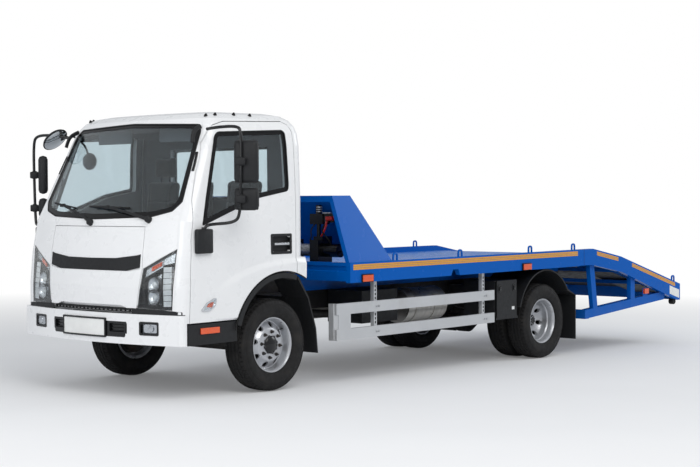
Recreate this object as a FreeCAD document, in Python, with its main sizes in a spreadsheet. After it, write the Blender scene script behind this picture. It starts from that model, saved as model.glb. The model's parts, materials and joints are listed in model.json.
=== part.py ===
import FreeCAD, Part
import math
import os
import re

import Sketcher
from FreeCAD import Placement, Rotation, Vector

# Tow truck with a cab over its front axle, a low deck and a sloping tail, in millimetres.
# The pieces are first laid out level: +X is the driver's side, +Y runs back from the front axle
# and +Z is up from the ground below that axle. At the end all of them are tipped forward about
# the front axle, as the truck stands, and moved so that the origin is on the ground below the middle.

os.makedirs("parts", exist_ok=True)
doc = FreeCAD.newDocument("TowTruck")

SIZES = (
    # running gear
    ("wheelbase", 4040, "front axle to rear axle along the frame"),
    ("rear_rise", 70, "height that the frame gains between the axles"),
    ("tyre_radius", 391, "tyre, to the tread"),
    ("tyre_wide", 225, "tyre, over its side walls"),
    ("tread_wide", 178, "flat part of the tread"),
    ("bead_radius", 226, "tyre's inner radius, where it sits on the rim"),
    ("flange_radius", 235, "rim flange"),
    ("flange_thick", 12, "rim flange along the axle"),
    ("rim_wide", 176, "rim over both flanges"),
    ("rim_wall", 10, "thickness of the rim's barrel"),
    ("disc_thick", 16, "wheel disc"),
    ("disc_inset", 26, "front wheel disc behind the outer flange"),
    ("hub_radius", 76, "hub cap"),
    ("hub_proud", 30, "hub cap in front of the disc"),
    ("hand_hole", 19, "radius of a hole in the wheel disc"),
    ("hand_hole_pitch", 168, "radius of the circle of those holes"),
    ("front_wheel_x", 870, "middle of a front tyre from the truck's middle"),
    ("rear_outer_x", 928, "middle of an outer rear tyre"),
    ("rear_inner_x", 668, "middle of an inner rear tyre"),
    ("spindle_radius", 30, "front stub axle"),
    ("bearing_gap", 0.3, "running clearance of hubs and pins"),
    ("kingpin_x", 745, "kingpin from the truck's middle"),
    ("kingpin_radius", 15, "kingpin"),
    ("boss_radius", 30, "kingpin boss"),
    ("boss_half", 45, "half the height of the beam's boss"),
    ("ear_thick", 24, "knuckle's ears above and below the boss"),
    ("web_thick", 20, "knuckle's web beside the boss"),
    ("web_back", 37, "knuckle's web from the kingpin"),
    ("drum_radius", 158, "brake drum"),
    ("drum_wide", 60, "brake drum along the axle"),
    ("arm_long", 180, "steering arm from the kingpin"),
    ("arm_wide", 34, "steering arm"),
    ("tie_radius", 14, "tie rod"),
    ("beam_half", 35, "half the width of the front axle beam"),
    ("beam_high", 60, "height of the front axle beam"),
    ("beam_drop", 40, "drop of the front axle beam at its middle"),
    ("beam_flat", 520, "half the length of the dropped part"),
    ("tube_radius", 52, "rear axle tube"),
    ("diff_radius", 165, "rear axle's gear housing"),
    ("diff_half", 120, "half the width of the gear housing"),
    ("shaft_radius", 40, "propeller shaft"),
    # frame
    ("frame_half", 375, "outer face of a frame rail from the middle"),
    ("frame_low", 600, "frame rail's lower face"),
    ("frame_high", 170, "height of a frame rail"),
    ("frame_flange", 62, "width of a frame rail's flanges"),
    ("frame_wall", 8, "wall of a frame rail"),
    ("frame_front", -930, "front end of the frame rails"),
    ("frame_back", 5340, "rear end of the frame rails"),
    ("cross_tube_radius", 45, "frame's cross tubes"),
    ("spring_x", 400, "middle of a leaf spring"),
    ("spring_wide", 70, "leaf spring"),
    ("spring_thick", 44, "leaf pack at the front axle"),
    ("spring_half", 620, "half the length of a front spring"),
    ("rear_spring_thick", 84, "leaf pack at the rear axle"),
    ("rear_spring_half", 680, "half the length of a rear spring"),
    ("hanger_thick", 30, "spring hanger along the frame"),
    ("eye_drop", 70, "spring's ends below the frame"),
    # heavy pieces on the frame
    ("engine_half", 262, "half the width of the engine"),
    ("engine_front", -500, "front of the engine"),
    ("engine_back", 800, "back of the gearbox"),
    ("engine_low", 470, "underside of the engine"),
    ("engine_top", 930, "top of the engine"),
    ("mount_wide", 90, "engine mount along the frame"),
    ("mount_high", 60, "height of an engine mount"),
    ("silencer_radius", 165, "silencer"),
    ("silencer_x", 690, "silencer from the middle"),
    ("silencer_z", 590, "height of the silencer"),
    ("silencer_front", 1990, "front end of the silencer"),
    ("silencer_back", 2590, "rear end of the silencer"),
    ("strap_wide", 40, "strap round the silencer or the tank"),
    ("strap_thick", 5, "strap"),
    ("tank_inner", 420, "inner face of the fuel tank"),
    ("tank_outer", 930, "outer face of the fuel tank"),
    ("tank_low", 400, "underside of the fuel tank"),
    ("tank_top", 760, "top of the fuel tank"),
    ("tank_front", 1500, "front of the fuel tank"),
    ("tank_back", 2560, "rear of the fuel tank"),
    ("tank_round", 60, "rounding of the fuel tank"),
    ("battery_inner", 400, "inner face of the battery box"),
    ("battery_outer", 820, "outer face of the battery box"),
    ("battery_low", 470, "underside of the battery box"),
    ("battery_top", 770, "top of the battery box"),
    ("battery_front", 1330, "front of the battery box"),
    ("battery_back", 1850, "rear of the battery box"),
    # deck
    ("deck_half", 1100, "outer face of the deck's side rails"),
    ("deck_front", 845, "front end of the deck"),
    ("deck_back", 4646, "rear end of the flat deck's side rails"),
    ("rail_low", 876, "lower edge of the side rails"),
    ("rail_top", 1056, "upper edge of the side rails"),
    ("rail_thick", 50, "side rails across the truck"),
    ("floor_sunk", 60, "floor below the side rails' upper edge"),
    ("floor_thick", 10, "deck floor"),
    ("bearer_half", 372, "outer face of the deck's long bearers"),
    ("bearer_wide", 60, "long bearers"),
    ("cross_high", 80, "cross beams"),
    ("cross_wide", 60, "cross beams along the deck"),
    ("cross_first", 1250, "first cross beam behind the front one"),
    ("cross_pitch", 427, "from one cross beam to the next"),
    ("notch_front", 2330, "gap in the side rail's lower edge, front"),
    ("notch_back", 2472, "gap in the side rail's lower edge, rear"),
    ("notch_slope", 26, "lean of the notch's ends"),
    ("notch_high", 58, "height of the notch"),
    ("front_groove", 14, "depth of the grooves in the front beam"),
    # tail
    ("knee_back", 4917, "first bend of the tail"),
    ("knee_two", 5514, "second bend of the tail"),
    ("knee_two_drop", 105, "drop from the first bend to the second"),
    ("tail_back", 6892, "rear end of the tail"),
    ("tail_drop", 478, "drop from the deck to the tail's end"),
    ("tail_rail_high", 176, "height of the tail's side rails"),
    ("tail_end_low", 386, "lower edge of the tail's end plate"),
    ("end_thick", 16, "end plate"),
    ("under_x", 1060, "outer face of the lower bars"),
    ("under_wide", 80, "lower bars across the truck"),
    ("under_front", 4815, "front end of the lower bars"),
    ("under_front_low", 290, "lower edge of the bars at the front"),
    ("under_high", 96, "height of the lower bars"),
    ("under_back", 6600, "rear end of the lower bars"),
    ("under_back_low", 407, "lower edge of the bars at the rear"),
    ("post_wide", 92, "posts along the truck"),
    ("post_lean", 90, "lean of the front post"),
    ("post_one", 4902, "front post at the rail"),
    ("post_two", 5795, "rear post"),
    ("ramp_wide", 380, "stored ramp"),
    ("ramp_thick", 50, "stored ramp"),
    ("ramp_x", 640, "middle of a stored ramp"),
    ("ramp_gap", 5, "stored ramp below the floor"),
    # headboard and winch
    ("head_top", 1650, "top of the headboard"),
    ("head_top_half", 890, "half the width of the headboard's top"),
    ("head_foot_long", 592, "headboard's side plates along the rail"),
    ("head_top_long", 245, "headboard's side plates at the top"),
    ("head_thick", 46, "headboard's side plates and top beam"),
    ("head_beam", 56, "height of the headboard's top beam"),
    ("screen_thick", 6, "sheet of the headboard"),
    ("screen_low", 1180, "lower edge of the headboard's sheet"),
    ("winch_x", 360, "middle of the winch drum from the truck's middle"),
    ("winch_y", 1085, "winch behind the front axle"),
    ("winch_z", 1150, "height of the winch drum"),
    ("drum_half", 120, "half the length of the winch drum"),
    ("winch_barrel", 44, "winch drum's barrel"),
    ("winch_flange", 78, "winch drum's flanges"),
    ("winch_end", 110, "winch's end housings across the truck"),
    ("winch_side", 96, "half the size of the end housings"),
    ("winch_motor", 62, "radius of the winch motor"),
    ("winch_motor_long", 190, "winch motor"),
    ("switch_low", 1389, "underside of the winch's switch box"),
    ("switch_high", 95, "height of the winch's switch box"),
    ("switch_long", 157, "winch's switch box across the truck"),
    ("switch_deep", 100, "winch's switch box along the truck"),
    ("socket_long", 126, "winch's plug box across the truck"),
    ("socket_high", 79, "height of the winch's plug box"),
    ("socket_deep", 76, "winch's plug box along the truck"),
    ("winch_post", 20, "radius of the post under the switch box"),
    ("winch_knob", 28, "radius of the winch's relief cap"),
    ("winch_knob_high", 80, "height of the winch's relief cap"),
    # rings, lamps and boxes
    ("ring_rod", 7, "half the thickness of a lashing eye"),
    ("ring_half", 22, "middle of a lashing eye's web from its centre"),
    ("ring_high", 58, "height of a lashing eye over the rail"),
    ("ring_inset", 20, "lashing eye from the rail's outer face"),
    ("lamp_long", 140, "side lamp"),
    ("lamp_high", 58, "side lamp"),
    ("lamp_thick", 22, "side lamp"),
    ("lamp_low", 882, "lower edge of the side lamps"),
    ("rear_lamp_y", 6080, "front end of the rear side lamps"),
    ("rear_lamp_low", 500, "lower edge of the rear side lamps"),
    ("lamp_plate", 6, "plate that carries a rear side lamp"),
    ("tail_lamp_x", 860, "middle of a tail lamp"),
    ("tail_lamp_long", 300, "tail lamp"),
    ("tail_lamp_high", 90, "tail lamp"),
    ("guard_x", 1050, "outer face of the side guard"),
    ("guard_thick", 32, "side guard rails"),
    ("guard_front", 710, "front end of the side guard"),
    ("guard_back", 3115, "rear end of the side guard"),
    ("guard_low", 372, "lower edge of the side guard"),
    ("guard_top", 696, "upper edge of the side guard"),
    ("guard_rail", 97, "height of a side guard rail"),
    ("guard_post", 196, "width of the side guard's front plate"),
    ("guard_turn", 90, "side guard's front plate turned inwards"),
    ("hanger_one", 1280, "front hanger of the side guard"),
    ("hanger_two", 2958, "rear hanger of the side guard"),
    ("hanger_wide", 42, "hangers of the side guard"),
    ("hanger_deep", 34, "hangers of the side guard"),
    ("box_front", 3160, "front of the tool box"),
    ("box_back", 3546, "rear of the tool box"),
    ("box_low", 400, "underside of the tool box"),
    ("box_top", 782, "top of the tool box"),
    ("box_inner", 640, "inner face of the tool box"),
    ("box_outer", 1020, "outer face of the tool box"),
    ("box_wall", 12, "walls and door of the tool box"),
    ("box_ear", 18, "hinge ears beside the tool box door"),
    # mudguards
    ("rear_guard_radius", 505, "outer radius of the rear mudguards"),
    ("guard_wall", 14, "mudguards"),
    ("guard_lift", 40, "middle of the rear arches above the axle"),
    ("rear_guard_inner", 540, "inner edge of the rear mudguards"),
    ("rear_guard_outer", 1062, "outer edge of the rear mudguards"),
    ("flap_low", 90, "lower edge of the rear mud flaps"),
    ("flap_back", 4606, "rear mud flaps behind the front axle"),
    ("front_guard_inner", 700, "inner edge of the front mudguards"),
    ("front_guard_outer", 1000, "outer edge of the front mudguards"),
    # cab
    ("cab_low", 640, "lower edge of the cab's sides"),
    ("cab_high", 1722, "height of the cab above that edge"),
    ("cab_half", 1015, "half the width of the cab"),
    ("cab_front", -1190, "front of the cab"),
    ("cab_back", 355, "rear wall of the cab"),
    ("cab_wall", 60, "walls, doors and pillars"),
    ("corner_post", 16, "posts inside the front corners, across the truck"),
    ("bow_radius", 3600, "curve of the cab's front seen from above"),
    ("cab_corner", 100, "rounding of the cab's corners seen from above"),
    ("bulkhead", -974, "cab's front wall behind the front panel"),
    ("floor_low", 722, "footwell floor"),
    ("floor_step", -500, "rear end of the footwell"),
    ("floor_high", 990, "floor above the engine"),
    ("cab_floor_thick", 25, "cab floor"),
    ("arch_y", 70, "middle of the front wheel arch"),
    ("arch_z", 430, "height of that middle"),
    ("arch_radius", 570, "edge of the wheel arch"),
    ("arch_lip", 44, "black lip of the wheel arch"),
    ("side_low", 1004, "lower edge of the cab behind the arch"),
    ("sill_low", 462, "lower edge of the sill"),
    ("sill_top", 628, "upper edge of the sill"),
    ("sill_back", -470, "rear end of the sill"),
    ("sill_inner", 925, "inner face of the sill"),
    ("hinge_y", -980, "cab's tilting hinge"),
    ("hinge_z", 560, "height of the cab's tilting hinge"),
    ("hinge_radius", 22, "pin of that hinge"),
    ("hinge_x", 330, "middle of a hinge pin"),
    ("door_gap", 6, "gap round the doors"),
    ("handle_front", -60, "front end of the door handle's recess"),
    ("handle_back", 174, "rear end of the door handle's recess"),
    ("handle_low", 1168, "lower edge of the door handle's recess"),
    ("handle_high", 152, "height of the door handle's recess"),
    ("handle_round", 34, "cut-off corners of that recess"),
    ("handle_deep", 30, "depth of that recess"),
    ("grip_high", 30, "height of the door handle's grip"),
    ("grip_sunk", 4, "grip below the door's outer face"),
    ("grip_thick", 12, "grip of the door handle"),
    ("tab_lean", 0.026, "lean of the door's front edge where its hinges are"),
    ("panel_gap", 5, "gap round the front panel"),
    ("panel_thick", 26, "front panel"),
    ("panel_low", 752, "lower edge of the front panel"),
    ("panel_top", 1404, "upper edge of the front panel"),
    ("panel_half", 572, "half the width of the front panel at its top"),
    ("panel_knee_half", 588, "half its width above the headlamps"),
    ("panel_low_half", 542, "half its width at its lower edge"),
    ("notch_low_half", 440, "half the width of the notch in its lower edge"),
    ("notch_top_half", 376, "half the width of that notch at its top"),
    ("panel_notch", 20, "height of that notch"),
    ("mouth_deep", 36, "air inlet below the front panel, depth"),
    ("mouth_half", 840, "half the width of the air inlet"),
    ("slat_half", 500, "half the width of the air inlet's grille"),
    ("slat_thick", 12, "grille of the air inlet"),
    ("slat_wide", 10, "bars of the air inlet's grille"),
    ("slat_pitch", 50, "from one of its bars to the next"),
    ("tunnel_half", 385, "half the width of the tunnel over the engine"),
    ("band_low", 1048, "lower edge of the dark band"),
    ("band_high", 102, "height of the dark band"),
    ("glass_thick", 6, "window glass"),
    ("glass_in", 6, "door glass below the door's outer face"),
    ("seal_gap", 0.3, "piece that is set into an opening"),
    ("rear_window_half", 620, "half the width of the rear window"),
    ("rear_window_low", 1620, "lower edge of the rear window"),
    ("rear_window_top", 2080, "upper edge of the rear window"),
    # bumper
    ("bumper_low", 462, "lower edge of the bumper"),
    ("bumper_top", 706, "upper edge of the bumper"),
    ("bumper_half", 1010, "half the width of the bumper"),
    ("bumper_front", -1212, "front of the bumper"),
    ("bumper_back", -1028, "rear ends of the bumper"),
    ("bumper_wall", 40, "wall of the bumper"),
    ("bumper_corner", 50, "rounding of the bumper's corners seen from above"),
    ("fog_inner", 602, "inner end of a fog lamp"),
    ("fog_outer", 780, "outer end of a fog lamp"),
    ("fog_low", 545, "lower edge of a fog lamp"),
    ("fog_high", 98, "fog lamp"),
    ("grille_inner", 262, "inner end of the bumper's side recesses"),
    ("grille_outer", 468, "outer end of those recesses"),
    ("recess_deep", 24, "depth of those recesses"),
    # cab inside
    ("seat_low", 1080, "underside of the seat cushions"),
    ("seat_top", 1230, "top of the seat cushions"),
    ("seat_front", -330, "front of the seats"),
    ("seat_back", 130, "back of the seat cushions"),
    ("seat_x", 520, "middle of the outer seats"),
    ("seat_half", 235, "half the width of a seat"),
    ("back_thick", 120, "seat back"),
    ("back_top", 1800, "top of the seat backs"),
    ("rest_top", 2010, "top of the head rests"),
    ("rest_half", 140, "half the width of a head rest"),
    ("dash_back", -640, "rear face of the dashboard"),
    ("dash_low", 1150, "underside of the dashboard"),
    ("dash_top", 1425, "top of the dashboard"),
    ("wheel_x", 520, "middle of the steering wheel"),
    ("wheel_y", -500, "middle of the steering wheel"),
    ("wheel_z", 1500, "middle of the steering wheel"),
    ("wheel_radius", 205, "steering wheel"),
    ("wheel_rim", 15, "radius of the steering wheel's rim"),
    ("column_radius", 28, "steering column"),
    # mirrors
    ("mirror_x", 1250, "mirror's upright tube"),
    ("mirror_y", -670, "mirror's upright tube"),
    ("mirror_tube", 13, "radius of the mirror tube"),
    ("mirror_foot", 1395, "lower end of the upright tube"),
    ("mirror_head", 2185, "upper end of the upright tube"),
    ("mirror_half", 92, "half the width of a mirror housing"),
    ("mirror_deep", 80, "depth of a mirror housing"),
    ("main_low", 1755, "lower edge of the main mirror"),
    ("main_high", 335, "main mirror"),
    ("wide_low", 1530, "lower edge of the wide mirror"),
    ("wide_high", 178, "wide mirror"),
    ("foot_low", 1192, "lower edge of the mirror's foot"),
    ("foot_high", 195, "mirror's foot"),
    ("foot_front", -935, "front edge of the mirror's foot"),
    ("foot_wide", 172, "mirror's foot along the door"),
    ("foot_thick", 40, "mirror's foot"),
    ("round_radius", 100, "round front mirror"),
    ("round_thick", 40, "round front mirror"),
    # shared
    ("overrun", 5, "how far a cut runs past what it cuts"),
)

sheet = doc.addObject("Spreadsheet::Sheet", "Sizes")
for row, (alias, value, note) in enumerate(SIZES, 1):
    sheet.set(f"A{row}", note)
    sheet.set(f"B{row}", str(value))
    sheet.setAlias(f"B{row}", alias)
doc.recompute()


def size(alias):
    """Value of a named size, in millimetres."""
    return float(sheet.get(alias))


def cells(words):
    """Turn an expression in plain size names into one that reads the sheet."""
    return re.sub(r"[a-z][a-z_]*", lambda found: "Sizes." + found.group(0), words)


def bind(item, prop, words):
    item.setExpression(prop, cells(words))


# Helpers: each takes expressions in size names and gives an object of the document.

def block(name, x0, x1, y0, y1, z0, z1):
    """Box between six planes."""
    item = doc.addObject("Part::Box", name)
    for prop, low, high in (("Length", x0, x1), ("Width", y0, y1), ("Height", z0, z1)):
        bind(item, prop, f"({high}) - ({low})")
    for axis, low in (("x", x0), ("y", y0), ("z", z0)):
        bind(item, "Placement.Base." + axis, low)
    return item


TURNS = {"X": Rotation(Vector(0, 1, 0), 90), "Y": Rotation(Vector(1, 0, 0), -90), "Z": Rotation()}


def rod(name, axis, radius, start, end, first, second):
    """Cylinder along an axis, from start to end, at two coordinates across it in X, Y, Z order."""
    item = doc.addObject("Part::Cylinder", name)
    item.Placement = Placement(Vector(0, 0, 0), TURNS[axis])
    bind(item, "Radius", radius)
    bind(item, "Height", f"({end}) - ({start})")
    places = {"X": (start, first, second), "Y": (first, start, second), "Z": (first, second, start)}[axis]
    for letter, words in zip("xyz", places):
        bind(item, "Placement.Base." + letter, words)
    return item


def origin_plane(body, plane):
    return [part for part in body.Origin.OriginFeatures if part.Role == plane + "_Plane"][0]


def outline(body, plane, points):
    """Closed sketch whose corners are bound to the sheet, on one of the body's own planes."""
    sketch = body.newObject("Sketcher::SketchObject", body.Name + "_outline")
    sketch.AttachmentSupport = [(origin_plane(body, plane), "")]
    sketch.MapMode = "FlatFace"
    count = len(points)
    turns = [2 * math.pi * i / count for i in range(count)]
    corners = [Vector(math.cos(turn), math.sin(turn), 0) for turn in turns]
    for i in range(count):
        sketch.addGeometry(Part.LineSegment(corners[i], corners[(i + 1) % count]))
    for i in range(count):
        sketch.addConstraint(Sketcher.Constraint("Coincident", i, 2, (i + 1) % count, 1))
    for i, point in enumerate(points):
        for kind, words, start in zip(("DistanceX", "DistanceY"), point, corners[i]):
            place = sketch.addConstraint(Sketcher.Constraint(kind, -1, 1, i, 1, start))
            sketch.setExpression(f"Constraints[{place}]", cells(words))
    return sketch


def prism(name, plane, points, start, end):
    """Outline in the YZ, XZ or XY plane, padded across it from start to end."""
    body = doc.addObject("PartDesign::Body", name)
    sketch = outline(body, plane, points)
    back = plane == "XZ"
    bind(sketch, "AttachmentOffset.Base.z", f"-({start})" if back else start)
    pad = body.newObject("PartDesign::Pad", name + "_pad")
    pad.Profile = sketch
    pad.Reversed = back
    bind(pad, "Length", f"({end}) - ({start})")
    return body


def turned(name, points, x, y, z):
    """Outline of (place along X, radius) corners, revolved about the X line through x, y, z."""
    body = doc.addObject("PartDesign::Body", name)
    sketch = outline(body, "XZ", points)
    turn = body.newObject("PartDesign::Revolution", name + "_turn")
    turn.Profile = sketch
    turn.ReferenceAxis = (sketch, ["H_Axis"])
    turn.Angle = 360
    for letter, words in zip("xyz", (x, y, z)):
        bind(body, "Placement.Base." + letter, words)
    return body


def feature(name, shape):
    item = doc.addObject("Part::Feature", name)
    item.Shape = shape
    return item


def fuse(name, items):
    item = doc.addObject("Part::MultiFuse", name)
    item.Shapes = list(items)
    return item


def cut(name, base, tool):
    item = doc.addObject("Part::Cut", name)
    item.Base = base
    item.Tool = tool
    return item


def mirrored(name, source):
    """The same piece on the other side of the truck."""
    item = doc.addObject("Part::Mirroring", name)
    item.Source = source
    item.Normal = Vector(1, 0, 0)
    return item


nodes = []


def node(name, items):
    """One named piece of the truck, made of the given objects."""
    item = doc.addObject("Part::Compound", name)
    item.Label = name
    item.Links = list(items)
    nodes.append(item)
    return item


def sided(name, source):
    """A left and a right node from one piece made for the left."""
    node(name + "_left", [source])
    node(name + "_right", [mirrored(name + "_mirror", source)])


def polygon_face(points):
    return Part.Face(Part.makePolygon(list(points) + [points[0]]))


def slab(points, start, end):
    """Polygon of (y, z) corners, as wide as from x = start to x = end."""
    face = polygon_face([Vector(start, y, z) for y, z in points])
    return face.extrude(Vector(end - start, 0, 0))


def between(start, end, radius):
    """Cylinder between two points."""
    return Part.makeCylinder(radius, (end - start).Length, start, end - start)


# Running gear

REAR_Z = "tyre_radius - rear_rise"


def tyre_outline():
    """Half section of a tyre about its own middle: bead, side wall, shoulder and tread."""
    seat = "rim_wide / 2 - flange_thick"
    right = [
        (seat, "bead_radius"),
        (seat, "flange_radius + bearing_gap"),
        ("tyre_wide / 2 * 0.94", "flange_radius + (tyre_radius - flange_radius) * 0.16"),
        ("tyre_wide / 2", "flange_radius + (tyre_radius - flange_radius) * 0.46"),
        ("tyre_wide / 2 * 0.94", "flange_radius + (tyre_radius - flange_radius) * 0.82"),
        ("tread_wide / 2 * 0.9", "tyre_radius"),
    ]
    return right + [(f"-({x})", radius) for x, radius in reversed(right)]


def rim_outline(disc):
    """Section of a rim's barrel, flanges, disc and hub; disc is the disc's outer face along X."""
    edge = "rim_wide / 2"
    seat = "bead_radius - bearing_gap"
    inner = "bead_radius - rim_wall"
    return [
        (f"-({edge})", inner),
        (f"-({edge})", "flange_radius"),
        (f"-({edge}) + flange_thick - bearing_gap", "flange_radius"),
        (f"-({edge}) + flange_thick - bearing_gap", seat),
        (f"({edge}) - flange_thick + bearing_gap", seat),
        (f"({edge}) - flange_thick + bearing_gap", "flange_radius"),
        (edge, "flange_radius"),
        (edge, inner),
        (disc, inner),
        (f"({disc}) - disc_thick / 2", "hub_radius + disc_thick"),
        (f"({disc}) + hub_proud * 0.5", "hub_radius"),
        (f"({disc}) + hub_proud", "hub_radius * 0.8"),
        (f"({disc}) + hub_proud", "0"),
        (f"({disc}) - disc_thick", "0"),
        (f"({disc}) - disc_thick", "spindle_radius + bearing_gap"),
        (f"({disc}) - disc_thick * 4", "spindle_radius + bearing_gap"),
        (f"({disc}) - disc_thick * 4", "hub_radius"),
        (f"({disc}) - disc_thick * 1.5", "hub_radius + disc_thick"),
        (f"({disc}) - disc_thick", inner),
    ]


def holes(name, x0, x1, y, z, count):
    """Round hand holes on a circle about the axle."""
    tools = []
    for i in range(count):
        angle = 2 * math.pi * (i + 0.5) / count
        reach = size("hand_hole_pitch")
        item = doc.addObject("Part::Cylinder", f"{name}_{i}")
        item.Placement = Placement(Vector(0, 0, 0), TURNS["X"])
        bind(item, "Radius", "hand_hole")
        bind(item, "Height", f"({x1}) - ({x0})")
        bind(item, "Placement.Base.x", x0)
        bind(item, "Placement.Base.y", f"({y}) + hand_hole_pitch * {math.cos(angle):.6f}")
        bind(item, "Placement.Base.z", f"({z}) + hand_hole_pitch * {math.sin(angle):.6f}")
        tools.append(item)
    return fuse(name, tools)


def front_wheels():
    tyre = turned("front_tyre", tyre_outline(), "front_wheel_x", "0", "tyre_radius")
    disc = "rim_wide / 2 - disc_inset"
    rim = turned("front_rim_turned", rim_outline(disc), "front_wheel_x", "0", "tyre_radius")
    tools = holes("front_rim_holes", f"front_wheel_x + {disc} - disc_thick - overrun",
                  f"front_wheel_x + {disc} + overrun", "0", "tyre_radius", 8)
    sided("tyre_front", tyre)
    sided("rim_front", cut("front_rim", rim, tools))


def rear_wheels():
    """Twin wheels: the outer disc lies deep in its rim, and both rims meet on the hub."""
    tyres = [
        turned("rear_tyre_outer", tyre_outline(), "rear_outer_x", "wheelbase", REAR_Z),
        turned("rear_tyre_inner", tyre_outline(), "rear_inner_x", "wheelbase", REAR_Z),
    ]
    edge = "rim_wide / 2"
    inner = "bead_radius - rim_wall"
    gap = "rear_outer_x - rear_inner_x"
    barrel = [
        (f"-({edge})", inner),
        (f"-({edge})", "flange_radius"),
        (f"-({edge}) + flange_thick - bearing_gap", "flange_radius"),
        (f"-({edge}) + flange_thick - bearing_gap", "bead_radius - bearing_gap"),
        (f"({edge}) - flange_thick + bearing_gap", "bead_radius - bearing_gap"),
        (f"({edge}) - flange_thick + bearing_gap", "flange_radius"),
        (edge, "flange_radius"),
        (edge, inner),
    ]
    middle = f"-({gap}) / 2"
    outer_disc = [
        (f"{middle} + disc_thick", "0"),
        (f"{middle} + disc_thick + hub_proud * 2.6", "0"),
        (f"{middle} + disc_thick + hub_proud * 2.6", "hub_radius * 0.8"),
        (f"{middle} + disc_thick + hub_proud * 1.4", "hub_radius"),
        (f"{middle} + disc_thick", "hub_radius"),
        (f"{middle} + disc_thick", "hand_hole_pitch"),
        ("disc_thick - rim_wide / 4", inner),
        ("disc_thick - rim_wide / 4", "bead_radius - rim_wall / 2"),
        ("-rim_wide / 4", "bead_radius - rim_wall / 2"),
        (middle, "hand_hole_pitch"),
        (f"{middle} - disc_thick", "hand_hole_pitch"),
        (f"{middle} - disc_thick", "tube_radius + web_thick"),
        (f"{middle} - drum_wide * 2", "tube_radius + web_thick"),
        (f"{middle} - drum_wide * 2", "tube_radius + bearing_gap"),
        (f"{middle} - disc_thick", "tube_radius + bearing_gap"),
        (f"{middle} - disc_thick", "0"),
    ]
    inner_disc = [
        (f"{middle} - disc_thick", "hand_hole_pitch - disc_thick"),
        (middle, "hand_hole_pitch - disc_thick"),
        (f"{middle} + disc_thick / 2", "hand_hole_pitch"),
        (f"rim_wide / 4 - ({gap})", "bead_radius - rim_wall / 2"),
        (f"rim_wide / 4 - disc_thick - ({gap})", "bead_radius - rim_wall / 2"),
        (f"{middle} - disc_thick", "hand_hole_pitch"),
    ]
    pieces = [
        turned("rear_barrel_outer", barrel, "rear_outer_x", "wheelbase", REAR_Z),
        turned("rear_barrel_inner", barrel, "rear_inner_x", "wheelbase", REAR_Z),
        turned("rear_disc_outer", outer_disc, "rear_outer_x", "wheelbase", REAR_Z),
        turned("rear_disc_inner", inner_disc, "rear_outer_x", "wheelbase", REAR_Z),
    ]
    rim = fuse("rear_rim_fused", pieces)
    node("tyre_rear_left", tyres)
    node("tyre_rear_right", [mirrored(f"{tyre.Name}_mirror", tyre) for tyre in tyres])
    sided("rim_rear", rim)


def knuckles():
    """Steering knuckle: kingpin, two ears, web, stub axle, brake drum and steering arm."""
    low = "tyre_radius - boss_half - ear_thick"
    top = "tyre_radius + boss_half + ear_thick"
    pieces = [
        rod("kingpin", "Z", "kingpin_radius", low, top, "kingpin_x", "0"),
        rod("lower_ear", "Z", "boss_radius", low, "tyre_radius - boss_half - bearing_gap", "kingpin_x", "0"),
        rod("upper_ear", "Z", "boss_radius", "tyre_radius + boss_half + bearing_gap", top, "kingpin_x", "0"),
        block("lower_ear_arm", "kingpin_x", "kingpin_x + web_back + web_thick", "-boss_radius", "boss_radius",
              low, "tyre_radius - boss_half - bearing_gap"),
        block("upper_ear_arm", "kingpin_x", "kingpin_x + web_back + web_thick", "-boss_radius", "boss_radius",
              "tyre_radius + boss_half + bearing_gap", top),
        block("knuckle_web", "kingpin_x + web_back", "kingpin_x + web_back + web_thick",
              "-boss_radius", "boss_radius", low, top),
        rod("brake_drum", "X", "drum_radius", "kingpin_x + web_back + web_thick / 2",
            "kingpin_x + web_back + web_thick / 2 + drum_wide * 0.5", "0", "tyre_radius"),
        rod("stub_axle", "X", "spindle_radius", "kingpin_x + web_back",
            "front_wheel_x + rim_wide / 2 - disc_inset - disc_thick - overrun", "0", "tyre_radius"),
        block("steering_arm", "kingpin_x - arm_wide / 2", "kingpin_x + arm_wide / 2", "0",
              "arm_long + arm_wide / 2", low, "tyre_radius - boss_half - bearing_gap"),
    ]
    sided("knuckle", fuse("knuckle_fused", pieces))


def tie_rod():
    """Rod between the steering arms, below them, with a ball end at each arm."""
    z = "tyre_radius - boss_half - ear_thick - tie_radius * 1.5"
    pieces = [
        rod("tie_tube", "X", "tie_radius", "-kingpin_x", "kingpin_x", "arm_long", z),
        rod("tie_end_left", "Z", "tie_radius * 1.5", f"{z} - tie_radius * 1.3",
            f"{z} + tie_radius * 1.5 - bearing_gap", "kingpin_x", "arm_long"),
        rod("tie_end_right", "Z", "tie_radius * 1.5", f"{z} - tie_radius * 1.3",
            f"{z} + tie_radius * 1.5 - bearing_gap", "-kingpin_x", "arm_long"),
    ]
    node("tie_rod", [fuse("tie_rod_fused", pieces)])


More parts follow.
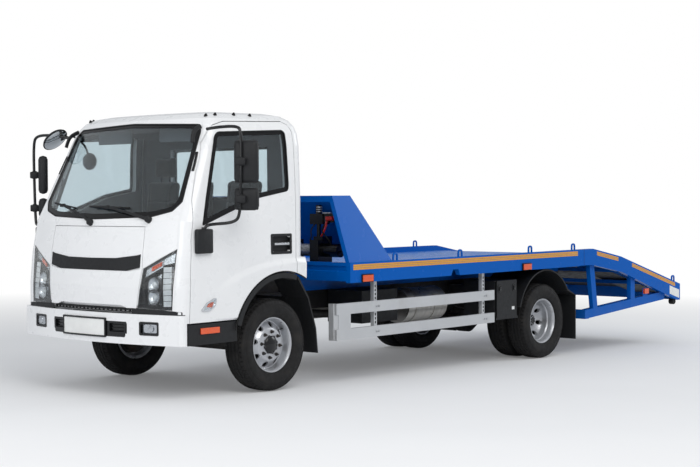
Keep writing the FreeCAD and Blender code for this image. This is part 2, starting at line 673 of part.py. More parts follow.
def axles():
    """Dropped front beam with its kingpin bosses, rear axle with its gear housing, and the shaft to it."""
    high = "tyre_radius + beam_high / 2"
    low = "tyre_radius - beam_high / 2"
    end = "kingpin_x - boss_radius / 2"
    beam = prism("front_beam", "XZ", [
        (f"-({end})", low), ("-beam_flat", f"{low} - beam_drop"), ("beam_flat", f"{low} - beam_drop"),
        (end, low), (end, high), ("beam_flat", f"{high} - beam_drop"),
        ("-beam_flat", f"{high} - beam_drop"), (f"-({end})", high),
    ], "-beam_half", "beam_half")
    bosses = []
    for side, sign in (("left", ""), ("right", "-")):
        bosses.append(rod(f"boss_{side}", "Z", "boss_radius", "tyre_radius - boss_half", "tyre_radius + boss_half",
                          f"{sign}kingpin_x", "0"))
    bores = [
        rod("bore_left", "Z", "kingpin_radius + bearing_gap", "tyre_radius - boss_half - overrun",
            "tyre_radius + boss_half + overrun", "kingpin_x", "0"),
        rod("bore_right", "Z", "kingpin_radius + bearing_gap", "tyre_radius - boss_half - overrun",
            "tyre_radius + boss_half + overrun", "-kingpin_x", "0"),
    ]
    front = cut("front_axle", fuse("front_axle_fused", [beam] + bosses), fuse("kingpin_bores", bores))
    reach = "(rear_outer_x + rear_inner_x) / 2 - disc_thick - bearing_gap"
    housing = turned("rear_axle_housing", [
        (f"-({reach})", "0"), (reach, "0"), (reach, "tube_radius"), ("diff_half * 1.6", "tube_radius"),
        ("diff_half * 0.5", "diff_radius"), ("-diff_half * 0.5", "diff_radius"),
        ("-diff_half * 1.6", "tube_radius"), (f"-({reach})", "tube_radius"),
    ], "0", "wheelbase", REAR_Z)
    start = Vector(0, size("engine_back") + size("overrun"), size("engine_low") + size("tube_radius") * 2)
    end_point = Vector(0, size("wheelbase") - size("diff_radius") * 0.8, size("tyre_radius") - size("rear_rise"))
    shaft = feature("propeller_shaft", between(start, end_point, size("shaft_radius")))
    node("axles", [front, fuse("rear_axle", [housing, shaft])])


def leaf(name, y, bottom, thick, half):
    """Leaf pack: an arc that rests on its seat in the middle and rises to its two eyes."""
    x = size("spring_x") - size("spring_wide") / 2
    end = size("frame_low") - size("eye_drop") - thick / 2
    def arc(lift, reach):
        return Part.Arc(Vector(x, y - reach, end + lift), Vector(x, y, bottom + lift),
                        Vector(x, y + reach, end + lift)).toShape()
    low = arc(0, half)
    high = arc(thick, half)
    sides = [Part.makeLine(low.Vertexes[-1].Point, high.Vertexes[-1].Point),
             Part.makeLine(low.Vertexes[0].Point, high.Vertexes[0].Point)]
    wire = Part.Wire(Part.__sortEdges__([low, high] + sides))
    return Part.Face(wire).extrude(Vector(size("spring_wide"), 0, 0))


def leaf_springs():
    """Leaf springs with the hangers that join their ends to the frame and the clamps on the axles."""
    made = []
    for name, y, seat, thick, half in (
        ("front", "0", "tyre_radius + beam_high / 2 - beam_drop + bearing_gap", "spring_thick", "spring_half"),
        ("rear", "wheelbase", "tyre_radius - rear_rise + tube_radius + hanger_thick", "rear_spring_thick",
         "rear_spring_half"),
    ):
        middle = 0 if name == "front" else size("wheelbase")
        bottom = size("tyre_radius") + size("beam_high") / 2 - size("beam_drop") + size("bearing_gap")
        if name == "rear":
            bottom = size("tyre_radius") - size("rear_rise") + size("tube_radius") + size("hanger_thick")
        pieces = [feature(f"{name}_leaf", leaf(name, middle, bottom, size(thick), size(half)))]
        x0 = "spring_x - spring_wide / 2"
        x1 = "spring_x + spring_wide / 2"
        for end, sign in (("fore", "-"), ("aft", "+")):
            pieces.append(block(f"{name}_{end}_hanger", x0, x1, f"{y} {sign} {half} - hanger_thick / 2",
                                f"{y} {sign} {half} + hanger_thick / 2",
                                f"frame_low - eye_drop - {thick} / 3", "frame_low - bearing_gap"))
        if name == "rear":
            pieces.append(block("rear_spring_seat", x0, x1, f"{y} - hanger_thick * 2", f"{y} + hanger_thick * 2",
                                f"{REAR_Z} + tube_radius + bearing_gap", f"{seat} + {thick} / 2"))
        made.append(fuse(f"{name}_spring", pieces))
    made += [mirrored(f"{spring.Name}_mirror", spring) for spring in made]
    node("leaf_springs", made)


# Frame and what hangs on it

def chassis_frame():
    """Two channel rails, open inwards, and the tubes between them."""
    rail = prism("frame_rail", "XZ", [
        ("frame_half - frame_flange", "frame_low"), ("frame_half", "frame_low"),
        ("frame_half", "frame_low + frame_high"), ("frame_half - frame_flange", "frame_low + frame_high"),
        ("frame_half - frame_flange", "frame_low + frame_high - frame_wall"),
        ("frame_half - frame_wall", "frame_low + frame_high - frame_wall"),
        ("frame_half - frame_wall", "frame_low + frame_wall"),
        ("frame_half - frame_flange", "frame_low + frame_wall"),
    ], "frame_front", "frame_back")
    pieces = [rail, mirrored("frame_rail_mirror", rail)]
    shares = (0.012, 0.30, 0.42, 0.62, 0.74, 0.875, 0.99)
    for i, share in enumerate(shares):
        pieces.append(rod(f"cross_tube_{i}", "X", "cross_tube_radius", "-(frame_half - frame_wall / 2)",
                          "frame_half - frame_wall / 2",
                          f"frame_front + (frame_back - frame_front) * {share}", "frame_low + frame_high / 2"))
    for side, sign in (("left", "+"), ("right", "-")):
        pieces.append(rod(f"hinge_pin_{side}", "X", "hinge_radius", f"0 {sign} hinge_x - hanger_thick",
                          f"0 {sign} hinge_x + hanger_thick", "hinge_y", "hinge_z"))
        pieces.append(block(f"hinge_bracket_{side}", f"0 {sign} hinge_x - hanger_thick / 2",
                            f"0 {sign} hinge_x + hanger_thick / 2", "hinge_y - hinge_radius",
                            "frame_front + frame_flange", "hinge_z - hinge_radius", "frame_low + frame_high / 3"))
    node("chassis_frame", [fuse("chassis_fused", pieces)])


def engine():
    pieces = [
        block("engine_block", "-engine_half", "engine_half", "engine_front", "engine_back",
              "engine_low", "engine_top"),
    ]
    for side, sign in (("left", 1), ("right", -1)):
        x0, x1 = ("engine_half - overrun", "frame_half - frame_wall - bearing_gap")
        if sign < 0:
            x0, x1 = (f"-({x1})", f"-({x0})")
        pieces.append(block(f"engine_mount_{side}", x0, x1, "0", "mount_wide",
                            "frame_low + frame_high / 2 - mount_high / 2",
                            "frame_low + frame_high / 2 + mount_high / 2"))
    node("engine", [fuse("engine_fused", pieces)])


def silencer():
    """Silencer can along the frame with rolled ends, its strap and the bracket to the frame."""
    pieces = [
        rod("silencer_can", "Y", "silencer_radius", "silencer_front", "silencer_back", "silencer_x", "silencer_z"),
    ]
    for i, share in enumerate((0.18, 0.66)):
        y = f"silencer_front + (silencer_back - silencer_front) * {share}"
        pieces.append(rod(f"silencer_strap_{i}", "Y", "silencer_radius + strap_thick", y, f"{y} + strap_wide",
                          "silencer_x", "silencer_z"))
        pieces.append(block(f"silencer_bracket_{i}", "frame_half + bearing_gap", "silencer_x", y,
                            f"{y} + strap_wide", "frame_low + frame_high / 4", "frame_low + frame_high * 3 / 4"))
    node("silencer", [fuse("silencer_fused", pieces)])


def fuel_tank():
    """Fuel tank on the right with rounded long edges, and two brackets to the frame."""
    body = block("tank_block", "-tank_outer", "-tank_inner", "tank_front", "tank_back", "tank_low", "tank_top")
    doc.recompute()
    rounded = doc.addObject("Part::Fillet", "tank_rounded")
    rounded.Base = body
    long_edges = [i + 1 for i, edge in enumerate(body.Shape.Edges)
                  if abs(edge.tangentAt(edge.FirstParameter).y) > 0.9]
    rounded.Edges = [(i, size("tank_round"), size("tank_round")) for i in long_edges]
    pieces = [rounded]
    for i, share in enumerate((0.2, 0.75)):
        y = f"tank_front + (tank_back - tank_front) * {share}"
        pieces.append(block(f"tank_bracket_{i}", "-tank_inner - tank_round", "-frame_half - bearing_gap", y,
                            f"{y} + strap_wide", "frame_low + frame_high / 4", "frame_low + frame_high * 3 / 4"))
    node("fuel_tank", [fuse("tank_fused", pieces)])


def battery_box():
    pieces = [
        block("battery_case", "battery_inner", "battery_outer", "battery_front", "battery_back",
              "battery_low", "battery_top"),
        block("battery_bracket", "frame_half + bearing_gap", "battery_inner + overrun",
              "battery_front + mount_wide", "battery_back - mount_wide",
              "frame_low + frame_high / 4", "frame_low + frame_high * 3 / 4"),
    ]
    node("battery_box", [fuse("battery_fused", pieces)])


# Deck

FLOOR_TOP = "rail_top - floor_sunk"
CROSS_TOP = "rail_top - floor_sunk - floor_thick"
CROSS_COUNT = 8


def deck_frame():
    """Long bearers on the frame, cross beams on them, and the side rails and front beam round them."""
    side = prism("side_rail", "YZ", [
        ("deck_front", "rail_low"), ("notch_front", "rail_low"),
        ("notch_front + notch_slope", "rail_low + notch_high"),
        ("notch_back - notch_slope", "rail_low + notch_high"), ("notch_back", "rail_low"),
        ("deck_back", "rail_low"), ("deck_back", "rail_top"), ("deck_front", "rail_top"),
    ], "deck_half - rail_thick", "deck_half")
    low = "frame_low + frame_high + bearing_gap"
    bearer = block("bearer", "bearer_half - bearer_wide", "bearer_half", "deck_front", "frame_back",
                   low, f"{CROSS_TOP} - cross_high")
    pieces = [side, mirrored("side_rail_mirror", side), bearer, mirrored("bearer_mirror", bearer)]
    for i in range(CROSS_COUNT):
        y = f"cross_first + cross_pitch * {i}"
        pieces.append(block(f"cross_beam_{i}", "-(deck_half - rail_thick)", "deck_half - rail_thick", y,
                            f"{y} + cross_wide", f"{CROSS_TOP} - cross_high", CROSS_TOP))
    front = prism("front_beam_outline", "YZ", [
        ("deck_front", "rail_low + front_groove"), ("deck_front + cross_wide", "rail_low + front_groove"),
        ("deck_front + cross_wide", "rail_top"), ("deck_front", "rail_top"),
        ("deck_front", "rail_top - 2.2 * front_groove"),
        ("deck_front + front_groove", "rail_top - 2.8 * front_groove"),
        ("deck_front + front_groove", "rail_top - 5.2 * front_groove"),
        ("deck_front", "rail_top - 5.8 * front_groove"),
    ], "-(deck_half - rail_thick)", "deck_half - rail_thick")
    pieces.append(front)
    node("deck_frame", [fuse("deck_fused", pieces)])


def tail_top(y):
    """Height of the tail rails' upper edge at a place along the truck."""
    knee, second, end = size("knee_back"), size("knee_two"), size("tail_back")
    top = size("rail_top")
    if y <= knee:
        return top
    if y <= second:
        return top - size("knee_two_drop") * (y - knee) / (second - knee)
    rest = size("tail_drop") - size("knee_two_drop")
    return top - size("knee_two_drop") - rest * (y - second) / (end - second)


def deck_floor():
    """A plate under the winch, and one bent plate from the headboard over both knees to the end plate."""
    start = size("deck_front") + size("cross_wide") + size("seal_gap")
    split = size("deck_front") + size("head_foot_long")
    ends = [split + size("seal_gap"), size("knee_back"), size("knee_two"),
            size("tail_back") - size("end_thick") - size("seal_gap")]
    upper = [(y, tail_top(y) - size("floor_sunk")) for y in ends]
    lower = [(y, z - size("floor_thick") + size("seal_gap")) for y, z in reversed(upper)]
    half = size("deck_half") - size("rail_thick") - size("seal_gap")
    top = size("rail_top") - size("floor_sunk")
    low = top - size("floor_thick") + size("seal_gap")
    front = slab([(start, top), (split, top), (split, low), (start, low)], -half, half)
    node("deck_floor", [feature("floor_plate", slab(upper + lower, -half, half)), feature("winch_plate", front)])


def tail_frame():
    """Tail rails with two bends, the end plate, the bars below, their posts and the cross beams."""
    top = "rail_top"
    high = "tail_rail_high"
    rail = prism("tail_rail", "YZ", [
        ("deck_back + bearing_gap", f"{top} - {high}"), ("knee_back - overrun * 4", f"{top} - {high}"),
        ("knee_two + overrun * 4", f"{top} - knee_two_drop - {high}"),
        ("tail_back - cross_wide", "tail_end_low"), ("tail_back", "tail_end_low"),
        ("tail_back", f"{top} - tail_drop"), ("knee_two", f"{top} - knee_two_drop"), ("knee_back", top),
        ("deck_back + bearing_gap", top),
    ], "deck_half - rail_thick", "deck_half")
    bar = prism("lower_bar", "YZ", [
        ("under_front", "under_front_low"), ("under_back - under_high / 3", "under_back_low"),
        ("under_back", "under_back_low + under_high"), ("under_front", "under_front_low + under_high"),
    ], "under_x - under_wide", "under_x")
    slope = "(under_back_low - under_front_low) / (under_back - under_front)"
    post = prism("front_post", "YZ", [
        ("post_one + post_lean", "under_front_low + under_high / 2"),
        ("post_one + post_lean + post_wide", "under_front_low + under_high / 2"),
        ("post_one + post_wide", f"{top} - {high} + cross_wide / 2"), ("post_one", f"{top} - {high} + cross_wide / 2"),
    ], "deck_half - rail_thick - under_wide / 2", "deck_half - rail_thick + under_wide / 8")
    second = block("rear_post", "deck_half - rail_thick - under_wide / 2", "deck_half - rail_thick + under_wide / 8",
                   "post_two", "post_two + post_wide",
                   f"under_front_low + under_high / 2 + (post_two - under_front) * {slope}",
                   f"{top} - knee_two_drop - {high}")
    plate = block("rear_lamp_plate", "under_x - lamp_plate", "under_x", "rear_lamp_y - lamp_plate",
                  "rear_lamp_y + lamp_long * 2 / 3 + lamp_plate",
                  f"under_front_low + under_high / 2 + (rear_lamp_y - under_front) * {slope}",
                  "rear_lamp_low + lamp_high + lamp_plate")
    pieces = [rail, bar, post, second, plate]
    pieces += [mirrored(f"{item.Name}_mirror", item) for item in pieces]
    pieces.append(block("end_plate", "-deck_half", "deck_half", "tail_back - end_thick", "tail_back",
                        "tail_end_low", f"{top} - tail_drop"))
    inner = "deck_half - rail_thick + overrun"
    pieces.append(block("tail_front_beam", f"-({inner})", inner, "deck_back + bearing_gap",
                        "deck_back + cross_wide", f"{CROSS_TOP} - cross_high", CROSS_TOP))
    pieces.append(block("lower_front_beam", "-under_x", "under_x", "under_front", "under_front + under_wide",
                        "under_front_low", "under_front_low + under_high"))
    for i, share in enumerate((0.0, 0.45)):
        y = size("knee_two") + (size("tail_back") - size("knee_two")) * share
        z = tail_top(y + size("cross_wide")) - size("floor_sunk") - size("floor_thick") - size("ramp_thick")
        z -= size("ramp_gap") + size("seal_gap")
        half = size("deck_half") - size("rail_thick") + size("overrun")
        beam = Part.makeBox(2 * half, size("cross_wide"), size("cross_high") / 2,
                            Vector(-half, y, z - size("cross_high") / 2))
        pieces.append(feature(f"tail_cross_{i}", beam))
    for side, sign in (("left", ""), ("right", "-")):
        edge = f"{sign}frame_half"
        inner_edge = f"{sign}(frame_half - frame_flange)"
        x0, x1 = (inner_edge, edge) if sign == "" else (edge, inner_edge)
        pieces.append(block(f"lower_hanger_{side}", x0, x1, "under_front", "under_front + under_wide",
                            "under_front_low + under_high / 2", "frame_low - bearing_gap"))
    node("tail_frame", [fuse("tail_fused", pieces)])


def ramps():
    """Two loading ramps in their places under the tail's floor."""
    made = []
    start = size("knee_two") + size("cross_wide") * 2
    end = size("tail_back") - size("end_thick") - size("ramp_gap")
    lift = size("floor_sunk") + size("floor_thick") + size("ramp_gap")
    upper = [(y, tail_top(y) - lift) for y in (start, end)]
    lower = [(y, z - size("ramp_thick")) for y, z in reversed(upper)]
    for side, sign in (("left", 1), ("right", -1)):
        middle = sign * size("ramp_x")
        made.append(feature(f"ramp_{side}", slab(upper + lower, middle - size("ramp_wide") / 2,
                                                 middle + size("ramp_wide") / 2)))
    node("ramps", made)


def lashing_eye(y):
    """Lashing eye: an upright plate with a round top and a hole, its foot following the rail."""
    radius, thick = size("ring_half") + size("ring_rod"), size("ring_rod") * 2
    x = size("deck_half") - size("ring_inset") - size("ring_rod")
    top = tail_top(y) + size("ring_high") - radius
    front, back = Vector(x, y - radius, top), Vector(x, y + radius, top)
    foot = [Vector(x, y + sign * radius, tail_top(y + sign * radius) + size("seal_gap")) for sign in (1, -1)]
    edges = [Part.Arc(front, Vector(x, y, top + radius), back).toShape(), Part.makeLine(back, foot[0]),
             Part.makeLine(foot[0], foot[1]), Part.makeLine(foot[1], front)]
    plate = Part.Face(Part.Wire(edges)).extrude(Vector(thick, 0, 0))
    overrun = size("overrun")
    return plate.cut(Part.makeCylinder(size("ring_half") - size("ring_rod"), thick + 2 * overrun,
                                       Vector(x - overrun, y, top), Vector(1, 0, 0)))


def lashing_rings():
    made = []
    first, pitch = size("cross_first"), size("cross_pitch")
    places = [first + pitch * share for share in (0.58, 2.92, 5.76)]
    places.append(size("deck_back") - size("cross_wide") * 1.8)
    places.append(size("tail_back") - size("cross_wide") * 2.4)
    for i, y in enumerate(places):
        made.append(feature(f"ring_{i}", lashing_eye(y)))
    made += [mirrored(f"{item.Name}_mirror", item) for item in made]
    node("lashing_rings", made)


# Headboard and winch

def headboard():
    """Two leaning side plates on the rails, the beam between their tops and the sloping sheet."""
    foot_x, top_x = size("deck_half") - size("ring_inset") / 2, size("head_top_half")
    low, high = size("rail_top") + size("bearing_gap"), size("head_top")
    front = size("deck_front")
    foot_back, top_back = front + size("head_foot_long"), front + size("head_top_long")
    thick = size("head_thick")
    def loop(shift):
        return [Vector(foot_x - shift, front, low), Vector(foot_x - shift, foot_back, low),
                Vector(top_x - shift, top_back, high), Vector(top_x - shift, front, high)]
    outer, inner = polygon_face(loop(0)), polygon_face(loop(thick))
    plate = outer.extrude(Vector(-thick, 0, 0))
    other = plate.mirror(Vector(0, 0, 0), Vector(1, 0, 0))
    half = top_x - thick / 2
    beam = Part.makeBox(2 * half, thick * 1.3, size("head_beam"), Vector(-half, front, high - size("head_beam")))
    share = (size("screen_low") - low) / (high - low)
    lower_back = foot_back + (top_back - foot_back) * share
    lower_half = foot_x + (top_x - foot_x) * share - thick / 2
    t = size("screen_thick")
    def screen_loop(shift):
        return [Vector(-lower_half, lower_back - shift, size("screen_low")),
                Vector(lower_half, lower_back - shift, size("screen_low")),
                Vector(half, top_back - shift, high), Vector(-half, top_back - shift, high)]
    sheet_face = polygon_face(screen_loop(t * 2))
    screen = sheet_face.extrude(Vector(0, t, 0))
    foot = Part.makeBox(2 * lower_half, t * 4, t * 4, Vector(-lower_half, lower_back - t * 5, size("screen_low")))
    shape = plate.multiFuse([other, beam, screen, foot])
    node("headboard", [feature("headboard_fused", shape)])


def winch():
    """Winch across the truck: end housings and motor on a base plate, the drum between them, switches above."""
    base = f"{FLOOR_TOP} + bearing_gap"
    near, far = "winch_x - drum_half", "winch_x + drum_half"
    front, back = "winch_y - winch_side", "winch_y + winch_side"
    top = "winch_z + winch_side"
    switch = f"{far} - switch_deep / 3"
    switch_top = "switch_low + switch_high"
    post_x = f"{far} + winch_post * 1.7"
    pieces = [
        block("winch_base", f"{near} - winch_end", f"{far} + winch_end", front, back, base, f"{base} + hanger_thick"),
        block("winch_left_end", f"{far} + overrun", f"{far} + winch_end", front, back, base, top),
        block("winch_right_end", f"{near} - winch_end", f"{near} - overrun", front, back, base, top),
        rod("winch_motor_case", "X", "winch_motor", f"{far} + winch_end - overrun",
            f"{far} + winch_end + winch_motor_long", "winch_y", "winch_z"),
        block("winch_gear_cover", f"{far} + winch_end / 4", f"{far} + winch_end + winch_end / 4",
              "winch_y - winch_side * 0.7", "winch_y + winch_side * 0.7", f"{top} - overrun", f"{top} + winch_side / 3"),
        rod("winch_switch_post", "Z", "winch_post", f"{top} - overrun", "switch_low + overrun", post_x, "winch_y"),
        block("winch_switch_box", switch, f"{switch} + switch_long", "winch_y - switch_deep / 2",
              "winch_y + switch_deep / 2", "switch_low", switch_top),
        block("winch_plug_box", f"{switch} + switch_long - overrun", f"{switch} + switch_long + socket_long",
              "winch_y - socket_deep / 2", "winch_y + socket_deep / 2", f"{switch_top} - socket_high", switch_top),
        rod("winch_cap", "Z", "winch_knob", f"{switch_top} - overrun", f"{switch_top} + winch_knob_high",
            post_x, "winch_y"),
    ]
    node("winch_body", [fuse("winch_fused", pieces)])
    drum = turned("winch_drum_turned", [
        ("-drum_half - overrun + bearing_gap", "0"), ("drum_half + overrun - bearing_gap", "0"),
        ("drum_half + overrun - bearing_gap", "spindle_radius"), ("drum_half", "spindle_radius"),
        ("drum_half", "winch_flange"),
        ("drum_half - hanger_thick / 3", "winch_flange"), ("drum_half - hanger_thick / 3", "winch_barrel"),
        ("-drum_half + hanger_thick / 3", "winch_barrel"), ("-drum_half + hanger_thick / 3", "winch_flange"),
        ("-drum_half", "winch_flange"), ("-drum_half", "spindle_radius"),
        ("-drum_half - overrun + bearing_gap", "spindle_radius"),
    ], "winch_x", "winch_y", "winch_z")
    node("winch_drum", [drum])


# Side guards, tool box, mudguards and lamps

def side_guards():
    """Two rails with a turned front plate, on two hangers from the deck."""
    inner = "guard_x - guard_thick"
    pieces = [
        block("guard_upper", inner, "guard_x", "guard_front + overrun", "guard_back", "guard_top - guard_rail",
              "guard_top"),
        block("guard_lower", inner, "guard_x", "guard_front + overrun", "guard_back", "guard_low",
              "guard_low + guard_rail"),
        block("guard_plate", inner, "guard_x", "guard_front + guard_thick", "guard_front + guard_post",
              "guard_low", "guard_top"),
        prism("guard_nose", "XY", [
            ("guard_x", "guard_front + guard_thick * 1.6"), ("guard_x - guard_thick * 0.3", "guard_front + guard_thick * 0.6"),
            ("guard_x - guard_thick", "guard_front"), ("guard_x - guard_turn", "guard_front"),
            ("guard_x - guard_turn", "guard_front + guard_thick / 2"), (inner, "guard_front + guard_thick * 1.6"),
        ], "guard_low", "guard_top"),
    ]
    for i, place in enumerate(("hanger_one", "hanger_two")):
        pieces.append(block(f"guard_hanger_{i}", f"{inner} - hanger_deep", f"{inner} + overrun",
                            f"{place} - hanger_wide / 2", f"{place} + hanger_wide / 2",
                            "guard_low + guard_rail / 4", f"{CROSS_TOP} - cross_high - bearing_gap"))
    left = fuse("guard_left", pieces)
    node("side_guards", [left, mirrored("guard_right", left)])


def tool_box():
    """Hollow tool box behind the left guard, open on its outer side, and its door."""
    case = block("box_case", "box_inner", "box_outer", "box_front", "box_back", "box_low", "box_top")
    room = block("box_room", "box_inner + box_wall", "box_outer + overrun", "box_front + box_wall",
                 "box_back - box_wall", "box_low + box_wall", "box_top - box_wall")
    hollow = cut("box_hollow", case, room)
    bracket = block("box_bracket", "frame_half + bearing_gap", "box_inner + overrun",
                    "box_front + mount_wide", "box_back - mount_wide", "frame_low + frame_high / 4",
                    "frame_low + frame_high * 3 / 4")
    ear_low, ear_top = "box_low - box_wall", "box_low + box_wall"
    pieces = [hollow, bracket]
    for i, (y0, y1) in enumerate((("box_front", "box_front + box_ear"), ("box_back - box_ear", "box_back"))):
        pieces.append(block(f"box_ear_{i}", "box_outer - overrun", "box_outer + overrun + box_wall", y0, y1,
                            ear_low, ear_top))
    node("tool_box", [fuse("box_fused", pieces)])
    door = block("box_door", "box_outer + overrun", "box_outer + overrun + box_wall",
                 "box_front + box_ear + bearing_gap", "box_back - box_ear - bearing_gap", "box_low - box_wall / 2",
                 "box_top")
    barrel = rod("box_barrel", "Y", "box_wall / 2", "box_front + box_ear + bearing_gap",
                 "box_back - box_ear - bearing_gap", "box_outer + overrun + box_wall / 2", "box_low - box_wall / 2")
    node("tool_box_door", [fuse("box_door_fused", [door, barrel])])


def ring_sector(y, z, outer, thick, x0, x1, start, end):
    """Part of a tube about an X line, between two angles in degrees from +Y towards +Z."""
    def point(radius, angle):
        turn = math.radians(angle)
        return Vector(x0, y + radius * math.cos(turn), z + radius * math.sin(turn))
    middle = (start + end) / 2
    inner = outer - thick
    edges = [
        Part.Arc(point(outer, start), point(outer, middle), point(outer, end)).toShape(),
        Part.makeLine(point(outer, end), point(inner, end)),
        Part.Arc(point(inner, end), point(inner, middle), point(inner, start)).toShape(),
        Part.makeLine(point(inner, start), point(outer, start)),
    ]
    return Part.Face(Part.Wire(edges)).extrude(Vector(x1 - x0, 0, 0))


def mudguards():
    """Rear arches with their flaps, and the rear halves of the front mudguards."""
    y, z = size("wheelbase"), size("tyre_radius") - size("rear_rise") + size("guard_lift")
    inner, outer = size("rear_guard_inner"), size("rear_guard_outer")
    wall = size("guard_wall")
    arch = ring_sector(y, z, size("rear_guard_radius"), wall, inner, outer, 32, 164)
    turn = math.radians(32)
    joint_y = y + (size("rear_guard_radius") - wall) * math.cos(turn)
    joint_z = z + (size("rear_guard_radius") - wall) * math.sin(turn)
    flap_back = size("flap_back")
    flap = slab([(joint_y, joint_z), (joint_y + wall, joint_z + wall), (flap_back + wall, joint_z - wall * 4),
                 (flap_back + wall, size("flap_low")), (flap_back, size("flap_low")),
                 (flap_back, joint_z - wall * 4)], inner, outer)
    stay_low = size("frame_low") + size("frame_high") - size("strap_wide")
    stay = Part.makeBox(inner - size("frame_half") + wall, size("strap_wide"),
                        z + size("rear_guard_radius") - wall * 2 - stay_low,
                        Vector(size("frame_half") + size("bearing_gap"), y + size("strap_wide") * 3, stay_low))
    rear = arch.multiFuse([flap, stay])
    cab_y, cab_z = size("arch_y"), size("arch_z")
    radius = size("arch_radius")
    front_y = cab_y + radius * 0.37
    points = [
        (front_y, cab_z + radius * 0.93), (cab_y + radius * 0.60, cab_z + radius * 0.60),
        (cab_y + radius * 0.76, cab_z + radius * 0.12), (cab_y + radius * 0.80, cab_z - radius * 0.26),
        (cab_y + radius * 0.80 - wall, cab_z - radius * 0.26), (cab_y + radius * 0.76 - wall, cab_z + radius * 0.12),
        (cab_y + radius * 0.60 - wall, cab_z + radius * 0.60 - wall / 2),
        (front_y - wall, cab_z + radius * 0.93 - wall),
    ]
    front = slab(points, size("front_guard_inner"), size("front_guard_outer"))
    hold = Part.makeBox(size("front_guard_inner") - size("frame_half") + wall, size("strap_wide"), size("strap_wide"),
                        Vector(size("frame_half") + size("bearing_gap"), cab_y + radius * 0.60 - wall,
                               size("frame_low") + size("frame_high") - size("strap_wide")))
    left = [feature("rear_mudguard", rear), feature("front_mudguard", front.fuse(hold))]
    node("mudguards", left + [mirrored(f"{item.Name}_mirror", item) for item in left])


LAMP_PLACES = ("deck_front + lamp_long * 1.1", "deck_front + lamp_long * 19.25")


def marker_lamps():
    """Amber side lamps on both side rails."""
    made = []
    for i, place in enumerate(LAMP_PLACES):
        made.append(block(f"side_lamp_{i}", "deck_half + bearing_gap", "deck_half + lamp_thick", place,
                          f"{place} + lamp_long", "lamp_low", "lamp_low + lamp_high"))
    made.append(block("rear_side_lamp", "under_x + bearing_gap", "under_x + lamp_thick", "rear_lamp_y",
                      "rear_lamp_y + lamp_long * 2 / 3", "rear_lamp_low", "rear_lamp_low + lamp_high"))
    made += [mirrored(f"{item.Name}_mirror", item) for item in made]
    node("marker_lamps", made)


def tail_lamps():
    lamp = block("tail_lamp", "tail_lamp_x - tail_lamp_long / 2", "tail_lamp_x + tail_lamp_long / 2",
                 "tail_back + bearing_gap", "tail_back + lamp_thick",
                 "tail_end_low + tail_lamp_high / 2", "tail_end_low + tail_lamp_high * 1.5")
    node("tail_lamps", [lamp, mirrored("tail_lamp_mirror", lamp)])


# Cab: its outer form is a loft through outlines seen from above. A row gives, as shares of the
# cab's own sizes, the height, the front's set-back, half widths at the front and at the rear, the
# rear wall's set-forward, and 1 where the row lies on the roof.

CAB_SHARES = (
    (0.000, 0.000, 0.985, 0.985, 0.000, 0),
    (0.160, 0.003, 0.990, 0.993, 0.000, 0),
    (0.310, 0.020, 0.990, 1.000, 0.000, 0),
    (0.470, 0.052, 0.972, 1.000, 0.000, 0),
    (0.570, 0.107, 0.944, 1.000, 0.000, 0),
    (0.835, 0.255, 0.887, 0.984, 0.001, 0),
    (0.895, 0.290, 0.870, 0.968, 0.004, 0),
    (0.930, 0.314, 0.850, 0.942, 0.010, 1),
    (0.960, 0.346, 0.815, 0.898, 0.022, 1),
    (0.982, 0.395, 0.755, 0.830, 0.048, 1),
    (0.995, 0.470, 0.640, 0.710, 0.095, 1),
    (1.000, 0.560, 0.480, 0.540, 0.160, 1),
)


def plan_outline(share, inset, drop):
    """Cab outline seen from above at one height, set in by a wall thickness."""
    high, back, half_front, half_rear, forward, roof = share
    long = size("cab_back") - size("cab_front")
    z = size("cab_low") + size("cab_high") * high - inset * roof - drop
    corner = max(size("cab_corner") - inset, size("cab_corner") / 4)
    front = size("cab_front") + long * back + inset
    rear = size("cab_back") - long * forward - inset
    wide_front = size("cab_half") * half_front - inset
    wide_rear = size("cab_half") * half_rear - inset
    bow = size("bow_radius")
    def sag(x):
        return bow - math.sqrt(bow * bow - x * x)
    flat = wide_front - corner
    bend = corner * (1 - math.sqrt(0.5))
    side = front + sag(flat) + corner
    points = {
        "front": Vector(0, front, z), "front_end": Vector(flat, front + sag(flat), z),
        "corner": Vector(wide_front - bend, front + sag(flat) + bend, z), "side": Vector(wide_front, side, z),
        "side_end": Vector(wide_rear, rear - corner, z), "rear_corner": Vector(wide_rear - bend, rear - bend, z),
        "rear": Vector(wide_rear - corner, rear, z),
    }
    def left(name):
        return points[name]
    def right(name):
        return Vector(-points[name].x, points[name].y, points[name].z)
    edges = [
        Part.Arc(right("front_end"), left("front"), left("front_end")).toShape(),
        Part.Arc(left("front_end"), left("corner"), left("side")).toShape(),
        Part.makeLine(left("side"), left("side_end")),
        Part.Arc(left("side_end"), left("rear_corner"), left("rear")).toShape(),
        Part.makeLine(left("rear"), right("rear")),
        Part.Arc(right("rear"), right("rear_corner"), right("side_end")).toShape(),
        Part.makeLine(right("side_end"), right("side")),
        Part.Arc(right("side"), right("corner"), right("front_end")).toShape(),
    ]
    return Part.Wire(edges)


def cab_form(inset, drop):
    """Solid of the cab's outer form, set in by a wall thickness; drop lengthens it downwards."""
    rows = [plan_outline(share, inset, drop if i == 0 else 0) for i, share in enumerate(CAB_SHARES)]
    return Part.makeLoft(rows, True, True)


def layer(start, end):
    """Skin of the cab between two depths below its outer face."""
    return forms(start).cut(forms(end))


FORMS = {}


def forms(inset):
    """The cab's form at an inset, made once."""
    if inset not in FORMS:
        FORMS[inset] = cab_form(inset, size("overrun") * (4 if inset > 0 else 0))
    return FORMS[inset]


def side_prism(points, inner, outer):
    """Tool through the cab's side: (y, z) corners, from x = inner to x = outer."""
    return slab(points, inner, outer)


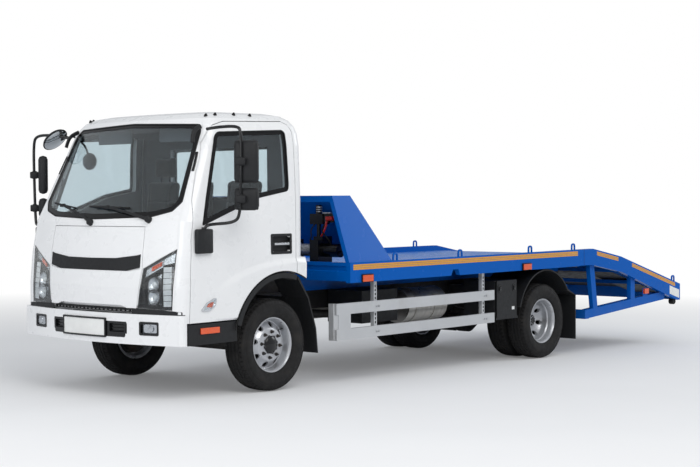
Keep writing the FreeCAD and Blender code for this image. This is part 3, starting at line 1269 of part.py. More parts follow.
def front_prism(points, start, end):
    """Tool through the cab's front or rear wall: (x, z) corners, from y = start to y = end."""
    face = polygon_face([Vector(x, start, z) for x, z in points])
    return face.extrude(Vector(0, end - start, 0))


def ordered(wire):
    """Corners of a closed wire of lines, in order."""
    return [(vertex.X, vertex.Y) for vertex in wire.OrderedVertexes]


def offset_corners(points, amount):
    wire = Part.makePolygon([Vector(a, b, 0) for a, b in list(points) + [points[0]]])
    return ordered(wire.makeOffset2D(amount, 2))


def door_points():
    """Corners of a door seen from the side, before the arch is cut from it."""
    low, high = size("cab_low"), size("cab_high")
    front, long = size("cab_front"), size("cab_back") - size("cab_front")
    shares = ((0.132, 0.000), (0.139, 0.238), (0.152, 0.383), (0.172, 0.470), (0.185, 0.528), (0.195, 0.567),
              (0.249, 0.688), (0.291, 0.767), (0.321, 0.836), (0.359, 0.889), (0.396, 0.923), (0.470, 0.942),
              (0.872, 0.952), (0.903, 0.936), (0.916, 0.906), (0.920, 0.714), (0.921, 0.000))
    return [(front + long * y, low + high * z) for y, z in shares]


def window_points():
    low, high = size("cab_low"), size("cab_high")
    front, long = size("cab_front"), size("cab_back") - size("cab_front")
    shares = ((0.236, 0.455), (0.650, 0.582), (0.862, 0.614), (0.868, 0.640), (0.862, 0.895), (0.850, 0.906),
              (0.410, 0.888), (0.386, 0.868))
    return [(front + long * y, low + high * z) for y, z in shares]


def handle_points():
    """Corners of the door handle's recess seen from the side."""
    low, top, cut_off = size("handle_low"), size("handle_low") + size("handle_high"), size("handle_round")
    front, back = size("handle_front"), size("handle_back")
    return [(front + cut_off, low), (back - cut_off, low), (back, low + cut_off), (back, top - cut_off),
            (back - cut_off, top), (front + cut_off, top), (front, top - cut_off), (front, low + cut_off)]


def screen_points():
    """Corners of the windscreen seen from the front, left half then right half."""
    half, low, high = size("cab_half"), size("cab_low"), size("cab_high")
    shares = ((0.000, 0.478), (0.610, 0.490), (0.790, 0.516), (0.852, 0.560), (0.785, 0.895), (0.735, 0.930),
              (0.000, 0.945))
    left = [(half * x, low + high * z) for x, z in shares]
    return left + [(-x, z) for x, z in reversed(left[1:-1])]


def lamp_points():
    """Corners of the left headlamp seen from the front."""
    half, low, high = size("cab_half"), size("cab_low"), size("cab_high")
    shares = ((0.545, 0.066), (0.880, 0.060), (0.900, 0.345), (0.590, 0.250))
    return [(half * x, low + high * z) for x, z in shares]


def panel_points():
    """Corners of the front panel; its lower sides follow the headlamps."""
    half, low, top = size("panel_half"), size("panel_low"), size("panel_top")
    knee = size("cab_low") + size("cab_high") * 0.250
    left = [(size("notch_top_half"), low + size("panel_notch")), (size("notch_low_half"), low),
            (size("panel_low_half"), low), (size("panel_knee_half"), knee), (half, top)]
    return left + [(-x, z) for x, z in reversed(left)]


def band_points():
    low, high, half = size("band_low"), size("band_high"), size("panel_half") - size("panel_gap")
    shares = ((0.80, 0.00), (1.00, 0.18), (1.00, 0.86), (0.80, 1.00 - 0.10))
    left = [(half * x, low + high * z) for x, z in shares]
    return left + [(-x, z) for x, z in reversed(left)]


def mirror_shape(shape):
    return shape.mirror(Vector(0, 0, 0), Vector(1, 0, 0))


def arch_tool(radius, inner, outer):
    return Part.makeCylinder(radius, outer - inner, Vector(inner, size("arch_y"), size("arch_z")), Vector(1, 0, 0))


def cab():
    """Cab shell, doors, front panel, windows and lamps, all cut from the same skin."""
    wall, gap = size("cab_wall"), size("door_gap")
    reach = size("cab_half") + wall
    inner_side = size("cab_half") * 0.8
    far = size("cab_front") - wall
    shell = layer(0, wall)
    door_tool = side_prism(offset_corners(door_points(), gap), inner_side, reach)
    door_form = side_prism(door_points(), inner_side, reach)
    arch_cut = arch_tool(size("arch_radius") + gap, -reach, reach)
    behind = Part.makeBox(2 * reach, wall * 6, size("side_low") - size("cab_low") + wall,
                          Vector(-reach, size("arch_y"), size("cab_low") - wall))
    middle_front = size("cab_front") + (size("cab_back") - size("cab_front")) * 0.45
    screen_tool = front_prism(screen_points(), far, middle_front)
    rear_points = [(-size("rear_window_half"), size("rear_window_low")),
                   (size("rear_window_half"), size("rear_window_low")),
                   (size("rear_window_half"), size("rear_window_top")),
                   (-size("rear_window_half"), size("rear_window_top"))]
    rear_tool = front_prism(rear_points, size("cab_back") - wall * 3, size("cab_back") + wall)
    lamp_far = size("cab_front") + wall * 5
    lamp_tool = front_prism(lamp_points(), far, lamp_far)
    panel_tool = front_prism(offset_corners(panel_points(), size("panel_gap")), far, lamp_far)
    panel_form = front_prism(panel_points(), far, lamp_far)
    skin = layer(0, size("panel_thick") + size("panel_gap"))
    lamp_deep = wall * 0.75
    lamp_room = layer(0, lamp_deep + size("overrun")).common(lamp_tool)
    mouth_top = size("panel_low") + size("panel_notch") + size("panel_gap") / 2
    mouth = layer(0, size("mouth_deep")).common(Part.makeBox(
        2 * size("mouth_half"), lamp_far - far, mouth_top - size("bumper_top"),
        Vector(-size("mouth_half"), far, size("bumper_top"))))
    tools = [door_tool, mirror_shape(door_tool), arch_cut, behind, screen_tool, rear_tool,
             lamp_room, mirror_shape(lamp_room), skin.common(panel_tool), mouth]
    shell = shell.cut(tools)
    thick = size("cab_floor_thick")
    floor_half = size("sill_inner") - size("overrun") * 2
    front_floor = size("bulkhead")
    step, back = size("floor_step"), size("cab_back") - wall / 2
    low_floor, high_floor = size("floor_low"), size("floor_high")
    tunnel = size("tunnel_half")
    post_half = size("sill_inner") + size("overrun") * 2
    post = size("corner_post")
    wall_half = post_half - size("overrun") * 2
    pieces = [
        Part.makeBox(2 * floor_half, back - step, thick, Vector(-floor_half, step, high_floor)),
        Part.makeBox(2 * (tunnel + thick), step - front_floor, thick, Vector(-tunnel - thick, front_floor, high_floor)),
        Part.makeBox(2 * wall_half, thick, size("dash_low") + wall - high_floor,
                     Vector(-wall_half, front_floor, high_floor)),
    ]
    for sign in (1, -1):
        x = tunnel if sign > 0 else -floor_half
        wide = floor_half - tunnel
        pieces.append(Part.makeBox(wide, step - front_floor, thick, Vector(x, front_floor, low_floor)))
        pieces.append(Part.makeBox(wide, thick, high_floor - low_floor + thick, Vector(x, step - thick, low_floor)))
        pieces.append(Part.makeBox(wide, thick, high_floor - low_floor + thick, Vector(x, front_floor, low_floor)))
        pieces.append(Part.makeBox(post, wall, size("dash_low") + wall - low_floor, Vector(
            post_half - post if sign > 0 else -post_half, front_floor - wall, low_floor)))
        pieces.append(Part.makeBox(wall_half - floor_half + post, thick, size("dash_low") + wall - low_floor, Vector(
            floor_half - post if sign > 0 else -wall_half, front_floor, low_floor)))
        side = tunnel if sign > 0 else -tunnel - thick
        pieces.append(Part.makeBox(thick, step - front_floor, high_floor - low_floor + thick,
                                   Vector(side, front_floor, low_floor)))
    bumper_room = Part.makeBox(2 * reach, size("bumper_back") + gap - far, size("bumper_top") + gap - size("cab_low")
                               + wall, Vector(-reach, far, size("cab_low") - wall))
    shell = shell.cut(bumper_room).multiFuse(pieces)
    lugs = []
    low_lug = size("hinge_z") - size("hinge_radius") * 2
    for sign in (1, -1):
        x = sign * size("hinge_x")
        inner_x = abs(x) + size("hanger_thick") * 0.6
        outer_x = tunnel + thick
        x0 = inner_x if sign > 0 else -outer_x
        lug = Part.makeBox(outer_x - inner_x, size("hinge_radius") * 4, low_floor + thick - low_lug,
                           Vector(x0, size("hinge_y") - size("hinge_radius") * 2, low_lug))
        bore = Part.makeCylinder(size("hinge_radius") + size("bearing_gap"), outer_x, Vector(x, size("hinge_y"),
                                 size("hinge_z")), Vector(sign, 0, 0))
        lugs.append(lug.cut(bore))
    shell = shell.multiFuse(lugs)
    node("cab_shell", [feature("cab_shell_shape", shell)])

    glass = size("glass_thick")
    seat = size("seal_gap")
    screen = layer(glass / 2, glass * 1.5).common(front_prism(offset_corners(screen_points(), -seat), far,
                                                              middle_front))
    rear = Part.makeBox(2 * size("rear_window_half") - 2 * seat, glass,
                        size("rear_window_top") - size("rear_window_low") - 2 * seat,
                        Vector(-size("rear_window_half") + seat, size("cab_back") - wall / 2,
                               size("rear_window_low") + seat))
    node("cab_glass", [feature("windscreen_shape", screen), feature("rear_window_shape", rear)])

    lamp = layer(glass / 2, lamp_deep).common(front_prism(offset_corners(lamp_points(), -seat), far, lamp_far))
    node("headlamps", [feature("headlamp_left", lamp), feature("headlamp_right", mirror_shape(lamp))])

    panel = layer(0, size("panel_thick")).common(panel_form)
    band_deep = glass * 2
    band_tool = layer(0, band_deep + seat).common(front_prism(band_points(), far, lamp_far))
    band = layer(glass / 2, band_deep).common(front_prism(offset_corners(band_points(), -seat), far, lamp_far))
    hinge_skin = layer(size("panel_thick") - size("seal_gap") * 3,
                       size("panel_thick") + size("panel_gap") - size("seal_gap"))
    leaves = []
    for sign in (1, -1):
        x = sign * size("panel_half") * 0.6
        leaves.append(hinge_skin.common(Part.makeBox(wall, wall * 6, wall / 2, Vector(
            x - wall / 2, far, size("panel_top") - wall))))
    node("front_panel", [feature("front_panel_shape", panel.cut(band_tool).multiFuse(leaves))])
    node("grille_band", [feature("grille_band_shape", band)])

    door = layer(0, wall).common(door_form).cut(arch_cut)
    window = side_prism(window_points(), inner_side, reach)
    pocket = side_prism(handle_points(), inner_side, reach)
    grip_low = size("handle_low") + (size("handle_high") - size("grip_high")) / 2
    grip = layer(size("grip_sunk"), size("grip_sunk") + size("grip_thick")).common(side_prism([
        (size("handle_front") - size("overrun"), grip_low), (size("handle_back") + size("overrun"), grip_low),
        (size("handle_back") + size("overrun"), grip_low + size("grip_high")),
        (size("handle_front") - size("overrun"), grip_low + size("grip_high"))], inner_side, reach))
    door = door.cut([window, layer(0, size("handle_deep")).common(pocket)]).fuse(grip)
    front_edge = min(y for y, z in door_points())
    tab_skin = layer(wall * 0.4, wall * 0.8)
    tabs = []
    for share in (0.08, 0.19):
        z = size("cab_low") + size("cab_high") * share
        edge = front_edge + (z - size("cab_low")) * size("tab_lean")
        tabs.append(tab_skin.common(Part.makeBox(reach - inner_side, gap + wall / 3, wall / 3, Vector(
            inner_side, edge - gap + size("seal_gap") * 3, z))))
    door = door.multiFuse(tabs)
    sided("door", feature("door_shape", door))
    pane = layer(size("glass_in"), size("glass_in") + glass).common(
        side_prism(offset_corners(window_points(), -seat), inner_side, reach))
    sided("door_glass", feature("door_glass_shape", pane))


def cab_trim():
    """Black sills and arch lips, and the wipers."""
    half = size("cab_half") - size("overrun") * 2
    inner = size("sill_inner")
    sill = slab([
        (size("bumper_back") + size("door_gap") * 3, size("sill_low")), (size("sill_back"), size("sill_low")),
        (size("sill_back"), size("sill_top")), (size("bumper_back") + size("door_gap") * 3, size("sill_top")),
    ], inner, half)
    lip = ring_sector(size("arch_y"), size("arch_z"), size("arch_radius") - size("seal_gap") * 2, size("arch_lip"),
                      inner, half + size("overrun") * 3, 72, 163)
    flange = Part.makeBox(half - size("overrun") * 14 - inner + size("cab_floor_thick"), size("floor_step") - size("hinge_y")
                          - size("cab_floor_thick"), size("floor_low") - size("seal_gap") - size("sill_top")
                          + size("cab_floor_thick"),
                          Vector(inner - size("cab_floor_thick"), size("hinge_y"),
                                 size("sill_top") - size("cab_floor_thick")))
    trim = sill.multiFuse([lip, flange])
    back = size("mouth_deep") - size("seal_gap")
    low, top = size("bumper_top") + size("door_gap") + size("overrun"), size("panel_low") - size("overrun")
    far, deep = size("cab_front") - size("cab_wall"), size("cab_wall") * 6
    net = layer(back - size("slat_thick"), back).common(front_prism([
        (-size("slat_half"), low), (size("slat_half"), low), (size("slat_half"), top), (-size("slat_half"), top)],
        far, far + deep))
    rim, places = size("slat_wide"), []
    count = int(size("slat_half") / size("slat_pitch"))
    for i in range(-count, count):
        x = (i + 0.5) * size("slat_pitch")
        reach = (size("slat_pitch") - rim) / 2
        places.append(Part.makeBox(2 * reach, deep, top - low - 2 * rim * 0.7, Vector(x - reach, far, low + rim * 0.7)))
    net = net.cut(places)
    node("cab_trim", [feature("trim_left", trim), feature("trim_right", mirror_shape(trim)),
                      feature("air_inlet_grille", net)])


def bow_sag(x):
    """How far the bowed front falls back at a distance from the middle."""
    bow = size("bow_radius")
    return bow - math.sqrt(bow * bow - x * x)


def bumper_outline(inset, z):
    """Bumper seen from above: a bowed front, rounded corners and short sides."""
    bow, corner = size("bow_radius"), size("bumper_corner")
    half, front, back = size("bumper_half") - inset, size("bumper_front") + inset, size("bumper_back")
    if inset > 0:
        back += size("overrun")
    radius = max(corner - inset, corner / 5)
    flat = half - radius
    sag = bow - math.sqrt(bow * bow - flat * flat)
    bend = radius * (1 - math.sqrt(0.5))
    def left(x, y):
        return Vector(x, y, z)
    edges = [
        Part.Arc(left(-flat, front + sag), left(0, front), left(flat, front + sag)).toShape(),
        Part.Arc(left(flat, front + sag), left(half - bend, front + sag + bend), left(half, front + sag + radius)).toShape(),
        Part.makeLine(left(half, front + sag + radius), left(half, back)),
        Part.makeLine(left(half, back), left(-half, back)),
        Part.makeLine(left(-half, back), left(-half, front + sag + radius)),
        Part.Arc(left(-half, front + sag + radius), left(-half + bend, front + sag + bend),
                 left(-flat, front + sag)).toShape(),
    ]
    return Part.Face(Part.Wire(edges))


def bumper():
    """Bowed bumper shell with pockets for the fog lamps and recesses beside the plate."""
    low, top, wall = size("bumper_low"), size("bumper_top"), size("bumper_wall")
    outer = bumper_outline(0, low).extrude(Vector(0, 0, top - low))
    inner = bumper_outline(wall, low - size("overrun")).extrude(Vector(0, 0, top - low + 2 * size("overrun")))
    shell = outer.cut(inner)
    far = size("bumper_front") - wall
    tools, lamps = [], []
    fog_top = size("fog_low") + size("fog_high")
    for sign in (1, -1):
        points = [(sign * size("fog_inner"), size("fog_low")), (sign * size("fog_outer"), size("fog_low")),
                  (sign * size("fog_outer"), fog_top), (sign * size("fog_inner"), fog_top)]
        tool = front_prism(points, far, size("bumper_back"))
        tools.append(tool)
        seat = size("seal_gap") * 2
        deep = bumper_outline(size("front_groove"), low).extrude(Vector(0, 0, top - low))
        back = bumper_outline(wall, low - size("overrun")).extrude(Vector(0, 0, top))
        lamp = front_prism(offset_corners(points, -seat), far, size("bumper_back"))
        lamps.append(lamp.common(deep).cut(back))
        x0, x1 = sorted((sign * size("grille_inner"), sign * size("grille_outer")))
        room = front_prism([(x0, size("fog_low")), (x1, size("fog_low")), (x1, fog_top - size("front_groove")),
                            (x0, fog_top - size("front_groove"))], far, size("bumper_back"))
        tools.append(room.cut(bumper_outline(size("recess_deep"), low).extrude(Vector(0, 0, top - low))))
    arms = []
    back = size("bulkhead") + size("cab_floor_thick")
    for sign in (1, -1):
        x = sign * size("hinge_x") * 1.6 - size("mount_high") / 2
        front = size("bumper_front") + wall / 2 + bow_sag(size("hinge_x") * 1.6)
        arms.append(Part.makeBox(size("mount_high"), back - front, wall, Vector(x, front, top - wall)))
        arms.append(Part.makeBox(size("mount_high"), wall, size("floor_low") - size("seal_gap") - top + wall,
                                 Vector(x, back - wall, top - wall)))
    shell = shell.cut(tools).multiFuse(arms)
    node("bumper", [feature("bumper_shape", shell)])
    node("fog_lamps", [feature(f"fog_lamp_{i}", lamp) for i, lamp in enumerate(lamps)])


def cab_inside():
    """Dashboard with its column, and the seats; the steering wheel turns on the column."""
    wall = size("cab_wall")
    half = size("cab_half") - wall * 3
    front = size("bulkhead") + size("cab_floor_thick") + size("seal_gap")
    dash = slab([(front, size("dash_low")), (size("dash_back"), size("dash_low")),
                 (size("dash_back"), size("dash_top") - wall), (size("dash_back") - wall, size("dash_top")),
                 (front + wall * 1.5, size("dash_top")), (front, size("dash_top") - wall * 2)], -half, half)
    hub = Vector(size("wheel_x"), size("wheel_y"), size("wheel_z"))
    tilt = Vector(0, 0.5, 0.866)
    lower = hub - tilt * size("wheel_radius") * 1.4
    column = between(lower, hub - tilt * (size("wheel_rim") * 1.4 + size("seal_gap")), size("column_radius"))
    node("dashboard", [feature("dashboard_shape", dash.fuse(column))])
    across = Vector(1, 0, 0)
    thick = size("wheel_rim")
    corners = []
    for i in range(6):
        turn = math.radians(60 * i)
        corners.append(hub + across * (size("wheel_radius") + thick * math.cos(turn)) + tilt * thick * math.sin(turn))
    rim = polygon_face(corners).revolve(hub, tilt, 360)
    boss = Part.makeCylinder(size("wheel_rim") * 3.4, size("column_radius"), hub - tilt * size("wheel_rim") * 1.4, tilt)
    spokes = []
    down = tilt.cross(across)
    for direction in (across, across * -1, down * -1 if down.z > 0 else down):
        spokes.append(between(hub, hub + direction * size("wheel_radius"), size("wheel_rim") * 0.8))
    node("steering_wheel", [feature("steering_wheel_shape", rim.multiFuse([boss] + spokes))])
    seats = []
    floor = size("floor_high") + size("cab_floor_thick") + size("bearing_gap")
    for i, (x, share) in enumerate(((size("seat_x"), 1), (-size("seat_x"), 1), (-size("rest_half") * 0.2, 0.7))):
        wide = size("seat_half") * share
        front_y, back_y = size("seat_front"), size("seat_back")
        base = Part.makeBox(wide * 1.4, (back_y - front_y) * 0.8, size("seat_low") - floor,
                            Vector(x - wide * 0.7, front_y + wall, floor))
        cushion = Part.makeBox(wide * 2, back_y - front_y, size("seat_top") - size("seat_low"),
                               Vector(x - wide, front_y, size("seat_low")))
        lean = size("back_thick") * 0.5
        back = slab([(back_y - size("back_thick"), size("seat_top")), (back_y, size("seat_top")),
                     (back_y + lean, size("back_top")), (back_y + lean - size("back_thick") * 0.7, size("back_top"))],
                    x - wide, x + wide)
        rest_half = size("rest_half") * share
        rest = slab([(back_y + lean - size("back_thick") * 0.7, size("back_top")), (back_y + lean, size("back_top")),
                     (back_y + lean, size("rest_top")), (back_y + lean - size("back_thick") * 0.6, size("rest_top"))],
                    x - rest_half, x + rest_half)
        seats.append(feature(f"seat_{i}", base.multiFuse([cushion, back, rest])))
    node("seats", seats)


def mirror_arm(points, radius):
    """Tube along a line of straight runs, mitred where they meet."""
    path = Part.makePolygon(points)
    start = Part.Wire(Part.makeCircle(radius, points[0], points[1] - points[0]))
    return path.makePipeShell([start], True, False, 1)


def mirrors():
    """Mirror tube on each door with its two housings; the right one also carries the round mirrors."""
    x, y = size("mirror_x"), size("mirror_y")
    tube = size("mirror_tube")
    door_x = size("cab_half") * 0.991
    top, bottom = size("mirror_head"), size("mirror_foot")
    foot_y = size("foot_front") + size("foot_wide") / 2
    bend = size("mirror_deep")
    upper_x = size("cab_half") * 0.915
    path = [Vector(upper_x, y - bend * 0.2, top + tube), Vector(x - bend, y, top - tube),
            Vector(x, y, top - bend), Vector(x, y, bottom + bend), Vector(x - bend * 0.5, y - bend * 0.4, bottom + tube),
            Vector(door_x + size("foot_thick") * 0.6, foot_y, bottom),
            Vector(door_x + size("foot_thick") * 0.6, foot_y, size("foot_low") + size("foot_high") / 2)]
    arm = mirror_arm(path, tube)
    foot = Part.makeBox(size("foot_thick"), size("foot_wide"), size("foot_high"),
                        Vector(door_x, size("foot_front"), size("foot_low")))
    bracket = Part.makeBox(size("foot_thick"), size("foot_wide") * 0.6, size("foot_thick"),
                           Vector(upper_x - size("foot_thick") * 0.5, y - size("foot_wide") * 0.3, top - tube))
    housings = []
    for low, high in ((size("main_low"), size("main_high")), (size("wide_low"), size("wide_high"))):
        box = Part.makeBox(2 * size("mirror_half"), size("mirror_deep"), high,
                           Vector(x - size("mirror_half"), y + tube * 0.5, low))
        upright = [edge for edge in box.Edges if abs(edge.tangentAt(edge.FirstParameter).z) > 0.9]
        housings.append(box.makeFillet(size("mirror_deep") * 0.3, upright))
    left = arm.multiFuse([foot, bracket] + housings)
    node("mirrors_left", [feature("mirrors_left_shape", left)])
    right = mirror_shape(left)
    eye = Vector(-upper_x - bend * 0.6, y - bend * 1.6, top - bend * 0.4)
    facing = Vector(-0.15, 0.9, -0.4)
    disc = Part.makeCylinder(size("round_radius"), size("round_thick"), eye, facing)
    stem = between(Vector(-upper_x, y, top), eye + facing * 5, tube)
    kerb_eye = Vector(-x + bend * 1.6, y + bend * 1.4, top - bend * 1.7)
    kerb = Part.makeCylinder(size("round_radius") * 0.66, size("round_thick") * 0.8, kerb_eye, Vector(0.3, 0.75, -0.6))
    kerb_stem = between(Vector(-x + bend, y, top - tube), kerb_eye + Vector(0, 5, 0), tube * 0.8)
    node("mirrors_right", [feature("mirrors_right_shape", right.multiFuse([disc, stem, kerb, kerb_stem]))])


chassis_frame()
axles()
leaf_springs()
engine()
silencer()
fuel_tank()
battery_box()
knuckles()
tie_rod()
front_wheels()
rear_wheels()
deck_frame()
deck_floor()
tail_frame()
ramps()
lashing_rings()
headboard()
winch()
side_guards()
tool_box()
mudguards()
marker_lamps()
tail_lamps()
cab()
cab_trim()
bumper()
cab_inside()
mirrors()

# Tip the truck forward on its springs and move the origin to the ground below its middle.

rake = math.atan2(size("rear_rise"), size("wheelbase"))


def along(y, z):
    """Place along the ground of a point at a length and height of the level truck."""
    return y * math.cos(rake) - (z - size("tyre_radius")) * math.sin(rake)


front_end = along(size("bumper_front"), size("bumper_top"))
rear_end = along(size("tail_back") + size("lamp_thick"), size("tail_end_low") + size("tail_lamp_high") / 2)
middle = (front_end + rear_end) / 2
axle = Vector(0, 0, size("tyre_radius"))
tipped = Placement(Vector(0, 0, 0), Rotation(Vector(1, 0, 0), math.degrees(rake)), axle)
stance = Placement(Vector(0, -middle, 0), Rotation()).multiply(tipped)
for item in nodes:
    item.Placement = stance
doc.recompute()

failed = [item.Name for item in doc.Objects if "Invalid" in item.State or "Error" in item.State]
if failed:
    raise RuntimeError("not rebuilt: " + ", ".join(failed))
empty = [item.Label for item in nodes
         if item.Shape.isNull() or not item.Shape.isValid() or not item.Shape.Solids]
if empty:
    raise RuntimeError("no valid shape: " + ", ".join(empty))
for item in nodes:
    item.Shape.exportStep(f"parts/{item.Label}.step")
print(len(nodes), "pieces written")
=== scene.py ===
"""Finishes, trim and studio for a two-axle tow truck with a white cab and a blue sloping deck.

Lengths are metres. Trim is worked out in the level truck's own frame (X to its left, Y to its rear from the
front axle, Z up from the ground) and then tipped with the truck by place().
"""

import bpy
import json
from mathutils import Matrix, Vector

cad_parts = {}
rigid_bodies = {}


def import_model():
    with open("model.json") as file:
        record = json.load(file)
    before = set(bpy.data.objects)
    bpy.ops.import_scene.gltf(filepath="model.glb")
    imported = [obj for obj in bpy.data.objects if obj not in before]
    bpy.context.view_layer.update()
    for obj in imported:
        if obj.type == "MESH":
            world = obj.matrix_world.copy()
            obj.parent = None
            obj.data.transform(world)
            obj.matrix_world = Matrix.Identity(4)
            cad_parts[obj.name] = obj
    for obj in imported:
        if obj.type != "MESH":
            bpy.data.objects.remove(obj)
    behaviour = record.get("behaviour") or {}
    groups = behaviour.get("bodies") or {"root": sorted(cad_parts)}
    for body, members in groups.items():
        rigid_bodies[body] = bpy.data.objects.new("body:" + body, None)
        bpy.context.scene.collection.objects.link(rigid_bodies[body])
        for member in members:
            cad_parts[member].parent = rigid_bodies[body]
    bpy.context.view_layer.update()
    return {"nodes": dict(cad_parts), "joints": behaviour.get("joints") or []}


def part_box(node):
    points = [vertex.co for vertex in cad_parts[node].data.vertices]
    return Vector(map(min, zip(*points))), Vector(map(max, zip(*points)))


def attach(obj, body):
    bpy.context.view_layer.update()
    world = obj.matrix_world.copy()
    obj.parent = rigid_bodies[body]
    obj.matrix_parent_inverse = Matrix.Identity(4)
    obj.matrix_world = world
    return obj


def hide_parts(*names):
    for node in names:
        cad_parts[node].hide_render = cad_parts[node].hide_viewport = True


bl_info = {
    "name": "Tow truck finish",
    "version": (1, 0, 0),
    "blender": (4, 5, 0),
    "location": "View3D > Sidebar > Tow truck",
    "description": "Paints, dresses and lights the tow truck",
    "category": "Object",
}

import json
import math

import bmesh
import bpy
import numpy as np
from bpy.props import FloatProperty, FloatVectorProperty, IntProperty, PointerProperty
from mathutils import Matrix, Vector

for left_over in list(bpy.data.objects):
    bpy.data.objects.remove(left_over)
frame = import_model()
NODES = frame["nodes"]
JOINTS = {joint["name"]: joint for joint in frame["joints"]}

# The truck stands nose down: its rear axle is carried higher on the frame than its front axle.

FRONT_AXLE = np.array(JOINTS["front_left_wheel_spin"]["pos_m"])
REAR_AXLE = np.array(JOINTS["rear_left_wheels_spin"]["pos_m"])
TYRE_RADIUS = FRONT_AXLE[2]
REAR_RISE = 0.070
RAKE = math.asin(REAR_RISE / (REAR_AXLE[1] - FRONT_AXLE[1]))

# Rows of the cab's form: height, set-back of the front, half widths at front and rear, rear wall forward.

CAB_SHARES = np.array([(0.000, 0.000, 0.985, 0.985, 0.000), (0.160, 0.003, 0.990, 0.993, 0.000),
                       (0.310, 0.020, 0.990, 1.000, 0.000), (0.470, 0.052, 0.972, 1.000, 0.000),
                       (0.570, 0.107, 0.944, 1.000, 0.000), (0.835, 0.255, 0.887, 0.984, 0.001),
                       (0.895, 0.290, 0.870, 0.968, 0.004), (0.930, 0.314, 0.850, 0.942, 0.010),
                       (0.960, 0.346, 0.815, 0.898, 0.022), (0.982, 0.395, 0.755, 0.830, 0.048),
                       (0.995, 0.470, 0.640, 0.710, 0.095), (1.000, 0.560, 0.480, 0.540, 0.160)])
CAB_LOW, CAB_HIGH = 0.640, 1.722
CAB_FRONT, CAB_BACK, CAB_HALF = -1.190, 0.355, 1.015
CAB_LONG = CAB_BACK - CAB_FRONT
CAB_CORNER, CAB_BOW = 0.100, 3.600
CAB_WALL = 0.060
RAIL_X, RAIL_TOP, DECK_FRONT = 1.100, 1.056, 0.845
KNEE, KNEE_TWO, TAIL_BACK = 4.917, 5.514, 6.892
KNEE_DROP, TAIL_DROP = 0.105, 0.478
GROUND = 0.0


# Placing and shaping


def place(points):
    """Level truck to standing truck: a turn by the rake about the front axle, then a move to its place."""
    points = np.asarray(points, float)
    up = points[..., 2] - TYRE_RADIUS
    cosine, sine = math.cos(RAKE), math.sin(RAKE)
    y = points[..., 1] * cosine - up * sine + FRONT_AXLE[1]
    z = TYRE_RADIUS + points[..., 1] * sine + up * cosine
    return np.stack([points[..., 0], y, z], -1)


def level(points):
    """Standing truck back to the level truck: the reverse of place()."""
    y, z = points[..., 1] - FRONT_AXLE[1], points[..., 2] - TYRE_RADIUS
    cosine, sine = math.cos(RAKE), math.sin(RAKE)
    return np.stack([points[..., 0], y * cosine + z * sine, z * cosine - y * sine + TYRE_RADIUS], -1)


def cab_rows(z):
    """Front, half widths and rear of the cab at heights z, read straight between the rows of CAB_SHARES."""
    share = np.clip((np.asarray(z, float) - CAB_LOW) / CAB_HIGH, 0, 1)
    back, wide_front, wide_rear, forward = (np.interp(share, CAB_SHARES[:, 0],
                                                      CAB_SHARES[:, i]) for i in range(1, 5))
    return CAB_FRONT + CAB_LONG * back, CAB_HALF * wide_front, CAB_HALF * wide_rear, CAB_BACK - CAB_LONG * forward


def bow(x):
    """Set-back of a circle of radius CAB_BOW at x from its foremost point."""
    return CAB_BOW - np.sqrt(CAB_BOW ** 2 - x ** 2)


def front_face(x, z, out=0.0):
    """Points of the cab's front: a bowed line, then a quarter circle of CAB_CORNER at each side, moved out."""
    x, z = np.broadcast_arrays(np.asarray(x, float), np.asarray(z, float))
    front, wide, _, _ = cab_rows(z)
    flat = wide - CAB_CORNER
    past = np.clip(np.abs(x) - flat, 0, CAB_CORNER)
    y = front + bow(np.minimum(np.abs(x), flat)) + CAB_CORNER - np.sqrt(CAB_CORNER ** 2 - past ** 2)
    return np.stack([x, y - out, z], -1)


def side_face(y, z, out=0.0):
    """Points of the cab's left side: a straight line from front to rear with a quarter circle at its front."""
    y, z = np.broadcast_arrays(np.asarray(y, float), np.asarray(z, float))
    front, wide_front, wide_rear, rear = cab_rows(z)
    start = front + bow(wide_front - CAB_CORNER) + CAB_CORNER
    share = np.clip((y - start) / (rear - CAB_CORNER - start), 0, 1)
    x = wide_front + (wide_rear - wide_front) * share
    before = np.clip(start - y, 0, CAB_CORNER)
    x = x - CAB_CORNER + np.sqrt(CAB_CORNER ** 2 - before ** 2)
    return np.stack([x + out, y, z], -1)


def deck_top(y):
    """Height of the side rails' top edge: level, then two straight slopes down to the tail."""
    return np.interp(y, [DECK_FRONT, KNEE, KNEE_TWO, TAIL_BACK],
                     [RAIL_TOP, RAIL_TOP, RAIL_TOP - KNEE_DROP, RAIL_TOP - TAIL_DROP])


def mirrored(points):
    """The same points on the truck's right side."""
    return points * np.array([-1.0, 1.0, 1.0])


def oblong(low_first, low_second, high_first, high_second):
    """Four corners of an upright rectangle, from its low corner on."""
    return np.array([(low_first, low_second), (high_first, low_second), (high_first, high_second),
                     (low_first, high_second)])


def rounded_loop(corners, radius, per_arc=6, per_edge=6):
    """Closed outline: each corner a quadratic curve from radius before it to radius past it, the rest straight."""
    corners = np.asarray(corners, float)
    after, before = np.roll(corners, -1, 0) - corners, np.roll(corners, 1, 0) - corners
    long_after, long_before = np.linalg.norm(after, axis=1), np.linalg.norm(before, axis=1)
    reach = np.minimum(np.broadcast_to(radius, long_after.shape), 0.48 * np.minimum(long_after, long_before))
    leave = corners + after * (reach / long_after)[:, None]
    enter = corners + before * (reach / long_before)[:, None]
    turn = np.linspace(0, 1, per_arc + 1)[None, :, None]
    arcs = (enter[:, None] * (1 - turn) ** 2 + 2 * corners[:, None] * turn * (1 - turn)
            + leave[:, None] * turn ** 2)
    run = np.linspace(0, 1, per_edge + 2)[None, 1:-1, None]
    edges = leave[:, None] * (1 - run) + np.roll(enter, -1, 0)[:, None] * run
    return np.concatenate([arcs, edges], 1).reshape(-1, 2)


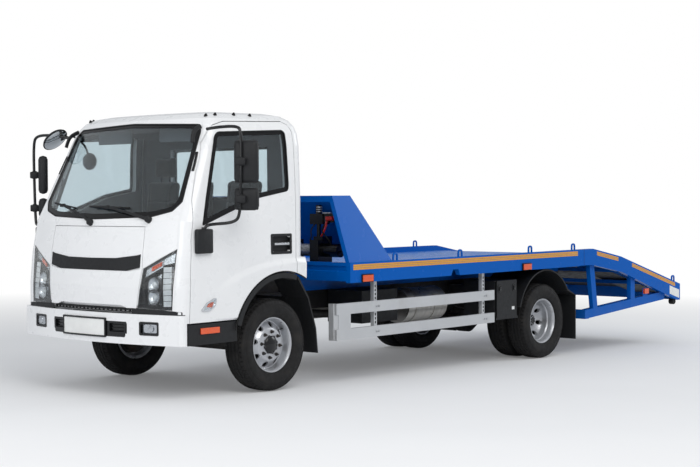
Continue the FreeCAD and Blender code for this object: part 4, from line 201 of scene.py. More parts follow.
def moved_in(corners, amount):
    """Corners of an outline moved inwards: along the sum of both edge normals, over one plus their product."""
    corners = np.asarray(corners, float)
    along = np.roll(corners, -1, 0) - corners
    along /= np.linalg.norm(along, axis=1)[:, None]
    area = np.sum(corners[:, 0] * np.roll(corners[:, 1], -1) - np.roll(corners[:, 0], -1) * corners[:, 1])
    normal = np.stack([-along[:, 1], along[:, 0]], 1) * np.sign(area)
    last = np.roll(normal, 1, 0)
    return corners + amount * (normal + last) / (1 + np.sum(normal * last, 1))[:, None]


def inset_loops(outline, amounts, radius, per_arc, per_edge):
    """The outline moved in by each of the amounts and rounded."""
    return [rounded_loop(moved_in(outline, amount), radius, per_arc, per_edge) for amount in amounts]


def both_sides(half_outline):
    """An outline given from the middle to the left side, closed with its mirror image."""
    half_outline = np.asarray(half_outline, float)
    inner = half_outline[half_outline[:, 0] > 0]
    return np.concatenate([half_outline, (inner * [-1, 1])[::-1]], 0)


def band(outer, inner, surface, low, high):
    """Closed band between two outlines on a surface, from depth low to height high: four rows that wrap."""
    rows = [(outer, low), (outer, high), (inner, high), (inner, low)]
    return np.stack([surface(loop[:, 0], loop[:, 1], out) for loop, out in rows]), True, True


def patch(loop, surface, low, high, rings=6):
    """Closed slab on a surface inside an outline: rings shrink from it to its middle on both faces."""
    middle = (loop.min(0) + loop.max(0)) / 2
    shares = np.concatenate([np.linspace(0, 1, rings + 1), np.linspace(1, 0, rings + 1)])
    outs = np.concatenate([np.full(rings + 1, high), np.full(rings + 1, low)])
    spread = middle + (loop - middle) * shares[:, None, None]
    return np.stack([surface(ring[:, 0], ring[:, 1], out) for ring, out in zip(spread, outs)]), False, True


def flat_side(x):
    """Surface for outlines in (y, z) on the plane at x, the height growing outwards."""
    def surface(y, z, out=0.0):
        y, z = np.broadcast_arrays(np.asarray(y, float), np.asarray(z, float))
        return np.stack([np.full(y.shape, x) + out, y, z], -1)
    return surface


def upright(depth, outwards):
    """Surface for outlines in (x, z) on a wall at y = depth(x, z), its outside towards -y or +y (-1 or 1)."""
    def surface(x, z, out=0.0):
        x, z = np.broadcast_arrays(np.asarray(x, float), np.asarray(z, float))
        return np.stack([x, depth(x, z) + outwards * out, z], -1)
    return surface


def unit(vector):
    """The vector at length one."""
    return np.asarray(vector, float) / np.linalg.norm(vector)


def basis(axis):
    """Three square directions, the last along axis."""
    last = unit(axis)
    first = unit(np.cross(last, [0.0, 0.0, 1.0] if abs(last[2]) < 0.9 else [0.0, 1.0, 0.0]))
    return np.stack([first, np.cross(last, first), last])


def turned(profile, centre, axis, sides=32, start=0.0):
    """Solid of revolution: profile rows are (radius, height along axis), closed at the axis at both ends."""
    profile = np.asarray(profile, float)
    profile = np.concatenate([[(0, profile[0, 1])], profile, [(0, profile[-1, 1])]])
    angle = start + np.linspace(0, 2 * np.pi, sides, endpoint=False)
    first, second, last = basis(axis)
    around = np.cos(angle)[:, None] * first + np.sin(angle)[:, None] * second
    points = profile[:, 0, None, None] * around[None] + profile[:, 1, None, None] * last
    return np.asarray(centre, float) + points, False, True


def block(low, high, round_off=0.004, axes=None, centre=None):
    """Box with rounded edges: each point is a corner of the inner box plus the radius along a round direction."""
    low, high = np.minimum(low, high).astype(float), np.maximum(low, high).astype(float)
    half = (high - low) / 2
    round_off = min(round_off, 0.98 * half.min())
    rise = np.radians([-90, -90, -45, 0, 0, 45, 90, 90])
    sign_up = np.array([-1, -1, -1, -1, 1, 1, 1, 1])
    turn = np.radians(np.concatenate([quarter * 90 + np.array([0.0, 45.0, 90.0]) for quarter in range(4)]))
    side = np.repeat([(1, 1), (-1, 1), (-1, -1), (1, -1)], 3, 0)
    ball = np.stack([np.cos(rise)[:, None] * np.cos(turn), np.cos(rise)[:, None] * np.sin(turn),
                     np.sin(rise)[:, None] * np.ones_like(turn)], -1)
    inner = half - round_off
    corner = np.stack(np.broadcast_arrays(side[None, :, 0] * inner[0], side[None, :, 1] * inner[1],
                                          sign_up[:, None] * inner[2]), -1).copy()
    corner[0, :, :2] = 0
    corner[-1, :, :2] = 0
    points = corner + round_off * ball
    if axes is not None:
        points = points @ np.asarray(axes, float)
    return points + (np.asarray(centre, float) if centre is not None else (low + high) / 2), False, True


def rounded_path(points, rounds=3, closed=False):
    """Corners cut by quarters, again and again, which tends to a smooth curve between the same ends."""
    points = np.asarray(points, float)
    for _ in range(rounds):
        after = np.roll(points, -1, 0)
        near, far = points * 0.75 + after * 0.25, points * 0.25 + after * 0.75
        both = np.stack([near, far], 1).reshape(-1, 3)
        points = both if closed else np.concatenate([points[:1], both[1:-3], points[-1:]])
    return points


def tube(path, radius, sides=12, flat=1.0, up=(0.0, 0.0, 1.0), closed=False):
    """Round bar along a path: circles square to it, flattened by a share, with closed ends."""
    path = np.asarray(path, float)
    step = np.roll(path, -1, 0) - np.roll(path, 1, 0) if closed else np.gradient(path, axis=0)
    step /= np.linalg.norm(step, axis=1)[:, None]
    across = np.cross(step, up)
    across /= np.maximum(np.linalg.norm(across, axis=1), 1e-9)[:, None]
    rise = np.cross(across, step)
    angle = np.linspace(0, 2 * np.pi, sides, endpoint=False)
    ring = np.cos(angle)[None, :, None] * across[:, None] + flat * np.sin(angle)[None, :, None] * rise[:, None]
    rings = path[:, None] + np.broadcast_to(radius, (len(path),))[:, None, None] * ring
    if closed:
        return rings, True, True
    ends = [np.repeat(path[i][None, None], sides, 1) for i in (0, -1)]
    return np.concatenate([ends[0], rings, ends[1]]), False, True


def grid_faces(rows, columns, wrap_rows, wrap_columns, start):
    """Corner numbers of a grid's quads, the last row or column joined to the first where it wraps."""
    i = np.arange(rows if wrap_rows else rows - 1)
    j = np.arange(columns if wrap_columns else columns - 1)
    i, j = (part.ravel() for part in np.meshgrid(i, j, indexing="ij"))
    i2, j2 = (i + 1) % rows, (j + 1) % columns
    return start + np.stack([i * columns + j, i * columns + j2, i2 * columns + j2, i2 * columns + j], 1)


def joined_mesh(name, grids, world=False):
    """One mesh from closed grids: same points merged, faces turned outwards."""
    vertices, faces, start = [], [], 0
    for points, wrap_rows, wrap_columns in grids:
        rows, columns = points.shape[:2]
        vertices.append(points.reshape(-1, 3))
        faces.append(grid_faces(rows, columns, wrap_rows, wrap_columns, start))
        start += rows * columns
    vertices, faces = np.concatenate(vertices), np.concatenate(faces)
    if not world:
        vertices = place(vertices)
    mesh = bpy.data.meshes.new(name)
    mesh.from_pydata(vertices, [], faces.tolist())
    form = bmesh.new()
    form.from_mesh(mesh)
    bmesh.ops.remove_doubles(form, verts=form.verts, dist=1e-6)
    bmesh.ops.dissolve_degenerate(form, dist=1e-7, edges=form.edges)
    bmesh.ops.recalc_face_normals(form, faces=form.faces)
    form.to_mesh(mesh)
    form.free()
    return mesh


def piece(name, grids, finish, body, replaces=(), angle=35, world=False):
    """One object from closed grids, smooth but for edges past an angle, riding on a body."""
    mesh = joined_mesh(name, grids, world)
    mesh.shade_smooth()
    mesh.set_sharp_from_angle(angle=math.radians(angle))
    item = bpy.data.objects.new(name, mesh)
    bpy.context.scene.collection.objects.link(item)
    mesh.materials.append(bpy.data.materials[f"{finish}_finish"])
    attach(item, body)
    if replaces:
        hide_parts(*replaces)
    return item


def turned_over(grids):
    """The grids' mirror images."""
    return [(mirrored(points), wrap_rows, wrap_columns) for points, wrap_rows, wrap_columns in grids]


def left_and_right(grids):
    """The grids and their mirror images."""
    return grids + turned_over(grids)


def side_piece(name, grids, finish, body):
    """A piece on each side of the truck on matching bodies."""
    for side, shapes in (("left", grids), ("right", turned_over(grids))):
        piece(f"{name}_{side}", shapes, finish, body.format(side=side))


# Finishes


class Finish:
    """A node material under one shader, with the few node groups that the finishes share."""

    def __init__(self, name, roughness=0.5, metallic=0.0, colour=None):
        self.material = bpy.data.materials.new(name)
        self.material.use_nodes = True
        self.nodes, self.links = self.material.node_tree.nodes, self.material.node_tree.links
        self.shader = self.nodes["Principled BSDF"]
        self.shader.inputs["Roughness"].default_value = roughness
        self.shader.inputs["Metallic"].default_value = metallic
        if colour is not None:
            self.shader.inputs["Base Color"].default_value = (*colour, 1)
        self.place = self.nodes.new("ShaderNodeTexCoord").outputs["Object"]
        self.bumped = None

    def set(self, **values):
        """Constant values on the shader's own sockets."""
        for name, value in values.items():
            self.shader.inputs[name.replace("_", " ")].default_value = value

    def scaled(self, scale):
        """Object coordinates times a scale along each axis."""
        node = self.nodes.new("ShaderNodeMapping")
        node.inputs["Scale"].default_value = scale
        self.links.new(self.place, node.inputs["Vector"])
        return node.outputs["Vector"]

    def noise(self, scale, detail, stretch=None):
        """Soft noise at a scale per metre, its coordinates times a stretch along each axis."""
        node = self.nodes.new("ShaderNodeTexNoise")
        node.inputs["Scale"].default_value = scale
        node.inputs["Detail"].default_value = detail
        node.inputs["Roughness"].default_value = 0.5
        self.links.new(self.place if stretch is None else self.scaled(stretch), node.inputs["Vector"])
        return node.outputs["Fac"]

    def sum(self, operation, first, second=None, third=None):
        """One math node on sockets or numbers."""
        node = self.nodes.new("ShaderNodeMath")
        node.operation = operation
        for i, value in enumerate((first, second, third)):
            if value is None:
                continue
            if isinstance(value, (int, float)):
                node.inputs[i].default_value = value
            else:
                self.links.new(value, node.inputs[i])
        return node.outputs[0]

    def cells(self, scale):
        """Distance to the nearest seed of a cell pattern at a scale per metre."""
        node = self.nodes.new("ShaderNodeTexVoronoi")
        node.inputs["Scale"].default_value = scale
        self.links.new(self.place, node.inputs["Vector"])
        return node.outputs["Distance"]

    def axis(self, index):
        """One coordinate of the object place."""
        node = self.nodes.new("ShaderNodeSeparateXYZ")
        self.links.new(self.place, node.inputs[0])
        return node.outputs[index]

    def wave(self, index, pitch):
        """Sine of one coordinate with a length of wave in metres."""
        return self.sum("SINE", self.sum("MULTIPLY", self.axis(index), 2 * math.pi / pitch))

    def spread(self, value, low, high, to_low=0.0, to_high=1.0):
        """Value from low to high made to_low to to_high, and held at both ends."""
        node = self.nodes.new("ShaderNodeMapRange")
        for name, number in (("From Min", low), ("From Max", high), ("To Min", to_low), ("To Max", to_high)):
            node.inputs[name].default_value = number
        self.links.new(value, node.inputs["Value"])
        return node.outputs["Result"]

    def colour(self, first, second, share):
        """Base colour between two colours by a share."""
        node = self.nodes.new("ShaderNodeMix")
        node.data_type = "RGBA"
        for socket, value in ((node.inputs[6], first), (node.inputs[7], second)):
            if isinstance(value, tuple):
                socket.default_value = (*value, 1)
            else:
                self.links.new(value, socket)
        self.links.new(share, node.inputs[0])
        self.links.new(node.outputs[2], self.shader.inputs["Base Color"])
        return node.outputs[2]

    def roughness(self, value, low, high):
        """Roughness from low to high with a noise between 0.3 and 0.7."""
        self.links.new(self.spread(value, 0.3, 0.7, low, high), self.shader.inputs["Roughness"])

    def bump(self, height, distance, strength=1.0):
        """Height in metres times a distance, added under the bumps made before."""
        node = self.nodes.new("ShaderNodeBump")
        node.inputs["Distance"].default_value = distance
        node.inputs["Strength"].default_value = strength
        self.links.new(height, node.inputs["Height"])
        if self.bumped is not None:
            self.links.new(self.bumped, node.inputs["Normal"])
        self.bumped = node.outputs["Normal"]
        self.links.new(self.bumped, self.shader.inputs["Normal"])


ROAD_DUST = (0.30, 0.27, 0.24)
LUG_PITCH, LUG_HALF, LUG_REACH = 0.034, 0.11, 0.40
RIB_PITCH, THREAD_PITCH = 0.011, 0.0032


def linear(red, green, blue):
    """Screen colour of 0 to 255 as the shader's linear colour."""
    value = np.array([red, green, blue]) / 255
    return tuple(float(v) for v in np.where(value <= 0.04045, value / 12.92, ((value + 0.055) / 1.055) ** 2.4))


def shade(colour, share):
    """A colour made darker or lighter by a share."""
    return tuple(min(1.0, c * share) for c in colour)


def gloss_paint(name, colour, roughness, dust_top, dust_most, gloss):
    """Sprayed paint under clear coat: faint orange peel, colour a little uneven, road dust low down."""
    made = Finish(name)
    made.set(Coat_Weight=gloss, Coat_Roughness=0.06, Specular_IOR_Level=gloss)
    tone = made.colour(shade(colour, 0.985), shade(colour, 1.01), made.noise(1.7, 4))
    low = made.spread(made.axis(2), 0.35, dust_top, dust_most, 0.0)
    made.colour(tone, ROAD_DUST, made.sum("MULTIPLY", low, made.spread(made.noise(5.5, 6), 0.35, 0.75)))
    made.roughness(made.noise(9, 4), roughness * 0.92, roughness * 1.12)
    made.bump(made.noise(260, 2), 0.00012, 0.30)


def tread_plate():
    """Blue painted tread plate: crossed lens-shaped lugs in turn, their tops paler from paint wear and from a
    painted highlight.
    """
    made = Finish("deck_plate_finish")
    made.set(Coat_Weight=0.06, Coat_Roughness=0.15, Specular_IOR_Level=0.2)
    x, y = (made.sum("DIVIDE", made.axis(i), LUG_PITCH) for i in (0, 1))
    heights = []
    for sign, shift in ((1, 0.0), (-1, 0.5)):
        slanted = made.sum("MULTIPLY", y, sign)
        squares = []
        for operation, half in (("SUBTRACT", LUG_HALF), ("ADD", LUG_REACH)):
            turn = made.sum("FRACT", made.sum("ADD", made.sum(operation, x, slanted), shift))
            away = made.sum("ABSOLUTE", made.sum("SUBTRACT", turn, 0.5))
            squares.append(made.sum("POWER", made.sum("DIVIDE", away, half), 2))
        heights.append(made.spread(made.sum("ADD", *squares), 1.0, 0.35))
    lugs = made.sum("MAXIMUM", *heights)
    blue = tuple(colours().plate)
    tone = made.colour(shade(blue, 0.88), shade(blue, 1.10), made.noise(2.3, 5))
    # Lug tops turn pale blue: partly paint wear, partly a painted highlight where light catches them.
    wear_and_highlight = made.sum("MULTIPLY", lugs, made.spread(made.noise(14, 5), 0.45, 0.7, 0.0, 0.5))
    made.colour(tone, linear(150, 178, 214), wear_and_highlight)
    made.roughness(made.noise(6, 5), 0.24, 0.42)
    made.bump(lugs, 0.0018)


# Finishes of even layers: name, metallic, shader values; tone: two screen colours and their noise; dirt:
# screen colour, noise, where it starts and is full, its most; gloss: noise, lowest and highest roughness;
# grain: noise, depth in metres, strength. A noise is its scale per metre, its detail and, where it is drawn
# out, its stretch.

LAYERED = (
    # Black chassis paint with dull dust in its hollows.
    ("frame_paint_finish", 0.0, {"Specular_IOR_Level": 0.3}, ((24, 24, 26), (38, 37, 37), (7, 6)),
     ((82, 76, 68), (3.1, 8), 0.58, 0.85, 0.25), ((18, 5), 0.42, 0.68), ((120, 3), 0.0004, 0.5)),
    # Light grey painted alloy: long draw lines and a few dust marks.
    ("grey_metal_finish", 0.35, {}, ((186, 188, 191), (206, 208, 210), (3, 4)),
     ((140, 134, 124), (6, 8), 0.56, 0.85, 0.3), ((8, 3, (1, 0.05, 12)), 0.30, 0.46),
     ((60, 2, (1, 0.02, 14)), 0.0002, 0.4)),
    # Dark rough casting with rusty patches.
    ("cast_metal_finish", 0.6, {}, ((46, 45, 45), (70, 68, 66), (9, 5)),
     ((96, 66, 46), (5, 9), 0.58, 0.8, 0.45), ((22, 5), 0.5, 0.8), ((160, 5), 0.0006, 1.0)),
    # Silver wheel paint: fine flake and brake dust.
    ("silver_rim_finish", 0.62, {"Coat_Weight": 0.35, "Coat_Roughness": 0.12},
     ((176, 178, 182), (206, 208, 212), (900, 1)), ((92, 86, 80), (7, 8), 0.54, 0.82, 0.45),
     ((12, 4), 0.26, 0.44), ((240, 2), 0.0002, 0.4)),
    # Black rubber, greyer with dust where it is dull.
    ("tyre_rubber_finish", 0.0, {"Specular_IOR_Level": 0.25}, ((26, 26, 27), (37, 36, 36), (11, 5)),
     ((92, 87, 80), (6, 9), 0.54, 0.88, 0.28), ((24, 5), 0.62, 0.86), ((340, 3), 0.0003, 0.6)),
    # Aluminised sheet: brushed one way, heat-toned and dusty.
    ("bare_alloy_finish", 0.9, {}, ((150, 147, 142), (196, 194, 190), (5, 5, (1, 5, 1))),
     ((112, 100, 86), (3.2, 8), 0.5, 0.8, 0.5), ((14, 4), 0.26, 0.5), ((80, 3, (20, 0.4, 20)), 0.0002, 0.4)),
    # Silvered glass with a faint film.
    ("mirror_finish", 1.0, {}, ((214, 220, 224), (226, 231, 234), (3, 3)), None, ((6, 5), 0.02, 0.07), None),
    # Chromed plastic with a faint haze.
    ("chrome_finish", 1.0, {}, ((206, 209, 212), (226, 228, 231), (12, 4)), None, ((20, 5), 0.06, 0.16), None),
)


def layered_finish(name, metallic, values, tone, dirt, gloss, grain):
    """A finish from a row of LAYERED."""
    made = Finish(name, metallic=metallic)
    made.set(**values)
    first, second, cloud = tone
    mixed = made.colour(linear(*first), linear(*second), made.noise(*cloud))
    if dirt:
        soiled, patches, starts, full, most = dirt
        made.colour(mixed, linear(*soiled), made.spread(made.noise(*patches), starts, full, 0.0, most))
    made.roughness(made.noise(*gloss[0]), *gloss[1:])
    if grain:
        made.bump(made.noise(*grain[0]), *grain[1:])


def grained_plastic(name, colour, grain=0.00022, low=0.44, high=0.62):
    """Moulded plastic with a fine cell grain and paler rubbed places."""
    made = Finish(name)
    made.set(Specular_IOR_Level=0.3)
    made.colour(shade(colour, 0.85), shade(colour, 1.35), made.noise(4.2, 6))
    made.roughness(made.noise(30, 4), low, high)
    made.bump(made.cells(420), grain, 0.7)


def clear_finish(name, colour):
    """Glass or clear plastic: light passes tinted by the colour, with a faint smear in its gloss."""
    made = Finish(name, colour=colour)
    made.set(Transmission_Weight=1.0, IOR=1.45, Specular_IOR_Level=0.15)
    smear = made.spread(made.noise(2.2, 6), 0.4, 0.8, 0.02, 0.07)
    made.links.new(smear, made.shader.inputs["Roughness"])


def ribbed_lens(name, colour, deep):
    """Coloured lamp lens: gloss outside, small square prisms showing inside."""
    made = Finish(name)
    made.set(IOR=1.5, Coat_Weight=1.0, Coat_Roughness=0.03, Subsurface_Weight=0.12, Roughness=0.16)
    made.shader.inputs["Subsurface Radius"].default_value = (0.02, 0.01, 0.005)
    ribs = [made.sum("ABSOLUTE", made.wave(index, RIB_PITCH)) for index in (1, 2)]
    prisms = made.sum("MULTIPLY", *ribs)
    made.colour(deep, colour, made.spread(prisms, 0.1, 0.8, 0.35, 1.0))
    made.bump(prisms, 0.0006, 0.5)


def seat_cloth():
    """Charcoal woven cloth: crossed threads, a lighter fleck and sheen at the edges."""
    made = Finish("seat_fabric_finish", roughness=0.9)
    made.set(Sheen_Weight=0.35, Sheen_Roughness=0.4)
    threads = [made.wave(index, THREAD_PITCH) for index in (0, 1, 2)]
    weave = made.sum("MULTIPLY", made.sum("ADD", *threads[:2]), threads[2])
    tone = made.colour(linear(46, 47, 50), linear(64, 65, 69), made.spread(weave, -1.5, 1.5))
    made.colour(tone, linear(92, 94, 98), made.spread(made.noise(210, 2), 0.6, 0.75, 0.0, 0.5))
    made.bump(weave, 0.0004)


def zinc_plate():
    """Bright zinc on steel: crystal patches and soft scratches."""
    made = Finish("zinc_steel_finish", metallic=0.85)
    made.colour(linear(148, 150, 152), linear(198, 200, 203), made.spread(made.cells(55), 0.1, 0.8))
    made.roughness(made.noise(35, 5), 0.28, 0.5)
    made.bump(made.noise(150, 3), 0.0002, 0.4)


def marking_tape():
    """Amber reflective tape: a fine honeycomb under a clear film, scuffed in places."""
    made = Finish("tape_finish")
    made.set(Coat_Weight=0.8, Coat_Roughness=0.08)
    comb = made.cells(260)
    amber = tuple(colours().tape)
    tone = made.colour(shade(amber, 0.80), shade(amber, 1.12), made.spread(comb, 0.1, 0.7))
    made.colour(tone, linear(120, 96, 50), made.spread(made.noise(16, 8), 0.60, 0.85, 0.0, 0.5))
    made.roughness(made.noise(30, 4), 0.25, 0.45)
    made.bump(comb, 0.0002, 0.5)


def plain_finish(name, colour, roughness, metallic=0.0, coat=0.0, scale=20, bump=0.0002, gloss=0.5):
    """A small piece's finish: slightly uneven colour and gloss, fine surface."""
    made = Finish(name, metallic=metallic)
    made.set(Coat_Weight=coat, Coat_Roughness=0.08, Specular_IOR_Level=gloss)
    made.colour(shade(colour, 0.88), shade(colour, 1.10), made.noise(scale, 4))
    made.roughness(made.noise(scale * 1.7, 4), roughness * 0.85, roughness * 1.2)
    made.bump(made.noise(scale * 12, 2), bump, 0.5)


def colours():
    """The user's colours."""
    return bpy.context.scene.truck_colours


def stage_sizes():
    """The user's camera and lamps."""
    return bpy.context.scene.truck_stage


def tyre_sizes():
    """The user's tread sizes."""
    return bpy.context.scene.truck_tread


class TruckColours(bpy.types.PropertyGroup):
    """Colours that a user would change."""

    cab: FloatVectorProperty(name="Cab", description="Paint of the cab", subtype="COLOR", size=3, min=0, max=1,
                             default=linear(236, 237, 238))
    deck: FloatVectorProperty(name="Deck", description="Paint of the deck and headboard", subtype="COLOR", size=3,
                              min=0, max=1, default=linear(0, 90, 180))
    plate: FloatVectorProperty(name="Floor", description="Paint of the deck's floor", subtype="COLOR", size=3,
                               min=0, max=1, default=linear(40, 116, 204))
    tape: FloatVectorProperty(name="Tape", description="Marking tape on the rails", subtype="COLOR", size=3,
                              min=0, max=1, default=linear(216, 150, 8))


class TruckTread(bpy.types.PropertyGroup):
    """Tread sizes that a user would change."""

    groove: FloatProperty(name="Groove depth", description="Depth of the grooves round the tread", unit="LENGTH",
                          default=0.011, min=0.0, max=0.02)
    wide: FloatProperty(name="Groove width", description="Width of a groove round the tread", unit="LENGTH",
                        default=0.010, min=0.002, max=0.03)
    blocks: IntProperty(name="Blocks", description="Shoulder blocks round one tyre", default=60, min=12, max=96)


class TruckStage(bpy.types.PropertyGroup):
    """Camera and lamps."""

    lens: FloatProperty(name="Lens", description="Focal length of the camera in millimetres on a 36 mm sensor",
                        default=74.716, min=10, max=400)
    key: FloatProperty(name="Key lamp", description="Power of the large lamp over the front left", unit="POWER",
                       default=375, min=0)
    front: FloatProperty(name="Front lamp", description="Power of the lamp before the cab", unit="POWER",
                         default=185, min=0)
    fill: FloatProperty(name="Fill lamp", description="Power of the lamp over the rear", unit="POWER",
                        default=250, min=0)
    sky: FloatProperty(name="Room light", description="Strength of the room's even light", default=0.56, min=0)


PLAIN = (
    ("reflector_finish", (196, 200, 205), 0.24, {"metallic": 0.9, "scale": 60, "bump": 0.0006}),
    ("glass_border_finish", (10, 10, 12), 0.16, {"scale": 12, "gloss": 0.35}),
    ("rubber_seal_finish", (17, 17, 18), 0.6, {"scale": 30, "gloss": 0.3}),
    ("gloss_black_finish", (14, 15, 17), 0.20, {"coat": 0.25, "scale": 16, "gloss": 0.35}),
    ("plate_white_finish", (232, 233, 231), 0.35, {"coat": 0.3, "scale": 10}),
    ("signal_red_finish", (196, 28, 24), 0.35, {"coat": 0.4, "scale": 18}),
    ("lamp_white_finish", (226, 230, 234), 0.22, {"coat": 0.6, "scale": 26}),
)


def make_finishes():
    """Every finish of the truck."""
    gloss_paint("cab_paint_finish", tuple(colours().cab), roughness=0.28, dust_top=0.95, dust_most=0.03,
                gloss=0.5)
    gloss_paint("deck_paint_finish", tuple(colours().deck), roughness=0.25, dust_top=0.9, dust_most=0.06,
                gloss=0.07)
    tread_plate()
    grained_plastic("black_plastic_finish", linear(29, 30, 32))
    grained_plastic("lining_finish", linear(104, 108, 114), grain=0.0003, low=0.6, high=0.8)
    for row in LAYERED:
        layered_finish(*row)
    clear_finish("window_glass_finish", linear(219, 230, 234))
    clear_finish("lamp_lens_finish", linear(246, 249, 250))
    ribbed_lens("amber_lens_finish", linear(250, 96, 14), linear(176, 44, 3))
    ribbed_lens("red_lens_finish", linear(214, 16, 12), linear(120, 4, 4))
    seat_cloth()
    zinc_plate()
    marking_tape()
    for name, colour, roughness, more in PLAIN:
        plain_finish(name, linear(*colour), roughness, **more)


def face_values(mesh, what):
    """The normal or center of every face of a mesh."""
    values = np.zeros(len(mesh.polygons) * 3)
    mesh.polygons.foreach_get(what, values)
    return values.reshape(-1, 3)


def second_finish(mesh, finish, faces):
    """Another finish on the faces that are marked."""
    mesh.materials.append(bpy.data.materials[finish])
    mesh.polygons.foreach_set("material_index", faces.astype(np.int32))


def finish_nodes():
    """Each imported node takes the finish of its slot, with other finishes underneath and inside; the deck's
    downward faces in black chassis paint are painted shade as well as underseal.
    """
    for item in NODES.values():
        slot = item.data.materials[0].name.split(".")[0]
        item.data.materials[0] = bpy.data.materials[f"{slot}_finish"]
    NODES["dashboard"].data.materials[0] = bpy.data.materials["lining_finish"]
    NODES["winch_body"].data.materials[0] = bpy.data.materials["gloss_black_finish"]
    # Downward faces of the deck floor and ramps take the black chassis paint: painted shade under the deck, and
    # its dark underseal.
    for name in ("deck_floor", "ramps"):
        mesh = NODES[name].data
        second_finish(mesh, "frame_paint_finish", face_values(mesh, "normal")[:, 2] < -0.5)
    for name in ("cab_shell", "door_left", "door_right"):
        mesh = NODES[name].data
        x, y, z = level(face_values(mesh, "center")).T
        side = side_face(y, z)[:, 0] - np.abs(x)
        front = y - front_face(x, z)[:, 1]
        rear = cab_rows(z)[3] - y
        deep = np.minimum(np.minimum(side, front), rear) > CAB_WALL * 0.8
        if name == "cab_shell":
            deep &= z < CAB_LOW + CAB_HIGH - CAB_WALL * 0.5
        second_finish(mesh, "lining_finish", deep)


# Tyres and wheels

TYRE_HALF = 0.1125
WALL_SWELL_LOW, WALL_SWELL_LONG = 0.229, 0.166
WALL_RADII = (0.2262, 0.2372, 0.241, 0.246, 0.2475, 0.2535, 0.255, 0.268, 0.285, 0.303, 0.320, 0.336, 0.338,
              0.344, 0.346, 0.360, 0.368, 0.374)
TREAD_EDGE, SHOULDER_X = 0.0998, (0.0998, 0.0975, 0.0935, 0.089)
GROOVE_LINES, ZIGZAG = (-0.058, -0.020, 0.020, 0.058), 0.0036
STEPS = 4


def tyre_grid(centre):
    """Ring of a tyre: a half section of side wall, shoulder and tread carried round, less its grooves.

    The side wall swells as a sine between the flange and the shoulder, with a raised bead line and a sunk line;
    the tread is a shallow arc. Each groove takes its depth off the radius where the place across the tread is
    within a share of its width of a zigzag line. Notches cut the shoulders once a block, sipes the ribs.
    """
    sizes = tyre_sizes()
    wall_r = np.array(WALL_RADII)
    wall_x = 0.0875 + 0.0245 * np.sin(np.pi * np.clip((wall_r - WALL_SWELL_LOW) / WALL_SWELL_LONG, 0, 1))
    wall_x[:2] = 0.0845
    wall_x[4:6] += 0.0022
    wall_x[12:14] -= 0.0016
    tread_x = np.concatenate([SHOULDER_X, np.linspace(0.084, 0.002, 26)])
    out = tread_x / TREAD_EDGE
    tread_r = TYRE_RADIUS - 0.0115 * out ** 6 - 0.0028 * out ** 2
    half_x, half_r = np.concatenate([wall_x, tread_x]), np.concatenate([wall_r, tread_r])
    x = np.concatenate([half_x, -half_x[::-1]])[:, None]
    turns = sizes.blocks * STEPS
    step = np.arange(turns)
    angle = 2 * np.pi * step / turns
    radius = np.repeat(np.concatenate([half_r, half_r[::-1]])[:, None], turns, 1)
    zigzag = ZIGZAG * (np.abs((step % 8) / 4.0 - 1) * 2 - 1)
    on_tread = (radius > 0.376) & (np.abs(x) < 0.092)
    cut = np.zeros_like(radius)
    for line in GROOVE_LINES:
        away = np.abs(x - line - zigzag[None])
        cut = np.maximum(cut, np.clip(1.6 - 1.6 * away / (sizes.wide * 0.75), 0, 1))
    each_block = ((step % STEPS) == 0)[None]
    sipe = ((step % 8) == 3)[None] & (np.abs(x) < 0.050) & (np.abs(np.abs(x) - 0.020) > 0.007)
    cut = np.maximum(cut, 0.85 * (each_block & (np.abs(x) > 0.066)))
    cut = np.maximum(cut, 0.45 * sipe)
    radius = radius - sizes.groove * cut * on_tread
    lug = each_block & (radius > 0.352) & (radius <= 0.3765) & (np.abs(x) > 0.095)
    across = x - np.sign(x) * 0.003 * lug
    points = np.stack([across + np.zeros_like(radius), radius * np.cos(angle), radius * np.sin(angle)], -1)
    return points + np.asarray(centre), True, True


def rear_middles(side, sign):
    """Middles of the outer and the inner rear tyre of a side, from the pair's box."""
    low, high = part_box(f"tyre_rear_{side}")
    ends = [high[0] - TYRE_HALF, low[0] + TYRE_HALF]
    return [np.array([x, REAR_AXLE[1], REAR_AXLE[2]]) for x in ends[::sign]]


def make_tyres():
    """Treaded tyres in place of the plain ones, turned with their wheels."""
    for side, sign in (("left", 1), ("right", -1)):
        for name, middles, body, plain in (
                ("treaded_tyre_front", [FRONT_AXLE * [sign, 1, 1]], "wheel_front", "tyre_front"),
                ("treaded_tyres_rear", rear_middles(side, sign), "wheels_rear", "tyre_rear")):
            piece(f"{name}_{side}", [tyre_grid(middle) for middle in middles], "tyre_rubber", f"{body}_{side}",
                  (f"{plain}_{side}",), angle=40, world=True)


NUT_SIZE, NUT_CIRCLE = 0.0125, 0.110


def nut(centre, axis):
    """Wheel nut: a washer face, and a six-sided body with the stud's end as one turned form of six sides."""
    body, washer = ([(NUT_SIZE * share, high) for share, high in rows] for rows in (
        ((1, 0.0), (1, 0.016), (0.8, 0.020), (0.45, 0.022), (0.42, 0.030), (0.2, 0.033)),
        ((1.25, -0.001), (1.25, 0.003), (1.05, 0.005))))
    return [turned(body, centre, axis, 6), turned(washer, centre, axis, 18)]


def ring_of(maker, centre, axis, radius, count, start=0.0):
    """Copies of a form on a circle square to an axis."""
    first, second, _ = basis(axis)
    grids = []
    for turn in start + 2 * np.pi * np.arange(count) / count:
        grids += maker(np.asarray(centre) + radius * (math.cos(turn) * first + math.sin(turn) * second))
    return grids


